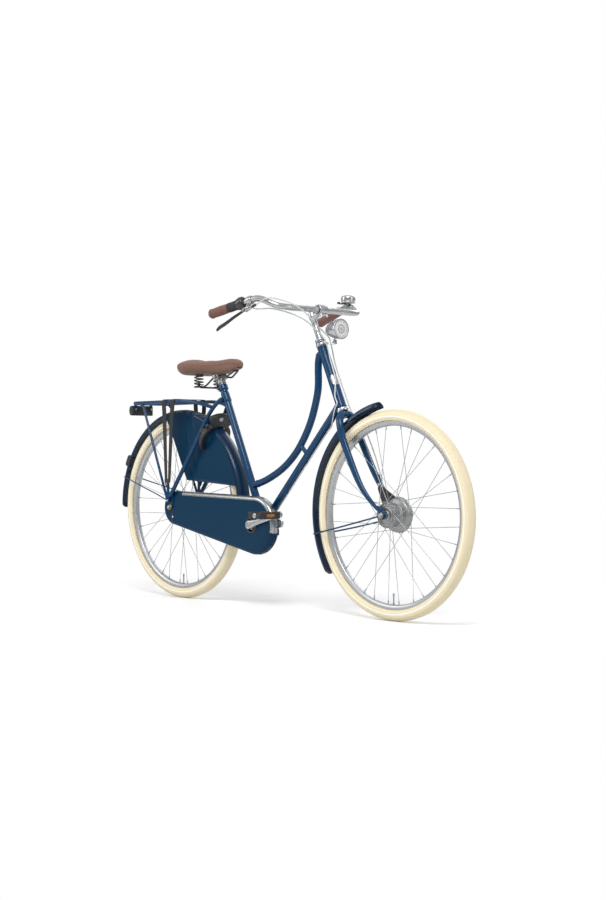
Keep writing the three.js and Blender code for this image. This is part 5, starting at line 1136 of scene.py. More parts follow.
def saddle_skin():
    """The cover: at each station the section is a superellipse of the saddle's half
    width and height there, with a shallow channel along the middle of the top and the
    two rear lobes raised on either side of it."""
    fine = spline(SADDLE_SHARES, 90)
    turn = 2 * np.pi * (np.arange(72) + 0.5) / 72
    swing, rise = np.cos(turn), np.sin(turn)
    along, wide, top, low = fine.T
    y = np.sign(swing) * np.abs(swing) ** np.where(rise < 0, 0.3, 0.7) * wide[:, None] * SADDLE_HALF_WIDTH
    y = y * np.where(rise < 0, 1 + 0.12 * rise, 1)
    shape = (np.sign(rise) * np.abs(rise) ** 0.8 + 1) / 2
    top_z, low_z = SADDLE_BASE + top * SADDLE_RISE, SADDLE_BASE + low * SADDLE_RISE
    z = low_z[:, None] + shape * (top_z - low_z)[:, None]
    lobes = np.exp(-((along - 0.16) / 0.2) ** 2)[:, None]
    share = np.abs(y) / np.maximum(wide[:, None] * SADDLE_HALF_WIDTH, 1)
    channel = np.exp(-(share / 0.22) ** 2) * 3.2 * np.exp(-((along - 0.3) / 0.45) ** 2)[:, None]
    crown = lobes * 5.0 * (np.exp(-((share - 0.45) / 0.3) ** 2) - 1.0)
    z = z + np.where(rise > 0, (crown - channel) * rise, 0)
    x = SADDLE_REAR + along[:, None] * SADDLE_LENGTH + np.zeros_like(y)
    return np.stack([x, y, z], 2)


class CITYBIKE_OT_saddle(bpy.types.Operator):
    """Makes the saddle: cover with its sewn edge, base, coil springs, rails and post."""
    bl_idname = "citybike.saddle"
    bl_label = "Saddle"

    def execute(self, context):
        rings = saddle_skin()
        cover = piece("saddle_padded_cover", skin(rings), "leather", "frame",
                      "saddle_cover", 60)
        hem = np.concatenate([rings[4:-3, 2:3].squeeze(1), rings[4:-3, 33:34].squeeze(1)[::-1]])
        hem = hem + [0, 0, -1.0]
        outward_y = np.sign(hem[:, 1:2]) * [[0, 1, 0]]
        seam = tube(spline(hem + outward_y * 0.6, 260), 0.75, 8, closed=False, up=(0, 0, 1))
        piece("saddle_seam_thread", seam, "grip", "frame", (), 60)
        base = rings[3:-2].copy()
        middle = base.mean(1, keepdims=True)
        base = middle + (base - middle) * [0.92, 0.84, 0.4]
        base[..., 2] -= 10 - 2 * (base[..., 0] - SADDLE_REAR) / SADDLE_LENGTH
        piece("saddle_base_shell", skin(base), "black", "frame", (), 50)

        wires = []
        for side in (-1, 1):
            path = [(319.8, side * 9, 873.9), (298, side * 12, 862), (272.2, side * 18, 852),
                    (on_seat(855)[0], side * 22, 855), (203, side * 26, 842), (186, side * 33, 825),
                    (172, side * 42, 815)]
            wires.append(tube(spline(path, 60), 3.5, 16, domed=True))
            wires.append(turned([[0, 0], [19.5, 0], [19.5, 3], [15, 6.5], [0, 6.5]], 1.0,
                                (SPRING_FORWARD, side * SPRING_OUT, 815), (0, 0, 1), 40))
            wires.append(turned(oblong(0, 0, 18, 3), 0.8, (SPRING_FORWARD, side * SPRING_OUT, 862.6),
                                (0, 0, 1), 40))
            wires.append(rod((SPRING_FORWARD, side * SPRING_OUT, 821),
                             (SPRING_FORWARD, side * SPRING_OUT, 834), 5, 20))
        wires.append(crossbar((319.8, 0, 873.9), 9, 3.8, 18))
        wires.append(crossbar((172, 0, 815), 52, 3.4, 18))
        piece("saddle_rails", wires, "black_steel", "frame", "saddle_frame")
        up = unit(on_seat(860) - on_seat(820))
        clamp = [hollow(oblong(12.8, 0, 17, 27), 1.5, on_seat(828), up, 40),
                 crossbar(on_seat(855), 30, 4, 20),
                 hexagon(on_seat(855) + [0, 28.5, 0], (0, 1, 0), 13, 6),
                 hexagon(on_seat(855) - [0, 28.5, 0], (0, -1, 0), 13, 6)]
        for side in (-1, 1):
            clamp.append(hollow([[4, 0], [13, 0], [14, 2], [14, 7], [12, 9], [4, 9]], 0.8,
                                on_seat(855) + [0, side * 16, 0], (0, side, 0), 36))
        piece("saddle_clamp", clamp, "zinc", "frame", ())
        for side, hand in HANDS:
            t = np.linspace(0, 1, 260)
            flat = np.clip(np.minimum(t, 1 - t) / 0.12, 0, 1)
            lift = np.cumsum(0.12 + 0.88 * flat)
            lift = 825.4 + (861.2 - 825.4) * (lift - lift[0]) / (lift[-1] - lift[0])
            turn = 2 * np.pi * 3.5 * t
            coil = np.stack([SPRING_FORWARD + 16.5 * np.cos(turn), side * SPRING_OUT + 16.5 * np.sin(turn),
                             lift], 1)
            piece(f"saddle_coil_{hand}", tube(coil, 2.4, 12, domed=True), "black_steel", "frame",
                  f"saddle_spring_{hand}", 60)
        post = [[0, 0], [12.5, 0], [12.5, 190], [11.5, 196], [11.5, 204], [0, 204]]
        low = on_seat(670)
        piece("seat_post_tube", turned(post, 1.0, low, up, 44), "alloy", "frame",
              "seat_post")
        return {"FINISHED"}


# Carrier and what it holds

def rail_points(side):
    """Places on one side of the carrier's rail, from its nose to its rear."""
    return [(220, side * 42, 741), (200, side * 52, 747.5), (153, side * 64, 758.5),
            (92, side * 70, CARRIER_HEIGHT), (0, side * 70, CARRIER_HEIGHT),
            (-121, side * 70, CARRIER_HEIGHT), (-208, side * 70, CARRIER_HEIGHT),
            (-234, side * 62, CARRIER_HEIGHT), (-242, side * 44, CARRIER_HEIGHT)]


class CITYBIKE_OT_carrier(bpy.types.Operator):
    """Makes the rear carrier: one bent rail, cross bars, struts and strap anchors."""
    bl_idname = "citybike.carrier"
    bl_label = "Rear Carrier"

    def execute(self, context):
        rail = spline(rail_points(-1) + rail_points(1)[::-1], 240)
        skins = [tube(rail, size("carrier_rail"), 22, domed=True)]
        for x in (-165, -80, 5, 90):
            skins.append(block((x, 0, CARRIER_HEIGHT), (9, 139, 6), 1.2))
        bolts = []
        for side in (-1, 1):
            skins.append(rod((-174, side * 70, CARRIER_HEIGHT), (-4, side * 78.2, 386.5), 5, 22))
            plate = softened([[-7, 374], [7, 374], [8, 388], [7, 450], [-7, 450], [-8, 388]], 5)
            skins.append(slab(plate, side * 74.2, side * 78.6, 0.8))
            skins.append(slab(softened([[-232, 756], [-188, 756], [-178, 746], [-171, 752], [-160, 764],
                                        [-232, 764]], 4), side * 68, side * 71, 0.8))
            skins.append(block((-252, side * 38, 760), (26, 12, 3.4), 0.8))
            skins.append(block((-263, side * 38, 749), (3.2, 12, 24), 0.8))
            bolts.append(hexagon((0, side * 79, 445), (0, side, 0), 8, 4))
        piece("carrier_tubes", skins, "enamel", "frame", "carrier")
        return {"FINISHED"}


class CITYBIKE_OT_straps(bpy.types.Operator):
    """Makes the elastic luggage straps and their hooks."""
    bl_idname = "citybike.straps"
    bl_label = "Luggage Straps"

    def execute(self, context):
        skins = []
        for x, foot in ((-23, -8.0), (31, 10.8)):
            path = []
            for side in (-1, 1):
                fall = [(foot, side * 79.6, 452), (foot + (x - foot) * 0.33, side * 79.4, 560),
                        (foot + (x - foot) * 0.8, side * 79, 712), (x, side * 78.6, 756),
                        (x, side * 77.8, 768), (x, side * 74, 773.2), (x, side * 66, 773.8)]
                path.append(np.array(fall) if side < 0 else np.array(fall)[::-1])
            middle = np.array([(x, -30, 773.6), (x, 0, 773.4), (x, 30, 773.6)])
            run = spline(np.vstack([path[0], middle, path[1]]), 170)
            flat = softened(oblong(-1, -1.1, 1, 1.1), 0.06, steps=4)
            broad = np.interp(run[:, 2], [447, 470, 740], [6.4, 7.4, 12.0])
            tangent = unit_rows(np.gradient(run, axis=0))
            side_way = unit_rows(np.array([1.0, 0, 0]) - tangent * tangent[:, :1])
            lift = np.cross(tangent, side_way)
            skins.append(carried(run, side_way, lift, broad[:, None] * flat[:, 0], flat[None, :, 1]))
        piece("luggage_straps", skins, "webbing", "frame", "carrier_straps", 60)
        hooks, bolts = [], []
        for side in (-1, 1):
            shape = softened([[-16, 466], [18, 466], [16, 452], [9, 438], [4, 433], [-4, 433], [-9, 438],
                              [-15, 452]], 5)
            hooks.append(slab(shape, side * 79.0, side * 83.0, 1.2))
            bolts.append(rod((0, side * 83, 446), (0, side * 85.4, 446), 4, 20))
        piece("strap_hooks", hooks, "black", "frame", ())
        piece("strap_hook_bolts", bolts, "zinc", "frame", ())
        return {"FINISHED"}


class CITYBIKE_OT_rear_lights(bpy.types.Operator):
    """Makes the rear light box on the carrier and the reflector on the mudguard."""
    bl_idname = "citybike.rear_lights"
    bl_label = "Rear Light and Reflector"

    def execute(self, context):
        outline = softened([[-290, 724], [-292.8, 737], [-290, 750], [-285, 756], [-268, 757.5],
                            [-265.3, 754],
                            [-265.3, 720], [-268, 717], [-285, 718]], 3)
        body = slab(outline, -51.5, 51.5, 3.2)
        piece("rear_light_box", body, "black", "frame", "rear_light")
        face = softened(oblong(-45, -14, 45, 14), 6)
        basis = [[0, 1, 0], [-1, 0, 0], [0, 0, 1]]
        piece("rear_light_lens", slab(face, 0, 3.0, 0.8, basis, (-289.6, 0, 737)), "red", "frame",
              ())
        bolts = [rod((-265.6, side * 38, 743), (-259.5, side * 38, 743), 4.4, 20) for side in (-1, 1)]
        piece("rear_light_bolts", bolts, "zinc", "frame", ())

        turn = math.radians(152.4)
        out = np.array([math.cos(turn), 0, math.sin(turn)])
        down = np.array([-math.sin(turn), 0, math.cos(turn)])
        middle = np.array([0, 0, AXLE_HEIGHT]) + out * 381
        basis = [out, [0, 1, 0], -down]
        shape = softened([[-6, -22], [9, -25], [16.5, -21], [17.4, -15], [17.4, 15], [16.5, 21], [9, 25],
                          [-6, 22]], 5)
        piece("tail_reflector_housing", slab(shape, -20.5, 20.5, 4, basis, middle), "black", "frame",
              "tail_reflector")
        face = softened(oblong(-17, -19, 17, 19), 6)
        basis = [[0, 1, 0], out, -down]
        piece("tail_reflector_lens", slab(face, 0, 2.0, 0.6, basis, middle + out * 16.4), "red",
              "frame", ())
        return {"FINISHED"}


# The radius at which the coat guards hang from the mudguard
GUARD_EDGE = 366


class CITYBIKE_OT_coat_guards(bpy.types.Operator):
    """Makes the two coat guards: cloth hung from the mudguard's edge and pleated."""
    bl_idname = "citybike.coat_guards"
    bl_label = "Coat Guards"

    def execute(self, context):
        for side, hand in HANDS:
            t = np.linspace(0, 1, 150)[:, None]
            s = np.linspace(0, 1, 70)[None, :]
            turn = np.radians(102 + (16.5 - 102) * t)
            top_x, top_z = GUARD_EDGE * np.cos(turn), AXLE_HEIGHT + GUARD_EDGE * np.sin(turn)
            low_x, low_z = 74 + (354 - 74) * t, 463 + (443 - 463) * t
            x = top_x + (low_x - top_x) * s
            z = top_z + (low_z - top_z) * s
            depth = np.maximum(GUARD_EDGE - np.hypot(x, z - AXLE_HEIGHT), 0)
            y = 30.7 + 12 * (depth / 236) ** 1.5
            pleat = sum(high * np.exp(-((x + (z - 463) * lean - at) / 3.2) ** 2)
                        for high, at, lean in ((2.2, 96, 0.13), (2.2, 117, 0.08), (1.6, 140, 0.02)))
            y = y + (pleat * np.clip(s * 6, 0, 1) + 1.0 * np.exp(-((s - 1) / 0.02) ** 2))
            grid = np.stack([x, side * y, z], 2)
            tip = LOCK_MIDDLE - LOCK_UP * 50
            i, j = np.unravel_index(np.argmin(np.hypot(x - tip[0], z - tip[2])), x.shape)
            cloth = sheet_with_window(grid, 1.1, (i - 3, i + 3, j - 5, j + 5))
            piece(f"coat_guard_cloth_{hand}", cloth, "cloth", "frame",
                  f"coat_guard_{hand}", 60)
            edge = np.vstack([grid[::6, -1], grid[-1, ::-6][1:]])
            piece(f"coat_guard_hem_{hand}", tube(spline(edge, 200), 1.5, 10, up=(0, 1, 0)), "cloth",
                  "frame", (), 60)
        return {"FINISHED"}


# Ring lock

LOCK_REACH, LOCK_TURN, LOCK_LEAN = 330, math.radians(54.5), math.radians(58)
LOCK_MIDDLE = np.array([LOCK_REACH * math.cos(LOCK_TURN), 0, AXLE_HEIGHT + LOCK_REACH
                        * math.sin(LOCK_TURN)])
LOCK_UP = np.array([math.cos(LOCK_LEAN), 0, math.sin(LOCK_LEAN)])
LOCK_OUT = np.array([-math.sin(LOCK_LEAN), 0, math.cos(LOCK_LEAN)])


def ring_arc(start, end, section, steps=60):
    """A section of radii and depths carried round the lock's own axis from one angle to
    another, in degrees from its right side."""
    turn = np.radians(np.linspace(start, end, steps))
    section = np.asarray(section, float)
    spoke = np.cos(turn)[:, None] * [0, -1, 0] + np.sin(turn)[:, None] * LOCK_UP
    rings = LOCK_MIDDLE + section[None, :, :1] * spoke[:, None] + section[None, :, 1:] * LOCK_OUT
    return skin(rings)


class CITYBIKE_OT_lock(bpy.types.Operator):
    """Makes the ring lock: horseshoe housing, key cylinder, sliding bolt and lever."""
    bl_idname = "citybike.lock"
    bl_label = "Ring Lock"

    def execute(self, context):
        band = softened([[52, -8], [54, -10], [66, -10], [68, -8], [68, 8], [66, 10], [54, 10], [52, 8]],
                        1.6)
        angles = np.linspace(-55, 235, 120)
        turn = np.radians(angles)
        spoke = np.cos(turn)[:, None] * [0, -1, 0] + np.sin(turn)[:, None] * LOCK_UP
        thin = 1 - 0.16 * np.clip((np.abs(angles - 90) - 60) / 85, 0, 1)
        radii = 60 + (band[None, :, 0] - 60) * thin[:, None]
        depth = band[None, :, 1] * thin[:, None]
        arms = skin(LOCK_MIDDLE + radii[..., None] * spoke[:, None] + depth[..., None] * LOCK_OUT)
        body = ring_arc(56, 124, softened([[53, -10], [56, -11.6], [100, -11], [107, -7], [107, 7],
                                           [100, 11],
                                           [56, 11.6], [53, 10]], 3.5), 50)
        skins = [arms, body]
        for degrees in (22, 158):
            place = LOCK_MIDDLE + 60 * (math.cos(math.radians(degrees)) * np.array([0, -1, 0])
                                        + math.sin(math.radians(degrees)) * LOCK_UP) + LOCK_OUT * 15
            skins.append(block(place, (24, 14, 12), 2.0, math.radians(58 - 90)))
        piece("ring_lock_housing", skins, "black", "frame", "ring_lock")
        key = LOCK_MIDDLE + LOCK_UP * 88 - LOCK_OUT * 11
        cylinder = [turned([[0, 0], [9, 0], [9, 2.5], [7, 3.4], [0, 3.4]], 0.6, key + np.array([0, -14, 0]),
                           -LOCK_OUT, 36)]
        piece("ring_lock_cylinder", cylinder, "zinc", "frame", ())
        round_bar = circle(4.2, 16) + [60, 0]
        bolt = [ring_arc(-58, 78, round_bar, 60)]
        piece("ring_lock_bar", bolt, "zinc", "lock_bolt", "lock_bolt", 60)
        knob = [ring_arc(36.5, 43.5, softened([[69, -6], [84, -6.5], [84, 6.5], [69, 6]], 2.2), 12)]
        piece("ring_lock_lever", knob, "black", "lock_bolt", ())
        return {"FINISHED"}


# Drive

CASE_REAR, CASE_FRONT = np.array([20.0, 353.0]), np.array([494.0, 300.0])
CASE_REAR_RADIUS, CASE_FRONT_RADIUS = 65, 106


def belt(rear_radius, front_radius, count):
    """The outline of a belt round two circles: an arc on each, joined by the two lines
    that touch both, sampled evenly along its length."""
    run = CASE_FRONT - CASE_REAR
    heading = math.atan2(run[1], run[0])
    lean = math.acos((rear_radius - front_radius) / np.linalg.norm(run))
    ahead = heading + np.linspace(-lean, lean, 90)
    behind = heading + np.linspace(lean, 2 * math.pi - lean, 60)
    places = np.vstack([
        CASE_FRONT + front_radius * np.stack([np.cos(ahead), np.sin(ahead)], 1),
        CASE_REAR + rear_radius * np.stack([np.cos(behind), np.sin(behind)], 1)])
    return resampled(np.vstack([places, places[:1]]), count, last=False)


class CITYBIKE_OT_chain_case(bpy.types.Operator):
    """Makes the chain case: coated cloth over a wire frame, with its bright trim.
    Its shell is a stack of belt outlines, each drawn in or moved across by a rounded
    corner, ending in the round crank hole."""
    bl_idname = "citybike.chain_case"
    bl_label = "Chain Case"

    def execute(self, context):
        count, corner_radius = 260, 11
        crank = np.array(BOTTOM_BRACKET)
        outer = belt(CASE_REAR_RADIUS, CASE_FRONT_RADIUS, count)
        away = outer - crank
        hole = crank + 27 * away / np.linalg.norm(away, axis=1, keepdims=True)

        def level(shrink, y):
            """The case's outline drawn in, at one offset across."""
            ring = belt(CASE_REAR_RADIUS - shrink, CASE_FRONT_RADIUS - shrink, count)
            return np.column_stack([ring[:, 0], np.full(count, y), ring[:, 1]])

        def hole_at(y):
            """The crank hole's ring at one offset across."""
            return np.column_stack([hole[:, 0], np.full(count, y), hole[:, 1]])

        flange = [level(26, -36), level(25.4, -34.9), level(14, -34.3), level(3, -34.3), level(0.8, -35.1)]
        corner = [level(corner_radius * (1 - math.cos(a)), -53 - corner_radius * math.sin(a))
                  for a in np.linspace(0, math.pi / 2, 10)]
        flat = [level(corner_radius, -64.0) * (1 - share) + hole_at(-64.0) * share
                for share in np.linspace(0, 1, 14)[1:]]
        shell = skin(np.stack(flange + [level(0, -37)] + corner + flat + [hole_at(-60.0)]), caps=False)
        piece("chain_case_cloth", shell, "cloth", "frame", "chain_case", 50)

        bends = np.linspace(0, np.pi / 2, 8)
        section = [(-0.9, -42.0)] + [(11 - 11.9 * math.cos(a), -53 - 11.9 * math.sin(a)) for a in bends]
        section += [(14.5, -64.9), (14.5, -64.0)] + [(11 - 11 * math.cos(a),
            -53 - 11 * math.sin(a)) for a in bends[::-1]] + [(0, -42.0)]
        rings = []
        for shrink, y in section:
            ring = belt(CASE_REAR_RADIUS - shrink, CASE_FRONT_RADIUS - shrink, 1200)
            turn = np.degrees(np.arctan2(ring[:, 1] - CASE_FRONT[1], ring[:, 0] - CASE_FRONT[0]))
            top = ring[(ring[:, 1] > 370) & (ring[:, 0] > 72) & (ring[:, 0] < CASE_FRONT[0])]
            nose = ring[(turn > -14) & (turn < 88) & (ring[:, 0] > CASE_FRONT[0])]
            way = np.vstack([top[np.argsort(top[:, 0])], nose[np.argsort(-nose[:, 1])]])
            even = resampled(way, 200)
            rings.append(np.stack([even[:, 0], np.full(200, y), even[:, 1]], 1))
        piece("chain_case_trim", skin(np.stack(rings, 1)), "trim", "frame", (), 50)

        run = belt(CASE_REAR_RADIUS, CASE_FRONT_RADIUS, 900)
        low = run[(run[:, 1] < 300) & (run[:, 0] > 60)]
        low = low[np.argsort(low[:, 0])]
        laces = [block((p[0], -47, p[1] + 0.6), (7, 9, 3.4), 1.2) for p in low[12::22]]
        piece("chain_case_laces", laces, "cloth", "frame", ())
        clips = [block((12, -64.6, z), (10, 2.0, 7), 0.8) for z in (393, 374, 330, 306)]
        piece("chain_case_clips", clips, "gloss_black", "frame", ())
        rise = np.linspace(0, 1, 30)
        seam = np.column_stack([8 + 4 * np.sin(3 * rise), np.full(30, -64.2), 296 + 112 * rise])
        piece("chain_case_cap_seam", tube(seam, 0.9, 8, up=(0, 1, 0)), "gloss_black", "frame", (),
              60)
        stud = [[0, 0], [4.6, 0], [4.6, 1.2], [3, 2.6], [0, 3]]
        piece("chain_case_stud", turned(stud, 0.5, (13, -64, 318), (0, -1, 0), 28), "chrome",
              "frame", ())
        ring = hollow(oblong(26, 0, 31, 1.6), 0.6, CRANK_MIDDLE - [0, 64.2, 0], (0, -1, 0), 60)
        piece("chain_case_ring", ring, "gloss_black", "frame", ())
        return {"FINISHED"}


CRANK_RISE = math.radians(14)


def crank_end(side):
    """The pedal axle's place on one side: forward and up on the right."""
    arm = np.array([math.cos(CRANK_RISE), 0, math.sin(CRANK_RISE)])
    return CRANK_MIDDLE - side * CRANK_LENGTH * arm


class CITYBIKE_OT_cranks(bpy.types.Operator):
    """Makes the forged cranks, their dust caps and pedal axles."""
    bl_idname = "citybike.cranks"
    bl_label = "Cranks"

    def execute(self, context):
        for side, hand, inner in ((-1, "right", 67), (1, "left", 70)):
            end = crank_end(side)
            start = CRANK_MIDDLE
            along = unit(end - start)
            lift = np.array([-along[2], 0, along[0]])
            shares = np.linspace(0, 1, 50)
            half = np.interp(shares, [0, 0.08, 0.2, 0.5, 0.85, 0.94, 1], [15, 14.5, 11, 9, 8.5, 11.5, 12])
            thick = np.interp(shares, [0, 0.15, 0.5, 1], [6.4, 5.6, 4.6, 5.4])
            turn = turns(28)
            shape = np.stack([np.sign(np.cos(turn)) * np.abs(np.cos(turn)) ** 0.6,
                              np.sign(np.sin(turn)) * np.abs(np.sin(turn)) ** 0.8], 1)
            middle = start + (end - start) * shares[:, None] + [0, side * (inner + 6.5), 0]
            skins = [carried(middle, lift, np.array([0, 1.0, 0]),
                             half[:, None] * shape[:, 0], thick[:, None] * shape[:, 1])]
            boss = [[8.6, 0], [16, 0], [16.2, 3], [15.6, 12], [13, 13.4], [8.6, 13.4]]
            skins.append(hollow(boss, 1.2, start + [0, side * inner, 0], (0, side, 0), 44))
            eye = [[0, 0], [11.5, 0], [12, 2], [12, 11], [11, 13], [0, 13]]
            skins.append(turned(eye, 1.2, end + [0, side * inner, 0], (0, side, 0), 40))
            piece(f"crank_arm_{hand}", skins, "alloy", "crank", f"crank_{hand}")
            cap = [[0, 0], [8.8, 0], [8.8, 1.6], [6, 3], [0, 3.4]]
            extra = [turned(cap, 0.6, start + [0, side * (inner + 11.6), 0], (0, side, 0), 36),
                     rod(end + [0, side * (inner + 12), 0], end + [0, side * 186, 0], 5.6, 24)]
            piece(f"pedal_axle_{hand}", extra, "zinc", "crank", ())
        for node in ("chainring", "rear_sprocket", "bottom_bracket_axle", "chain"):
            refinish(node, "zinc")
        return {"FINISHED"}


class CITYBIKE_OT_pedals(bpy.types.Operator):
    """Makes the pedals: rubber treads, bright end plates and amber reflectors."""
    bl_idname = "citybike.pedals"
    bl_label = "Pedals"

    def execute(self, context):
        for side, hand in HANDS:
            end = crank_end(side)
            body = f"pedal_{hand}"
            black, metal_parts, amber = [], [], []
            for x in (-27, 27):
                bar = softened(oblong(-8, -12.4, 8, 12.4), 3)
                black.append(slab(bar + [end[0] + x, end[2]], side * 99, side * 191, 2.0))
                for z in (-1, 1):
                    for y in np.linspace(106, 184, 9):
                        black.append(block((end[0] + x, side * y, end[2] + z * 11.6), (15, 5, 1.7), 0.6))
                face = np.sign(x)
                turn = turns(40)
                shape = np.stack([20 * np.cos(turn), 6.2 * np.sign(np.sin(turn))
                                  * np.abs(np.sin(turn)) ** 0.8], 1)
                basis = [[0, 1, 0], [face, 0, 0], [0, 0, 1]]
                amber.append(slab(shape, 0, 2.2, 0.7, basis, (end[0] + x + face * 6.2, side * 145, end[2])))
            barrel = [[7, 0], [12, 0], [12.5, 3], [9.5, 10], [9, 40], [9.5, 82], [12, 88], [12, 93],
                      [7, 93]]
            black.append(hollow(barrel, 1.5, end + [0, side * 97.5, 0], (0, side, 0), 36))
            cap = [[0, 0], [9, 0], [9.5, 2], [8, 4], [0, 4.4]]
            metal_parts.append(turned(cap, 0.8, end + [0, side * 189, 0], (0, side, 0), 32))
            cheek = softened(oblong(-31, -9.6, 31, 9.6), 7)
            for y in (97.4, 188.6):
                black.append(slab(cheek + [end[0], end[2]], side * y, side * (y + 3.0), 0.8))
            piece(f"pedal_treads_{hand}", black, "black", body, body)
            piece(f"pedal_cage_{hand}", metal_parts, "alloy", body, ())
            piece(f"pedal_reflectors_{hand}", amber, "amber", body, ())
        return {"FINISHED"}


class CITYBIKE_OT_axles(bpy.types.Operator):
    """Makes both wheel axles with nuts and washers, and the gear cable's pulley."""
    bl_idname = "citybike.axles"
    bl_label = "Axles and Nuts"

    def execute(self, context):
        rear, front = wheel_middle("rear"), wheel_middle("front")
        skins = [crossbar(rear, 75.9, 4.8, 24)]
        for side in (-1, 1):
            skins.append(hexagon(rear + [0, side * 69.8, 0], (0, side, 0), 15, 5.6))
            cap = softened([[0, 0], [6.2, 0], [6.2, 1.6], [4.6, 3.6], [0, 4.6]], 0.6, closed=False)
            skins.append(lathe(cap, rear + [0, side * 75.2, 0], (0, side, 0), 28, closed=False))
        pulley = [[6, 0], [20, 0], [22, 1.2], [20, 3], [22, 5], [20, 6.4], [6, 6.4]]
        skins.append(hollow(pulley, 0.5, rear + [0, -51.3, 0], (0, -1, 0), 48))
        skins.append(hexagon(rear + [0, 36, 0], (0, 1, 0), 15, 21))
        piece("rear_axle_nuts", skins, "zinc", "frame", "rear_axle")
        washer = [hollow(oblong(5.2, 0, 9.6, 1.2), 0.4, rear + [0, side * 68.6, 0], (0, side, 0),
                         32) for side in (-1, 1)]
        piece("rear_axle_washers", washer, "yellow_zinc", "frame", ())
        skins = [crossbar(front, 70, 4.8, 24)]
        for side in (-1, 1):
            skins.append(hexagon(front + [0, side * 60.2, 0], (0, side, 0), 15, 7))
            cap = softened([[0, 0], [6.2, 0], [6.2, 2.4], [4.6, 4.6], [0, 5.4]], 0.6, closed=False)
            skins.append(lathe(cap, front + [0, side * 66.4, 0], (0, side, 0), 28, closed=False))
            skins.append(hollow(oblong(5, 0, 10, 1.4), 0.4, front + [0, side * 58.8, 0], (0, side, 0), 32))
        skins.append(hexagon(front + [0, -40.6, 0], (0, -1, 0), 15, 8))
        piece("front_axle_nuts", skins, "zinc", "steering", "front_axle")
        return {"FINISHED"}


# Front end

BLADE_SHARES = np.array([
    [0.01, 0.11, 0], [0.036, 0.42, 0.017], [0.07, 0.69, 0.064], [0.108, 0.81, 0.13],
    [0.154, 0.84, 0.235], [0.28, 0.875, 0.405], [0.42, 0.902, 0.58], [0.56, 0.93, 0.727],
    [0.7, 0.948, 0.832], [0.83, 0.968, 0.907], [0.955, 1, 0.972]])
BLADE_RADII = [1, 1, 1, 1, 0.97, 0.94, 0.88, 0.78, 0.66, 0.54, 0.42]


class CITYBIKE_OT_fork(bpy.types.Operator):
    """Makes the fork: two tapered oval blades swept from a rounded crown."""
    bl_idname = "citybike.fork"
    bl_label = "Fork"

    def execute(self, context):
        crown = on_head(700)
        skins = []
        for side in (-1, 1):
            path = np.stack([crown[0] + (WHEELBASE - crown[0]) * BLADE_SHARES[:, 0],
                             side * BLADE_SHARES[:, 1] * 52,
                             crown[2] + (AXLE_HEIGHT - crown[2]) * BLADE_SHARES[:, 2]], 1)
            fine = spline(path, 110)
            share = np.linspace(0, 1, 110)
            radius = np.interp(share, np.linspace(0, 1, len(BLADE_RADII)), BLADE_RADII) * size("blade")
            _, lift, across = cross_frame(fine, (0, 1, 0))
            oval = np.interp(share, [0, 0.12, 0.3, 1], [0.95, 0.9, 0.74, 0.72])
            turn = turns(26)
            skins.append(carried(fine, lift, across, radius[:, None] * np.cos(turn),
                                 (radius * oval)[:, None] * np.sin(turn)))
            drop = softened([[1108, 383], [1118, 389], [1146, 369], [1153, 358], [1149, 345], [1139, 340],
                             [1128, 343], [1122, 352]], 5)
            skins.append(slab(drop, side * 49.6, side * 54.4, 0.8))
        collar = [[0, 0], [14, 0], [17, 4], [18.2, 12], [17.4, 17.6], [0, 17.6]]
        skins.append(turned(collar, 2.0, on_head(687.5), HEAD_UP, 48))
        piece("fork_blades", skins, "enamel", "steering", "fork")
        steerer = hollow(oblong(11.4, 0, 12.6, 286), 0.5, on_head(709), HEAD_UP, 40)
        piece("fork_steerer", steerer, "zinc", "steering", ())
        return {"FINISHED"}


class CITYBIKE_OT_drum_brake(bpy.types.Operator):
    """Makes the front drum's brake plate, reaction arm, lever and clip."""
    bl_idname = "citybike.drum_brake"
    bl_label = "Front Drum Brake"

    def execute(self, context):
        front = wheel_middle("front")
        plate = [[6, 33.5], [52, 33.5], [53.5, 35], [53, 39], [38, 41.5], [18, 42.6], [6, 42.6]]
        piece("brake_plate", hollow(plate, 1.5, front, (0, 1, 0), 80), "cast", "steering",
              "front_brake_unit")
        arm = softened([[1030, 456], [1040, 456], [1112, 416], [1125, 395], [1075, 375], [1050, 392],
                        [1030, 440]], 4)
        piece("brake_reaction_arm", slab(arm, 34.8, 39.4, 1.0), "black", "steering", ())
        clip = [block((1033, 40, 455), (14, 9, 10), 2.0, 0.6), rod((1035, 34, 451), (1035, 45, 451), 3, 18),
                rod((1022, 56, 489), (1031, 53, 468), 4.0, 20)]
        piece("brake_cable_adjuster", clip, "zinc", "steering", ())
        return {"FINISHED"}


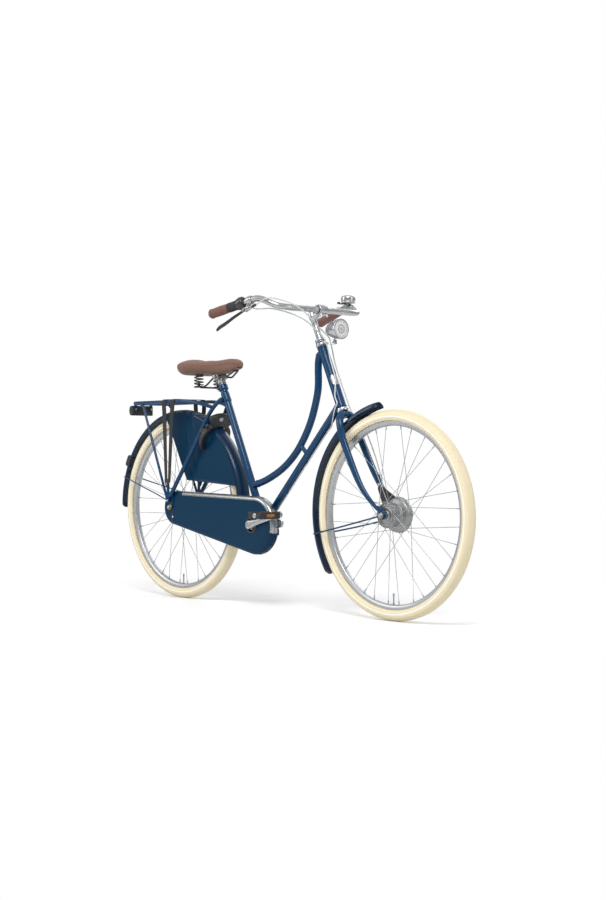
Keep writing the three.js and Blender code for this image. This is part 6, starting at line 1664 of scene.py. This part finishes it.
class CITYBIKE_OT_lamp(bpy.types.Operator):
    """Makes the headlight: a spun bullet shell, rim, reflector, lens and bracket."""
    bl_idname = "citybike.lamp"
    bl_label = "Headlight"

    def execute(self, context):
        front = np.array([LAMP_FACE[0], 0, LAMP_FACE[1]])
        t = np.linspace(0, 1, 40)
        outer = np.stack([36 * np.sqrt(np.clip(1 - (t ** 1.7), 0, 1)) + 0.02, 74 * t], 1)
        inner = np.stack([34.4 * np.sqrt(np.clip(1 - (t[::-1] ** 1.7), 0, 1)) + 0.01, 70 * t[::-1]], 1)
        shell = np.vstack([outer[:-1], [[0.02, 74], [0.01, 70]], inner[1:]])
        rim = [[31.5, -0.6], [35.6, -0.6], [36, 1.2], [36, 6], [34.4, 6], [34.2, 3], [31.5, 2]]
        skins = [lathe(shell, front, (-1, 0, 0), 80), hollow(rim, 0.6, front, (-1, 0, 0), 80),
                 block((852, 0, 961), (9, 8.2, 22), 1.4),
                 rod((815, 0, 996), (812, 0, 996), 5, 24)]
        piece("headlight_shell", skins, "chrome", "steering", "headlight_housing")
        cup = np.stack([np.linspace(3, 31, 30), 24 - 21 * np.linspace(0, 1, 30) ** 2], 1)
        cup = np.vstack([cup, (cup + [0, 0.8])[::-1]])
        piece("headlight_reflector", lathe(cup, front, (-1, 0, 0), 64), "chrome", "steering", ())
        pane = [[0, 0.6], [20, 0.8], [33, 1.8], [33, 4.6], [20, 3.6], [0, 3.4]]
        piece("headlight_pane", turned(pane, 0.4, front, (-1, 0, 0), 80), "clear", "steering",
              "headlight_lens")
        led = turned([[0, 0], [6, 0], [7, 2], [7, 7], [0, 7]], 0.8, front - [2.6, 0, 0], (-1, 0, 0), 32)
        piece("headlight_emitter", led, "trim", "steering", ())

        nut = [[13.4, 0], [18, 0], [19.4, 2], [19.4, 6], [18, 8], [15, 9.4], [13.4, 9.4]]
        ring = oblong(13.4, 0, 19, 2.4)
        arm = spline([on_head(963) + [14, 0, 0], on_head(963) + [24, 0, -7], (825, 0, 948),
                      (844, 0, 946.5)], 30)
        skins = [hollow(ring, 0.6, on_head(953), HEAD_UP, 48), hollow(nut, 0.9, on_head(958), HEAD_UP, 48),
                 sweep(arm, softened(oblong(-8, -1.6, 8, 1.6), 1.0)),
                 block((852, 0, 946.4), (16, 17, 4), 1.2), block((852, -6.5, 953), (13, 3.6, 15), 1.2),
                 block((852, 6.5, 953), (13, 3.6, 15), 1.2), crossbar((852, 0, 954), 11, 3, 18),
                 hexagon((852, -8.4, 954), (0, -1, 0), 9, 4.5)]
        piece("lamp_bracket_arm", skins, "chrome", "steering", "lamp_bracket")
        return {"FINISHED"}


BAR_SHARES = np.array([
    [0, 0.28, 0], [0, 0.56, 0], [0.061, 0.72, 0.15], [0.133, 0.772, 0.455], [0.235, 0.8, 0.85],
    [0.323, 0.824, 1], [0.395, 0.843, 0.88], [0.476, 0.865, 0.7], [0.565, 0.888, 0.515],
    [0.721, 0.928, 0.19], [0.86, 0.964, -0.099], [1, 1, -0.39]])


def on_bar(side, shares):
    """Places on one half of the handlebar, from shares of its reach, width and rise."""
    shares = np.atleast_2d(shares)
    return np.stack([BAR_FORWARD - shares[:, 0] * BAR_REACH, side * shares[:, 1] * BAR_HALF_WIDTH,
                     BAR_HEIGHT + shares[:, 2] * BAR_RISE], 1)


def bar_path(count=260):
    """The handlebar's whole axis, from its right end to its left."""
    right, left = on_bar(-1, BAR_SHARES)[::-1], on_bar(1, BAR_SHARES)
    return spline(np.vstack([right, [[BAR_FORWARD, 0, BAR_HEIGHT]], left]), count)


def on_grip(side, share):
    """The place on the straight end of the handlebar, at a share of its length."""
    start, end = on_bar(side, [0.476, 0.865, 0.7])[0], on_bar(side, [1, 1, -0.39])[0]
    return start + (end - start) * share


class CITYBIKE_OT_handlebar(bpy.types.Operator):
    """Makes the swept handlebar and the forged stem that clamps it."""
    bl_idname = "citybike.handlebar"
    bl_label = "Handlebar and Stem"

    def execute(self, context):
        path = bar_path()
        near = np.abs(path[:, 1])
        radius = size("handlebar") + np.interp(near, [0, 26, 40], [1.6, 1.6, 0.0])
        piece("handlebar_bend", tube(path, radius, 28), "bar", "steering", "handlebar",
              60)

        neck, clamp = on_head(1036), np.array([float(BAR_FORWARD), 0, BAR_HEIGHT])
        quill = [[0, 0], [10.9, 0], [10.9, 190], [13, 196], [13.6, 210], [12.6, 218], [8, 224], [0, 225]]
        low = on_head(862)
        arm_path = spline([neck - [3, 0, 6], neck + [4, 0, 6], (neck + clamp) / 2 + [0, 0, 3], clamp], 30)
        ring = [[13.6, -19], [17, -21], [19, -18], [19.4, 0], [19, 18], [17, 21], [13.6, 19]]
        skins = [turned(quill, 2.0, low, HEAD_UP, 44),
                 tube(arm_path, np.linspace(12.4, 11, 30), 28, up=(0, 1, 0)),
                 hollow(ring, 1.6, clamp, (0, 1, 0), 56)]
        skins += [block((798, 0, 1053), (10, 34, 10), 2.0, 0.7),
                  rod((795, -13, 1060), (804, -13, 1044), 3.4, 18),
                  rod((795, 13, 1060), (804, 13, 1044), 3.4, 18),
                  hexagon(on_head(1060) - HEAD_UP * 0.5, HEAD_UP, 9, 3)]
        piece("stem_forging", skins, "bar", "steering", "stem")
        return {"FINISHED"}


class CITYBIKE_OT_grips(bpy.types.Operator):
    """Makes the grips, the twist sleeve and the shifter's housing."""
    bl_idname = "citybike.grips"
    bl_label = "Grips and Shifter"

    def execute(self, context):
        whole = np.linalg.norm(on_grip(1, 1) - on_grip(1, 0))
        r = size("grip")

        def grip(side, start, hand):
            """Makes one grip, swelling along its length by a squared sine, and its stitches."""
            run = on_grip(side, 0.972) - on_grip(side, start)
            reach = np.linalg.norm(run)
            t = np.linspace(0, 1, 60)
            swell = (r + 0.6 + 0.9 * np.sin(np.pi * np.clip(t * 1.15, 0, 1)) ** 2
                     + 1.6 * np.clip((t - 0.82) / 0.1, 0, 1))
            outer = np.stack([swell, t * reach], 1)
            bend = np.linspace(0, np.pi / 2, 7)
            outer[-7:, 0] = swell[-8] - 5.5 * (1 - np.cos(bend))
            outer[-7:, 1] = reach - 6 + 6 * np.sin(bend)
            profile = np.vstack([[11.3, 0.4], [outer[0, 0] - 1, 0], outer, [11.3 * 0.5, reach],
                                 [0.02, reach]])
            profile = np.vstack([[0.02, 0.4], profile])
            skins = [lathe(profile, on_grip(side, start), run, 48, closed=False)]
            way = unit(run)
            across = unit(np.cross(way, [0, 0, 1]))
            under = unit(np.cross(across, way))
            base = on_grip(side, start)
            stitch = []
            for at in np.arange(8, reach - 10, 4.2):
                level = np.interp(at / reach, t, swell)
                foot = base + way * at - under * (level + 0.1)
                stitch.append(rod(foot, foot + way * 2.6 + across * 0.8, 0.45, 6, 0.1))
            piece(f"grip_cover_{hand}", skins, "grip", "steering", f"grip_{hand}", 60)
            piece(f"grip_stitches_{hand}", stitch, "webbing", "steering", ())
        grip(-1, 0.468, "right")
        grip(1, 0.06, "left")
        way = unit(on_grip(1, 1) - on_grip(1, 0))
        ring = [[11.3, 0], [15, 0], [15.8, 1.5], [15.8, 8], [15, 9.5], [11.3, 9.5]]
        piece("grip_collar_left", hollow(ring, 0.8, on_grip(1, 0.0), way, 44), "chrome", "steering", ())

        way = unit(on_grip(-1, 1) - on_grip(-1, 0))
        reach = whole * (0.465 - 0.223)
        turn = turns(96)
        rows = np.linspace(0, 1, 24)
        base_r = np.interp(rows, [0, 0.1, 0.5, 0.9, 1], [15.4, 17.0, 16.4, 17.2, 15.6])
        ribs = 0.55 * np.clip(np.cos(turn * 16) * 2.5, -1, 1)[None, :] * np.clip(
            np.minimum(rows, 1 - rows) * 9, 0, 1)[:, None]
        side, lift, _ = axis_basis(way)
        rings = (on_grip(-1, 0.223) + way * (rows * reach)[:, None, None]
                 + (base_r[:, None] + ribs)[..., None] * (np.cos(turn)[None, :, None] * side
                                                          + np.sin(turn)[None, :, None] * lift))
        piece("twist_sleeve_ribbed", skin(rings), "black", "twist_grip", "twist_sleeve",
              50)
        reach = whole * (0.22 - 0.03)
        drum = [[11.8, 0], [19, 0], [22.6, 4], [22.6, reach * 0.6], [20, reach - 2], [18, reach],
                [11.8, reach]]
        skins = [hollow(drum, 3, on_grip(-1, 0.03), way, 56),
                 rod(on_grip(-1, 0.1) + [0, 6, -4], (652, -213, 1075), 5, 24)]
        window_up = unit(np.cross(np.cross(way, [0, 0, 1]), way))
        piece("shifter_drum", skins, "gloss_black", "steering", "gear_shifter_housing")
        window = block(on_grip(-1, 0.12) + window_up * 21.4, (16, 13, 3.2), 1.2, 0,
                       [way, np.cross(window_up, way), window_up])
        piece("shifter_window", window, "trim", "steering", ())
        return {"FINISHED"}


LEVER_PIVOT = np.array([648.0, -236, 1064])
LEVER_AXIS = unit([0.24, 0.97, 0])


class CITYBIKE_OT_brake_lever(bpy.types.Operator):
    """Makes the brake lever's cast bracket and its long curved blade."""
    bl_idname = "citybike.brake_lever"
    bl_label = "Brake Lever"

    def execute(self, context):
        start, end = on_bar(-1, [0.388, 0.841, 0.9])[0], on_bar(-1, [0.446, 0.857, 0.765])[0]
        way = unit(end - start)
        reach = np.linalg.norm(end - start)
        band = [[11.6, -1], [15, -1], [16, 1.5], [16, reach - 1.5], [15, reach + 1], [11.6, reach + 1]]
        pivot = LEVER_PIVOT
        bridge = spline([on_bar(-1, [0.42, 0.85, 0.83])[0], (660, -230, 1080), pivot + [6, 1, 3]], 20)
        nose = spline([pivot + [4, 1, 2], (662, -232, 1067), (676, -228, 1073)], 20)
        skins = [hollow(band, 1.2, start, way, 44),
                 tube(bridge, np.linspace(9, 8, 20), 22, up=(0, 1, 0.2), flat=0.8),
                 tube(nose, np.linspace(7.5, 5.4, 20), 22, up=(0, 1, 0.2))]
        for out in (-8.6, 8.6):
            middle = pivot + LEVER_AXIS * out
            skins.append(rod(middle - LEVER_AXIS * 1.9, middle + LEVER_AXIS * 1.9, 7.2, 32))
            skins.append(tube(spline([middle, middle + [9, 0, 5], pivot + [16, 0, 8]], 12),
                              np.linspace(4.5, 6, 12), 16, up=(0, 1, 0.2), flat=0.5))
        skins.append(rod(pivot - LEVER_AXIS * 11, pivot + LEVER_AXIS * 11, 2.2, 20))
        piece("lever_bracket_casting", skins, "alloy", "steering", "brake_lever_bracket")
        tip = rod((674, -228.5, 1073), (702, -231, 1079.4), 4.0, 24)
        boot = hollow([[2, 0], [4.8, 0], [5, 3], [4.6, 14], [3.4, 20], [2, 21]], 1.0, (684, -229.4, 1075.2),
                      np.array([18, -1.6, 4.2]), 28)
        piece("lever_cable_boot", [tip, boot], "black", "steering", ())

        path = spline([pivot, (626, -241, 1053), (600, -247, 1040), (560, -254, 1019),
                       (536, -257.5, 1008.5),
                       (526.5, -259, 1001.5)], 90)
        t = np.linspace(0, 1, 90)
        radius = np.interp(t, [0, 0.1, 0.5, 0.9, 1], [5.0, 4.6, 4.6, 4.8, 3.8])
        tangent = unit_rows(np.gradient(path, axis=0))
        side = unit_rows(LEVER_AXIS - tangent * (tangent @ LEVER_AXIS)[:, None])
        lift = np.cross(tangent, side)
        turn = turns(24)
        broad = np.interp(t, [0, 0.15, 0.3, 1], [0.95, 1.1, 1.25, 1.3])
        high = np.interp(t, [0, 0.15, 0.4, 0.75, 1], [0.9, 0.95, 1.1, 1.35, 1.3])
        blade = [carried(path, side, lift, (radius * broad)[:, None] * np.cos(turn),
                         (radius * high)[:, None] * np.sin(turn)),
                 rod(pivot - LEVER_AXIS * 4, pivot + LEVER_AXIS * 4, 5.8, 28),
                 tube(np.array([path[-2], path[-1] + [-1.0, -0.2, -0.9]]), 4.9, 20, domed=True)]
        piece("brake_lever_blade", blade, "black", "brake_lever", "brake_lever", 60)
        return {"FINISHED"}


BELL_PLACE = np.array([699.98, 218.14, 0.0])


class CITYBIKE_OT_bell(bpy.types.Operator):
    """Makes the bell: domed gong, foot, clamp and thumb lever."""
    bl_idname = "citybike.bell"
    bl_label = "Bell"

    def execute(self, context):
        base = BELL_PLACE + [0, 0, 1114]
        dome = softened([[0.1, 0], [24, 0], [25.6, 1.2], [25.9, 5], [24.9, 6.5], [25.2, 8.5], [26.3, 10],
                         [26.3, 20], [24.5, 25.2], [17, 28], [8, 29.4], [0.1, 29.8]], 2.2, closed=False,
                         steps=6)
        gong = [lathe(dome, base, (0, 0, 1), 64, closed=False)]
        foot = [rod(base + [0, 0, -10], base + [0, 0, 1], 9, 30)]
        behind, ahead = on_bar(1, [0.322, 0.824, 1])[0], on_bar(1, [0.27, 0.812, 0.91])[0]
        band = [[11.4, 0], [13.6, 0], [14.4, 1], [14.4, 14], [13.6, 15], [11.4, 15]]
        foot.append(hollow(band, 0.8, behind + (ahead - behind) * 0.02, ahead - behind, 44))
        piece("bell_gong", gong + foot, "bar", "steering", "bell")
        pin = BELL_PLACE + [0, -19, 0]
        arm = spline([pin + [0, 0, 1111], pin + [-1, -10, 1110.6], pin + [-2, -20, 1110],
                      pin + [-3, -26, 1112]], 24)
        lever = [rod(pin + [0, 0, 1109], pin + [0, 0, 1113], 4.5, 24),
                 tube(arm, 2.6, 16, up=(1, 0, 0.2)),
                 block(pin + [-3, -27, 1112.6], (14, 5, 8), 1.8)]
        piece("bell_thumb_lever", lever, "black", "bell_lever", "bell_lever")
        return {"FINISHED"}


# Cables

BRAKE_CABLE = [
    (676, -228, 1074), (702, -231, 1079), (728, -228, 1090), (749, -219, 1099), (768, -197, 1097),
    (799, -160, 1083), (817, -128, 1063), (829, -90, 1032), (820, -50, 1008), (811, -12, 990),
    (810, 16, 970), (806, 32, 940), (822, 34, 880), (858, 34, 800), (882, 34, 750), (903, 36, 708),
    (930, 46, 680), (952, 56, 640), (972, 59, 600), (998, 60, 545), (1016, 60, 500), (1036, 52, 462),
    (1045, 44, 449)]
SHIFT_CABLE_BAR = [
    (651.6, -212.5, 1075.1), (674, -207, 1068), (702, -203, 1066), (733, -193, 1066), (758, -168, 1059),
    (782, -130, 1046), (803, -92, 1026), (815, -55, 996), (820, -24, 972), (824, -9, 945),
    (831, -5, 915), (837, -5, 893), (852.5, -7, 860), (869, -11, 822), (875.5, -17.5, 791),
    (879.5, -22.5, 761), (886.8, -22.5, 745)]
SHIFT_CABLE_FRAME_END = [
    (519, -5, 296), (486, -13, 275), (450, -24, 287), (425, -31, 298), (350, -34, 306.5),
    (240, -35.5, 318), (190, -38, 323), (135, -43.5, 329), (96, -51, 333.5), (73, -53, 336)]


def under_down(share):
    """The place of the shift cable's axis under the down tube."""
    run = unit(on_down(1) - on_down(0))
    return on_down(share) + np.array([run[2], 0, -run[0]]) * (size("down_tube") + size("cable") + 0.7)


class CITYBIKE_OT_cables(bpy.types.Operator):
    """Makes the brake and gear cables in their grey housings."""
    bl_idname = "citybike.cables"
    bl_label = "Cables"

    def execute(self, context):
        r = size("cable") - 0.2
        lean = (0.2, 0.6, 0.77)
        piece("brake_cable_housing", tube(spline(BRAKE_CABLE, 420), r, 12, up=lean, domed=True),
              "cable", "steering", "brake_cable", 60)
        piece("shift_cable_upper", tube(spline(SHIFT_CABLE_BAR, 220), r, 12, up=lean, domed=True),
              "cable", "steering", "shift_cable_bar", 60)
        low = [(887.2, -22.5, 744.1), (890.4, -22.5, 737), (881.5, -24, 720), (873, -23, 697),
               (862, -18, 676),
               (848, -9, 657)]
        low += [tuple(under_down(s)) for s in (0.79, 0.68, 0.55, 0.4, 0.25, 0.16)] + SHIFT_CABLE_FRAME_END
        piece("shift_cable_lower", tube(spline(low, 420), r, 12, up=(0.25, 0.93, 0.3), domed=True),
              "cable", "frame", "shift_cable_frame", 60)
        return {"FINISHED"}


# Stage

# The photo's camera: lens in millimetres, place in metres, the way back from the
# bicycle, roll in degrees
CAMERA_LENS, CAMERA_PLACE = 59.47, (4.0455, -3.6041, 0.5563)
CAMERA_BACK, CAMERA_ROLL = (0.73544, -0.67759, -0.00354), -0.061
FLOOR_RADIUS, FLOOR_SIDES = 14, 96


class CITYBIKE_OT_stage(bpy.types.Operator):
    """Sets the pale floor, the soft studio light and the camera."""
    bl_idname = "citybike.stage"
    bl_label = "Stage"

    def execute(self, context):
        scene = context.scene
        scene.view_settings.view_transform = "Standard"
        world = bpy.data.worlds.new("studio")
        scene.world = world
        world.use_nodes = True
        tree = world.node_tree
        tree.nodes.clear()
        path = add(tree, "ShaderNodeLightPath")
        place = add(tree, "ShaderNodeTexCoord").outputs["Generated"]
        height = add(tree, "ShaderNodeSeparateXYZ", Vector=place).outputs[2]
        sky = blended(tree, ranged(tree, height, -0.1, 0.9), (0.3, 0.3, 0.31, 1), (0.95, 0.95, 0.95, 1))
        light = add(tree, "ShaderNodeBackground", Color=sky, Strength=0.78)
        white = add(tree, "ShaderNodeBackground", Color=(1, 1, 1, 1), Strength=1.0)
        seen = maths(tree, "MAXIMUM", path.outputs["Is Camera Ray"], path.outputs["Is Transmission Ray"])
        mixed = add(tree, "ShaderNodeMixShader", _0=seen, _1=light.outputs[0], _2=white.outputs[0])
        add(tree, "ShaderNodeOutputWorld", Surface=mixed.outputs[0])

        mesh = bpy.data.meshes.new("studio_floor")
        turn = turns(FLOOR_SIDES)
        points = np.stack([FLOOR_RADIUS * np.cos(turn), FLOOR_RADIUS * np.sin(turn), np.zeros(FLOOR_SIDES)],
                          1)
        mesh.from_pydata(points.tolist(), [], [list(range(FLOOR_SIDES))])
        floor = bpy.data.objects.new("studio_floor", mesh)
        scene.collection.objects.link(floor)
        material, tree, shader, place = started("matt_paper_floor")
        fill(tree, shader, Base_Color=(0.8, 0.8, 0.8, 1), Roughness=0.9, Specular_IOR_Level=0.1)
        path = add(tree, "ShaderNodeLightPath")
        glow = add(tree, "ShaderNodeEmission", Color=(1, 1, 1, 1), Strength=0.15)
        both = add(tree, "ShaderNodeAddShader", _0=shader.outputs[0], _1=glow.outputs[0])
        white = add(tree, "ShaderNodeEmission", Color=(1, 1, 1, 1), Strength=1.0)
        reach = add(tree, "ShaderNodeVectorMath", {"operation": "LENGTH"}, _0=place)
        away = add(tree, "ShaderNodeMapRange", {"interpolation_type": "SMOOTHSTEP"},
                   Value=reach.outputs["Value"], _1=1.05, _2=1.7)
        faded = add(tree, "ShaderNodeMixShader", _0=away.outputs[0], _1=both.outputs[0],
                    _2=white.outputs[0])
        mixed = add(tree, "ShaderNodeMixShader", _0=path.outputs["Is Camera Ray"],
                    _1=shader.outputs[0], _2=faded.outputs[0])
        out = [node for node in tree.nodes if node.type == "OUTPUT_MATERIAL"][0]
        fill(tree, out, Surface=mixed.outputs[0])
        mesh.materials.append(material)

        rows = (("key_panel", (2.2, -2.6, 4.4), 2.4, 2.0, 150),
                ("side_panel", (-3.2, -3.8, 2.6), 2.4, 2.8, 70),
                ("rear_panel", (-1.0, 4.2, 3.2), 3.6, 2.4, 60),
                ("front_panel", (5.0, 1.6, 2.4), 1.6, 2.8, 40))
        for name, spot, wide, tall, power in rows:
            data = bpy.data.lights.new(name, "AREA")
            data.shape, data.size, data.size_y, data.energy = "RECTANGLE", wide, tall, power
            lamp = bpy.data.objects.new(name, data)
            scene.collection.objects.link(lamp)
            aim = Vector(spot) - Vector((0, 0, 0.5))
            lamp.matrix_world = Matrix.Translation(spot) @ aim.to_track_quat("Z", "Y").to_matrix().to_4x4()

        data = bpy.data.cameras.new("photo_camera")
        data.lens, data.sensor_width, data.sensor_fit = CAMERA_LENS, 36, "AUTO"
        camera = bpy.data.objects.new("photo_camera", data)
        scene.collection.objects.link(camera)
        back = Vector(CAMERA_BACK).normalized()
        right = Vector((0, 0, 1)).cross(back).normalized()
        up = back.cross(right)
        basis = Matrix((right, up, back)).transposed()
        roll = Matrix.Rotation(math.radians(CAMERA_ROLL), 3, "Z")
        camera.matrix_world = Matrix.Translation(CAMERA_PLACE) @ (basis @ roll).to_4x4()
        scene.camera = camera
        return {"FINISHED"}


PIECE_OPERATORS = (
    CITYBIKE_OT_tyres, CITYBIKE_OT_rims, CITYBIKE_OT_spokes, CITYBIKE_OT_hubs, CITYBIKE_OT_frame_tubes,
    CITYBIKE_OT_stays, CITYBIKE_OT_mudguards, CITYBIKE_OT_saddle, CITYBIKE_OT_carrier, CITYBIKE_OT_straps,
    CITYBIKE_OT_rear_lights, CITYBIKE_OT_coat_guards, CITYBIKE_OT_lock, CITYBIKE_OT_chain_case,
    CITYBIKE_OT_cranks, CITYBIKE_OT_pedals, CITYBIKE_OT_axles, CITYBIKE_OT_fork, CITYBIKE_OT_drum_brake,
    CITYBIKE_OT_lamp, CITYBIKE_OT_handlebar, CITYBIKE_OT_grips, CITYBIKE_OT_brake_lever, CITYBIKE_OT_bell,
    CITYBIKE_OT_cables, CITYBIKE_OT_stage)


class CITYBIKE_PT_panel(bpy.types.Panel):
    """Lists the operators that build the bicycle, and its sizes and colours."""
    bl_label = "City Bicycle"
    bl_idname = "CITYBIKE_PT_panel"
    bl_space_type = "VIEW_3D"
    bl_region_type = "UI"
    bl_category = "City Bicycle"

    def draw(self, context):
        for operator in PIECE_OPERATORS:
            self.layout.operator(operator.bl_idname)
        for group in (context.scene.city_bike_sizes, context.scene.city_bike_colours):
            box = self.layout.box()
            for name in group.bl_rna.properties.keys():
                if name not in ("rna_type", "name"):
                    box.prop(group, name)


CLASSES = (CityBikeColours, CityBikeSizes, *PIECE_OPERATORS, CITYBIKE_PT_panel)


def register():
    """Registers the classes and the two property groups."""
    for made in CLASSES:
        bpy.utils.register_class(made)
    bpy.types.Scene.city_bike_colours = bpy.props.PointerProperty(type=CityBikeColours)
    bpy.types.Scene.city_bike_sizes = bpy.props.PointerProperty(type=CityBikeSizes)


def unregister():
    """Takes away what register added."""
    del bpy.types.Scene.city_bike_sizes
    del bpy.types.Scene.city_bike_colours
    for made in reversed(CLASSES):
        bpy.utils.unregister_class(made)


def main():
    """Builds the bicycle and its stage."""
    register()
    for operator in PIECE_OPERATORS:
        group, name = operator.bl_idname.split(".")
        getattr(getattr(bpy.ops, group), name)()
    bpy.context.view_layer.update()


if __name__ == "__main__":
    main()
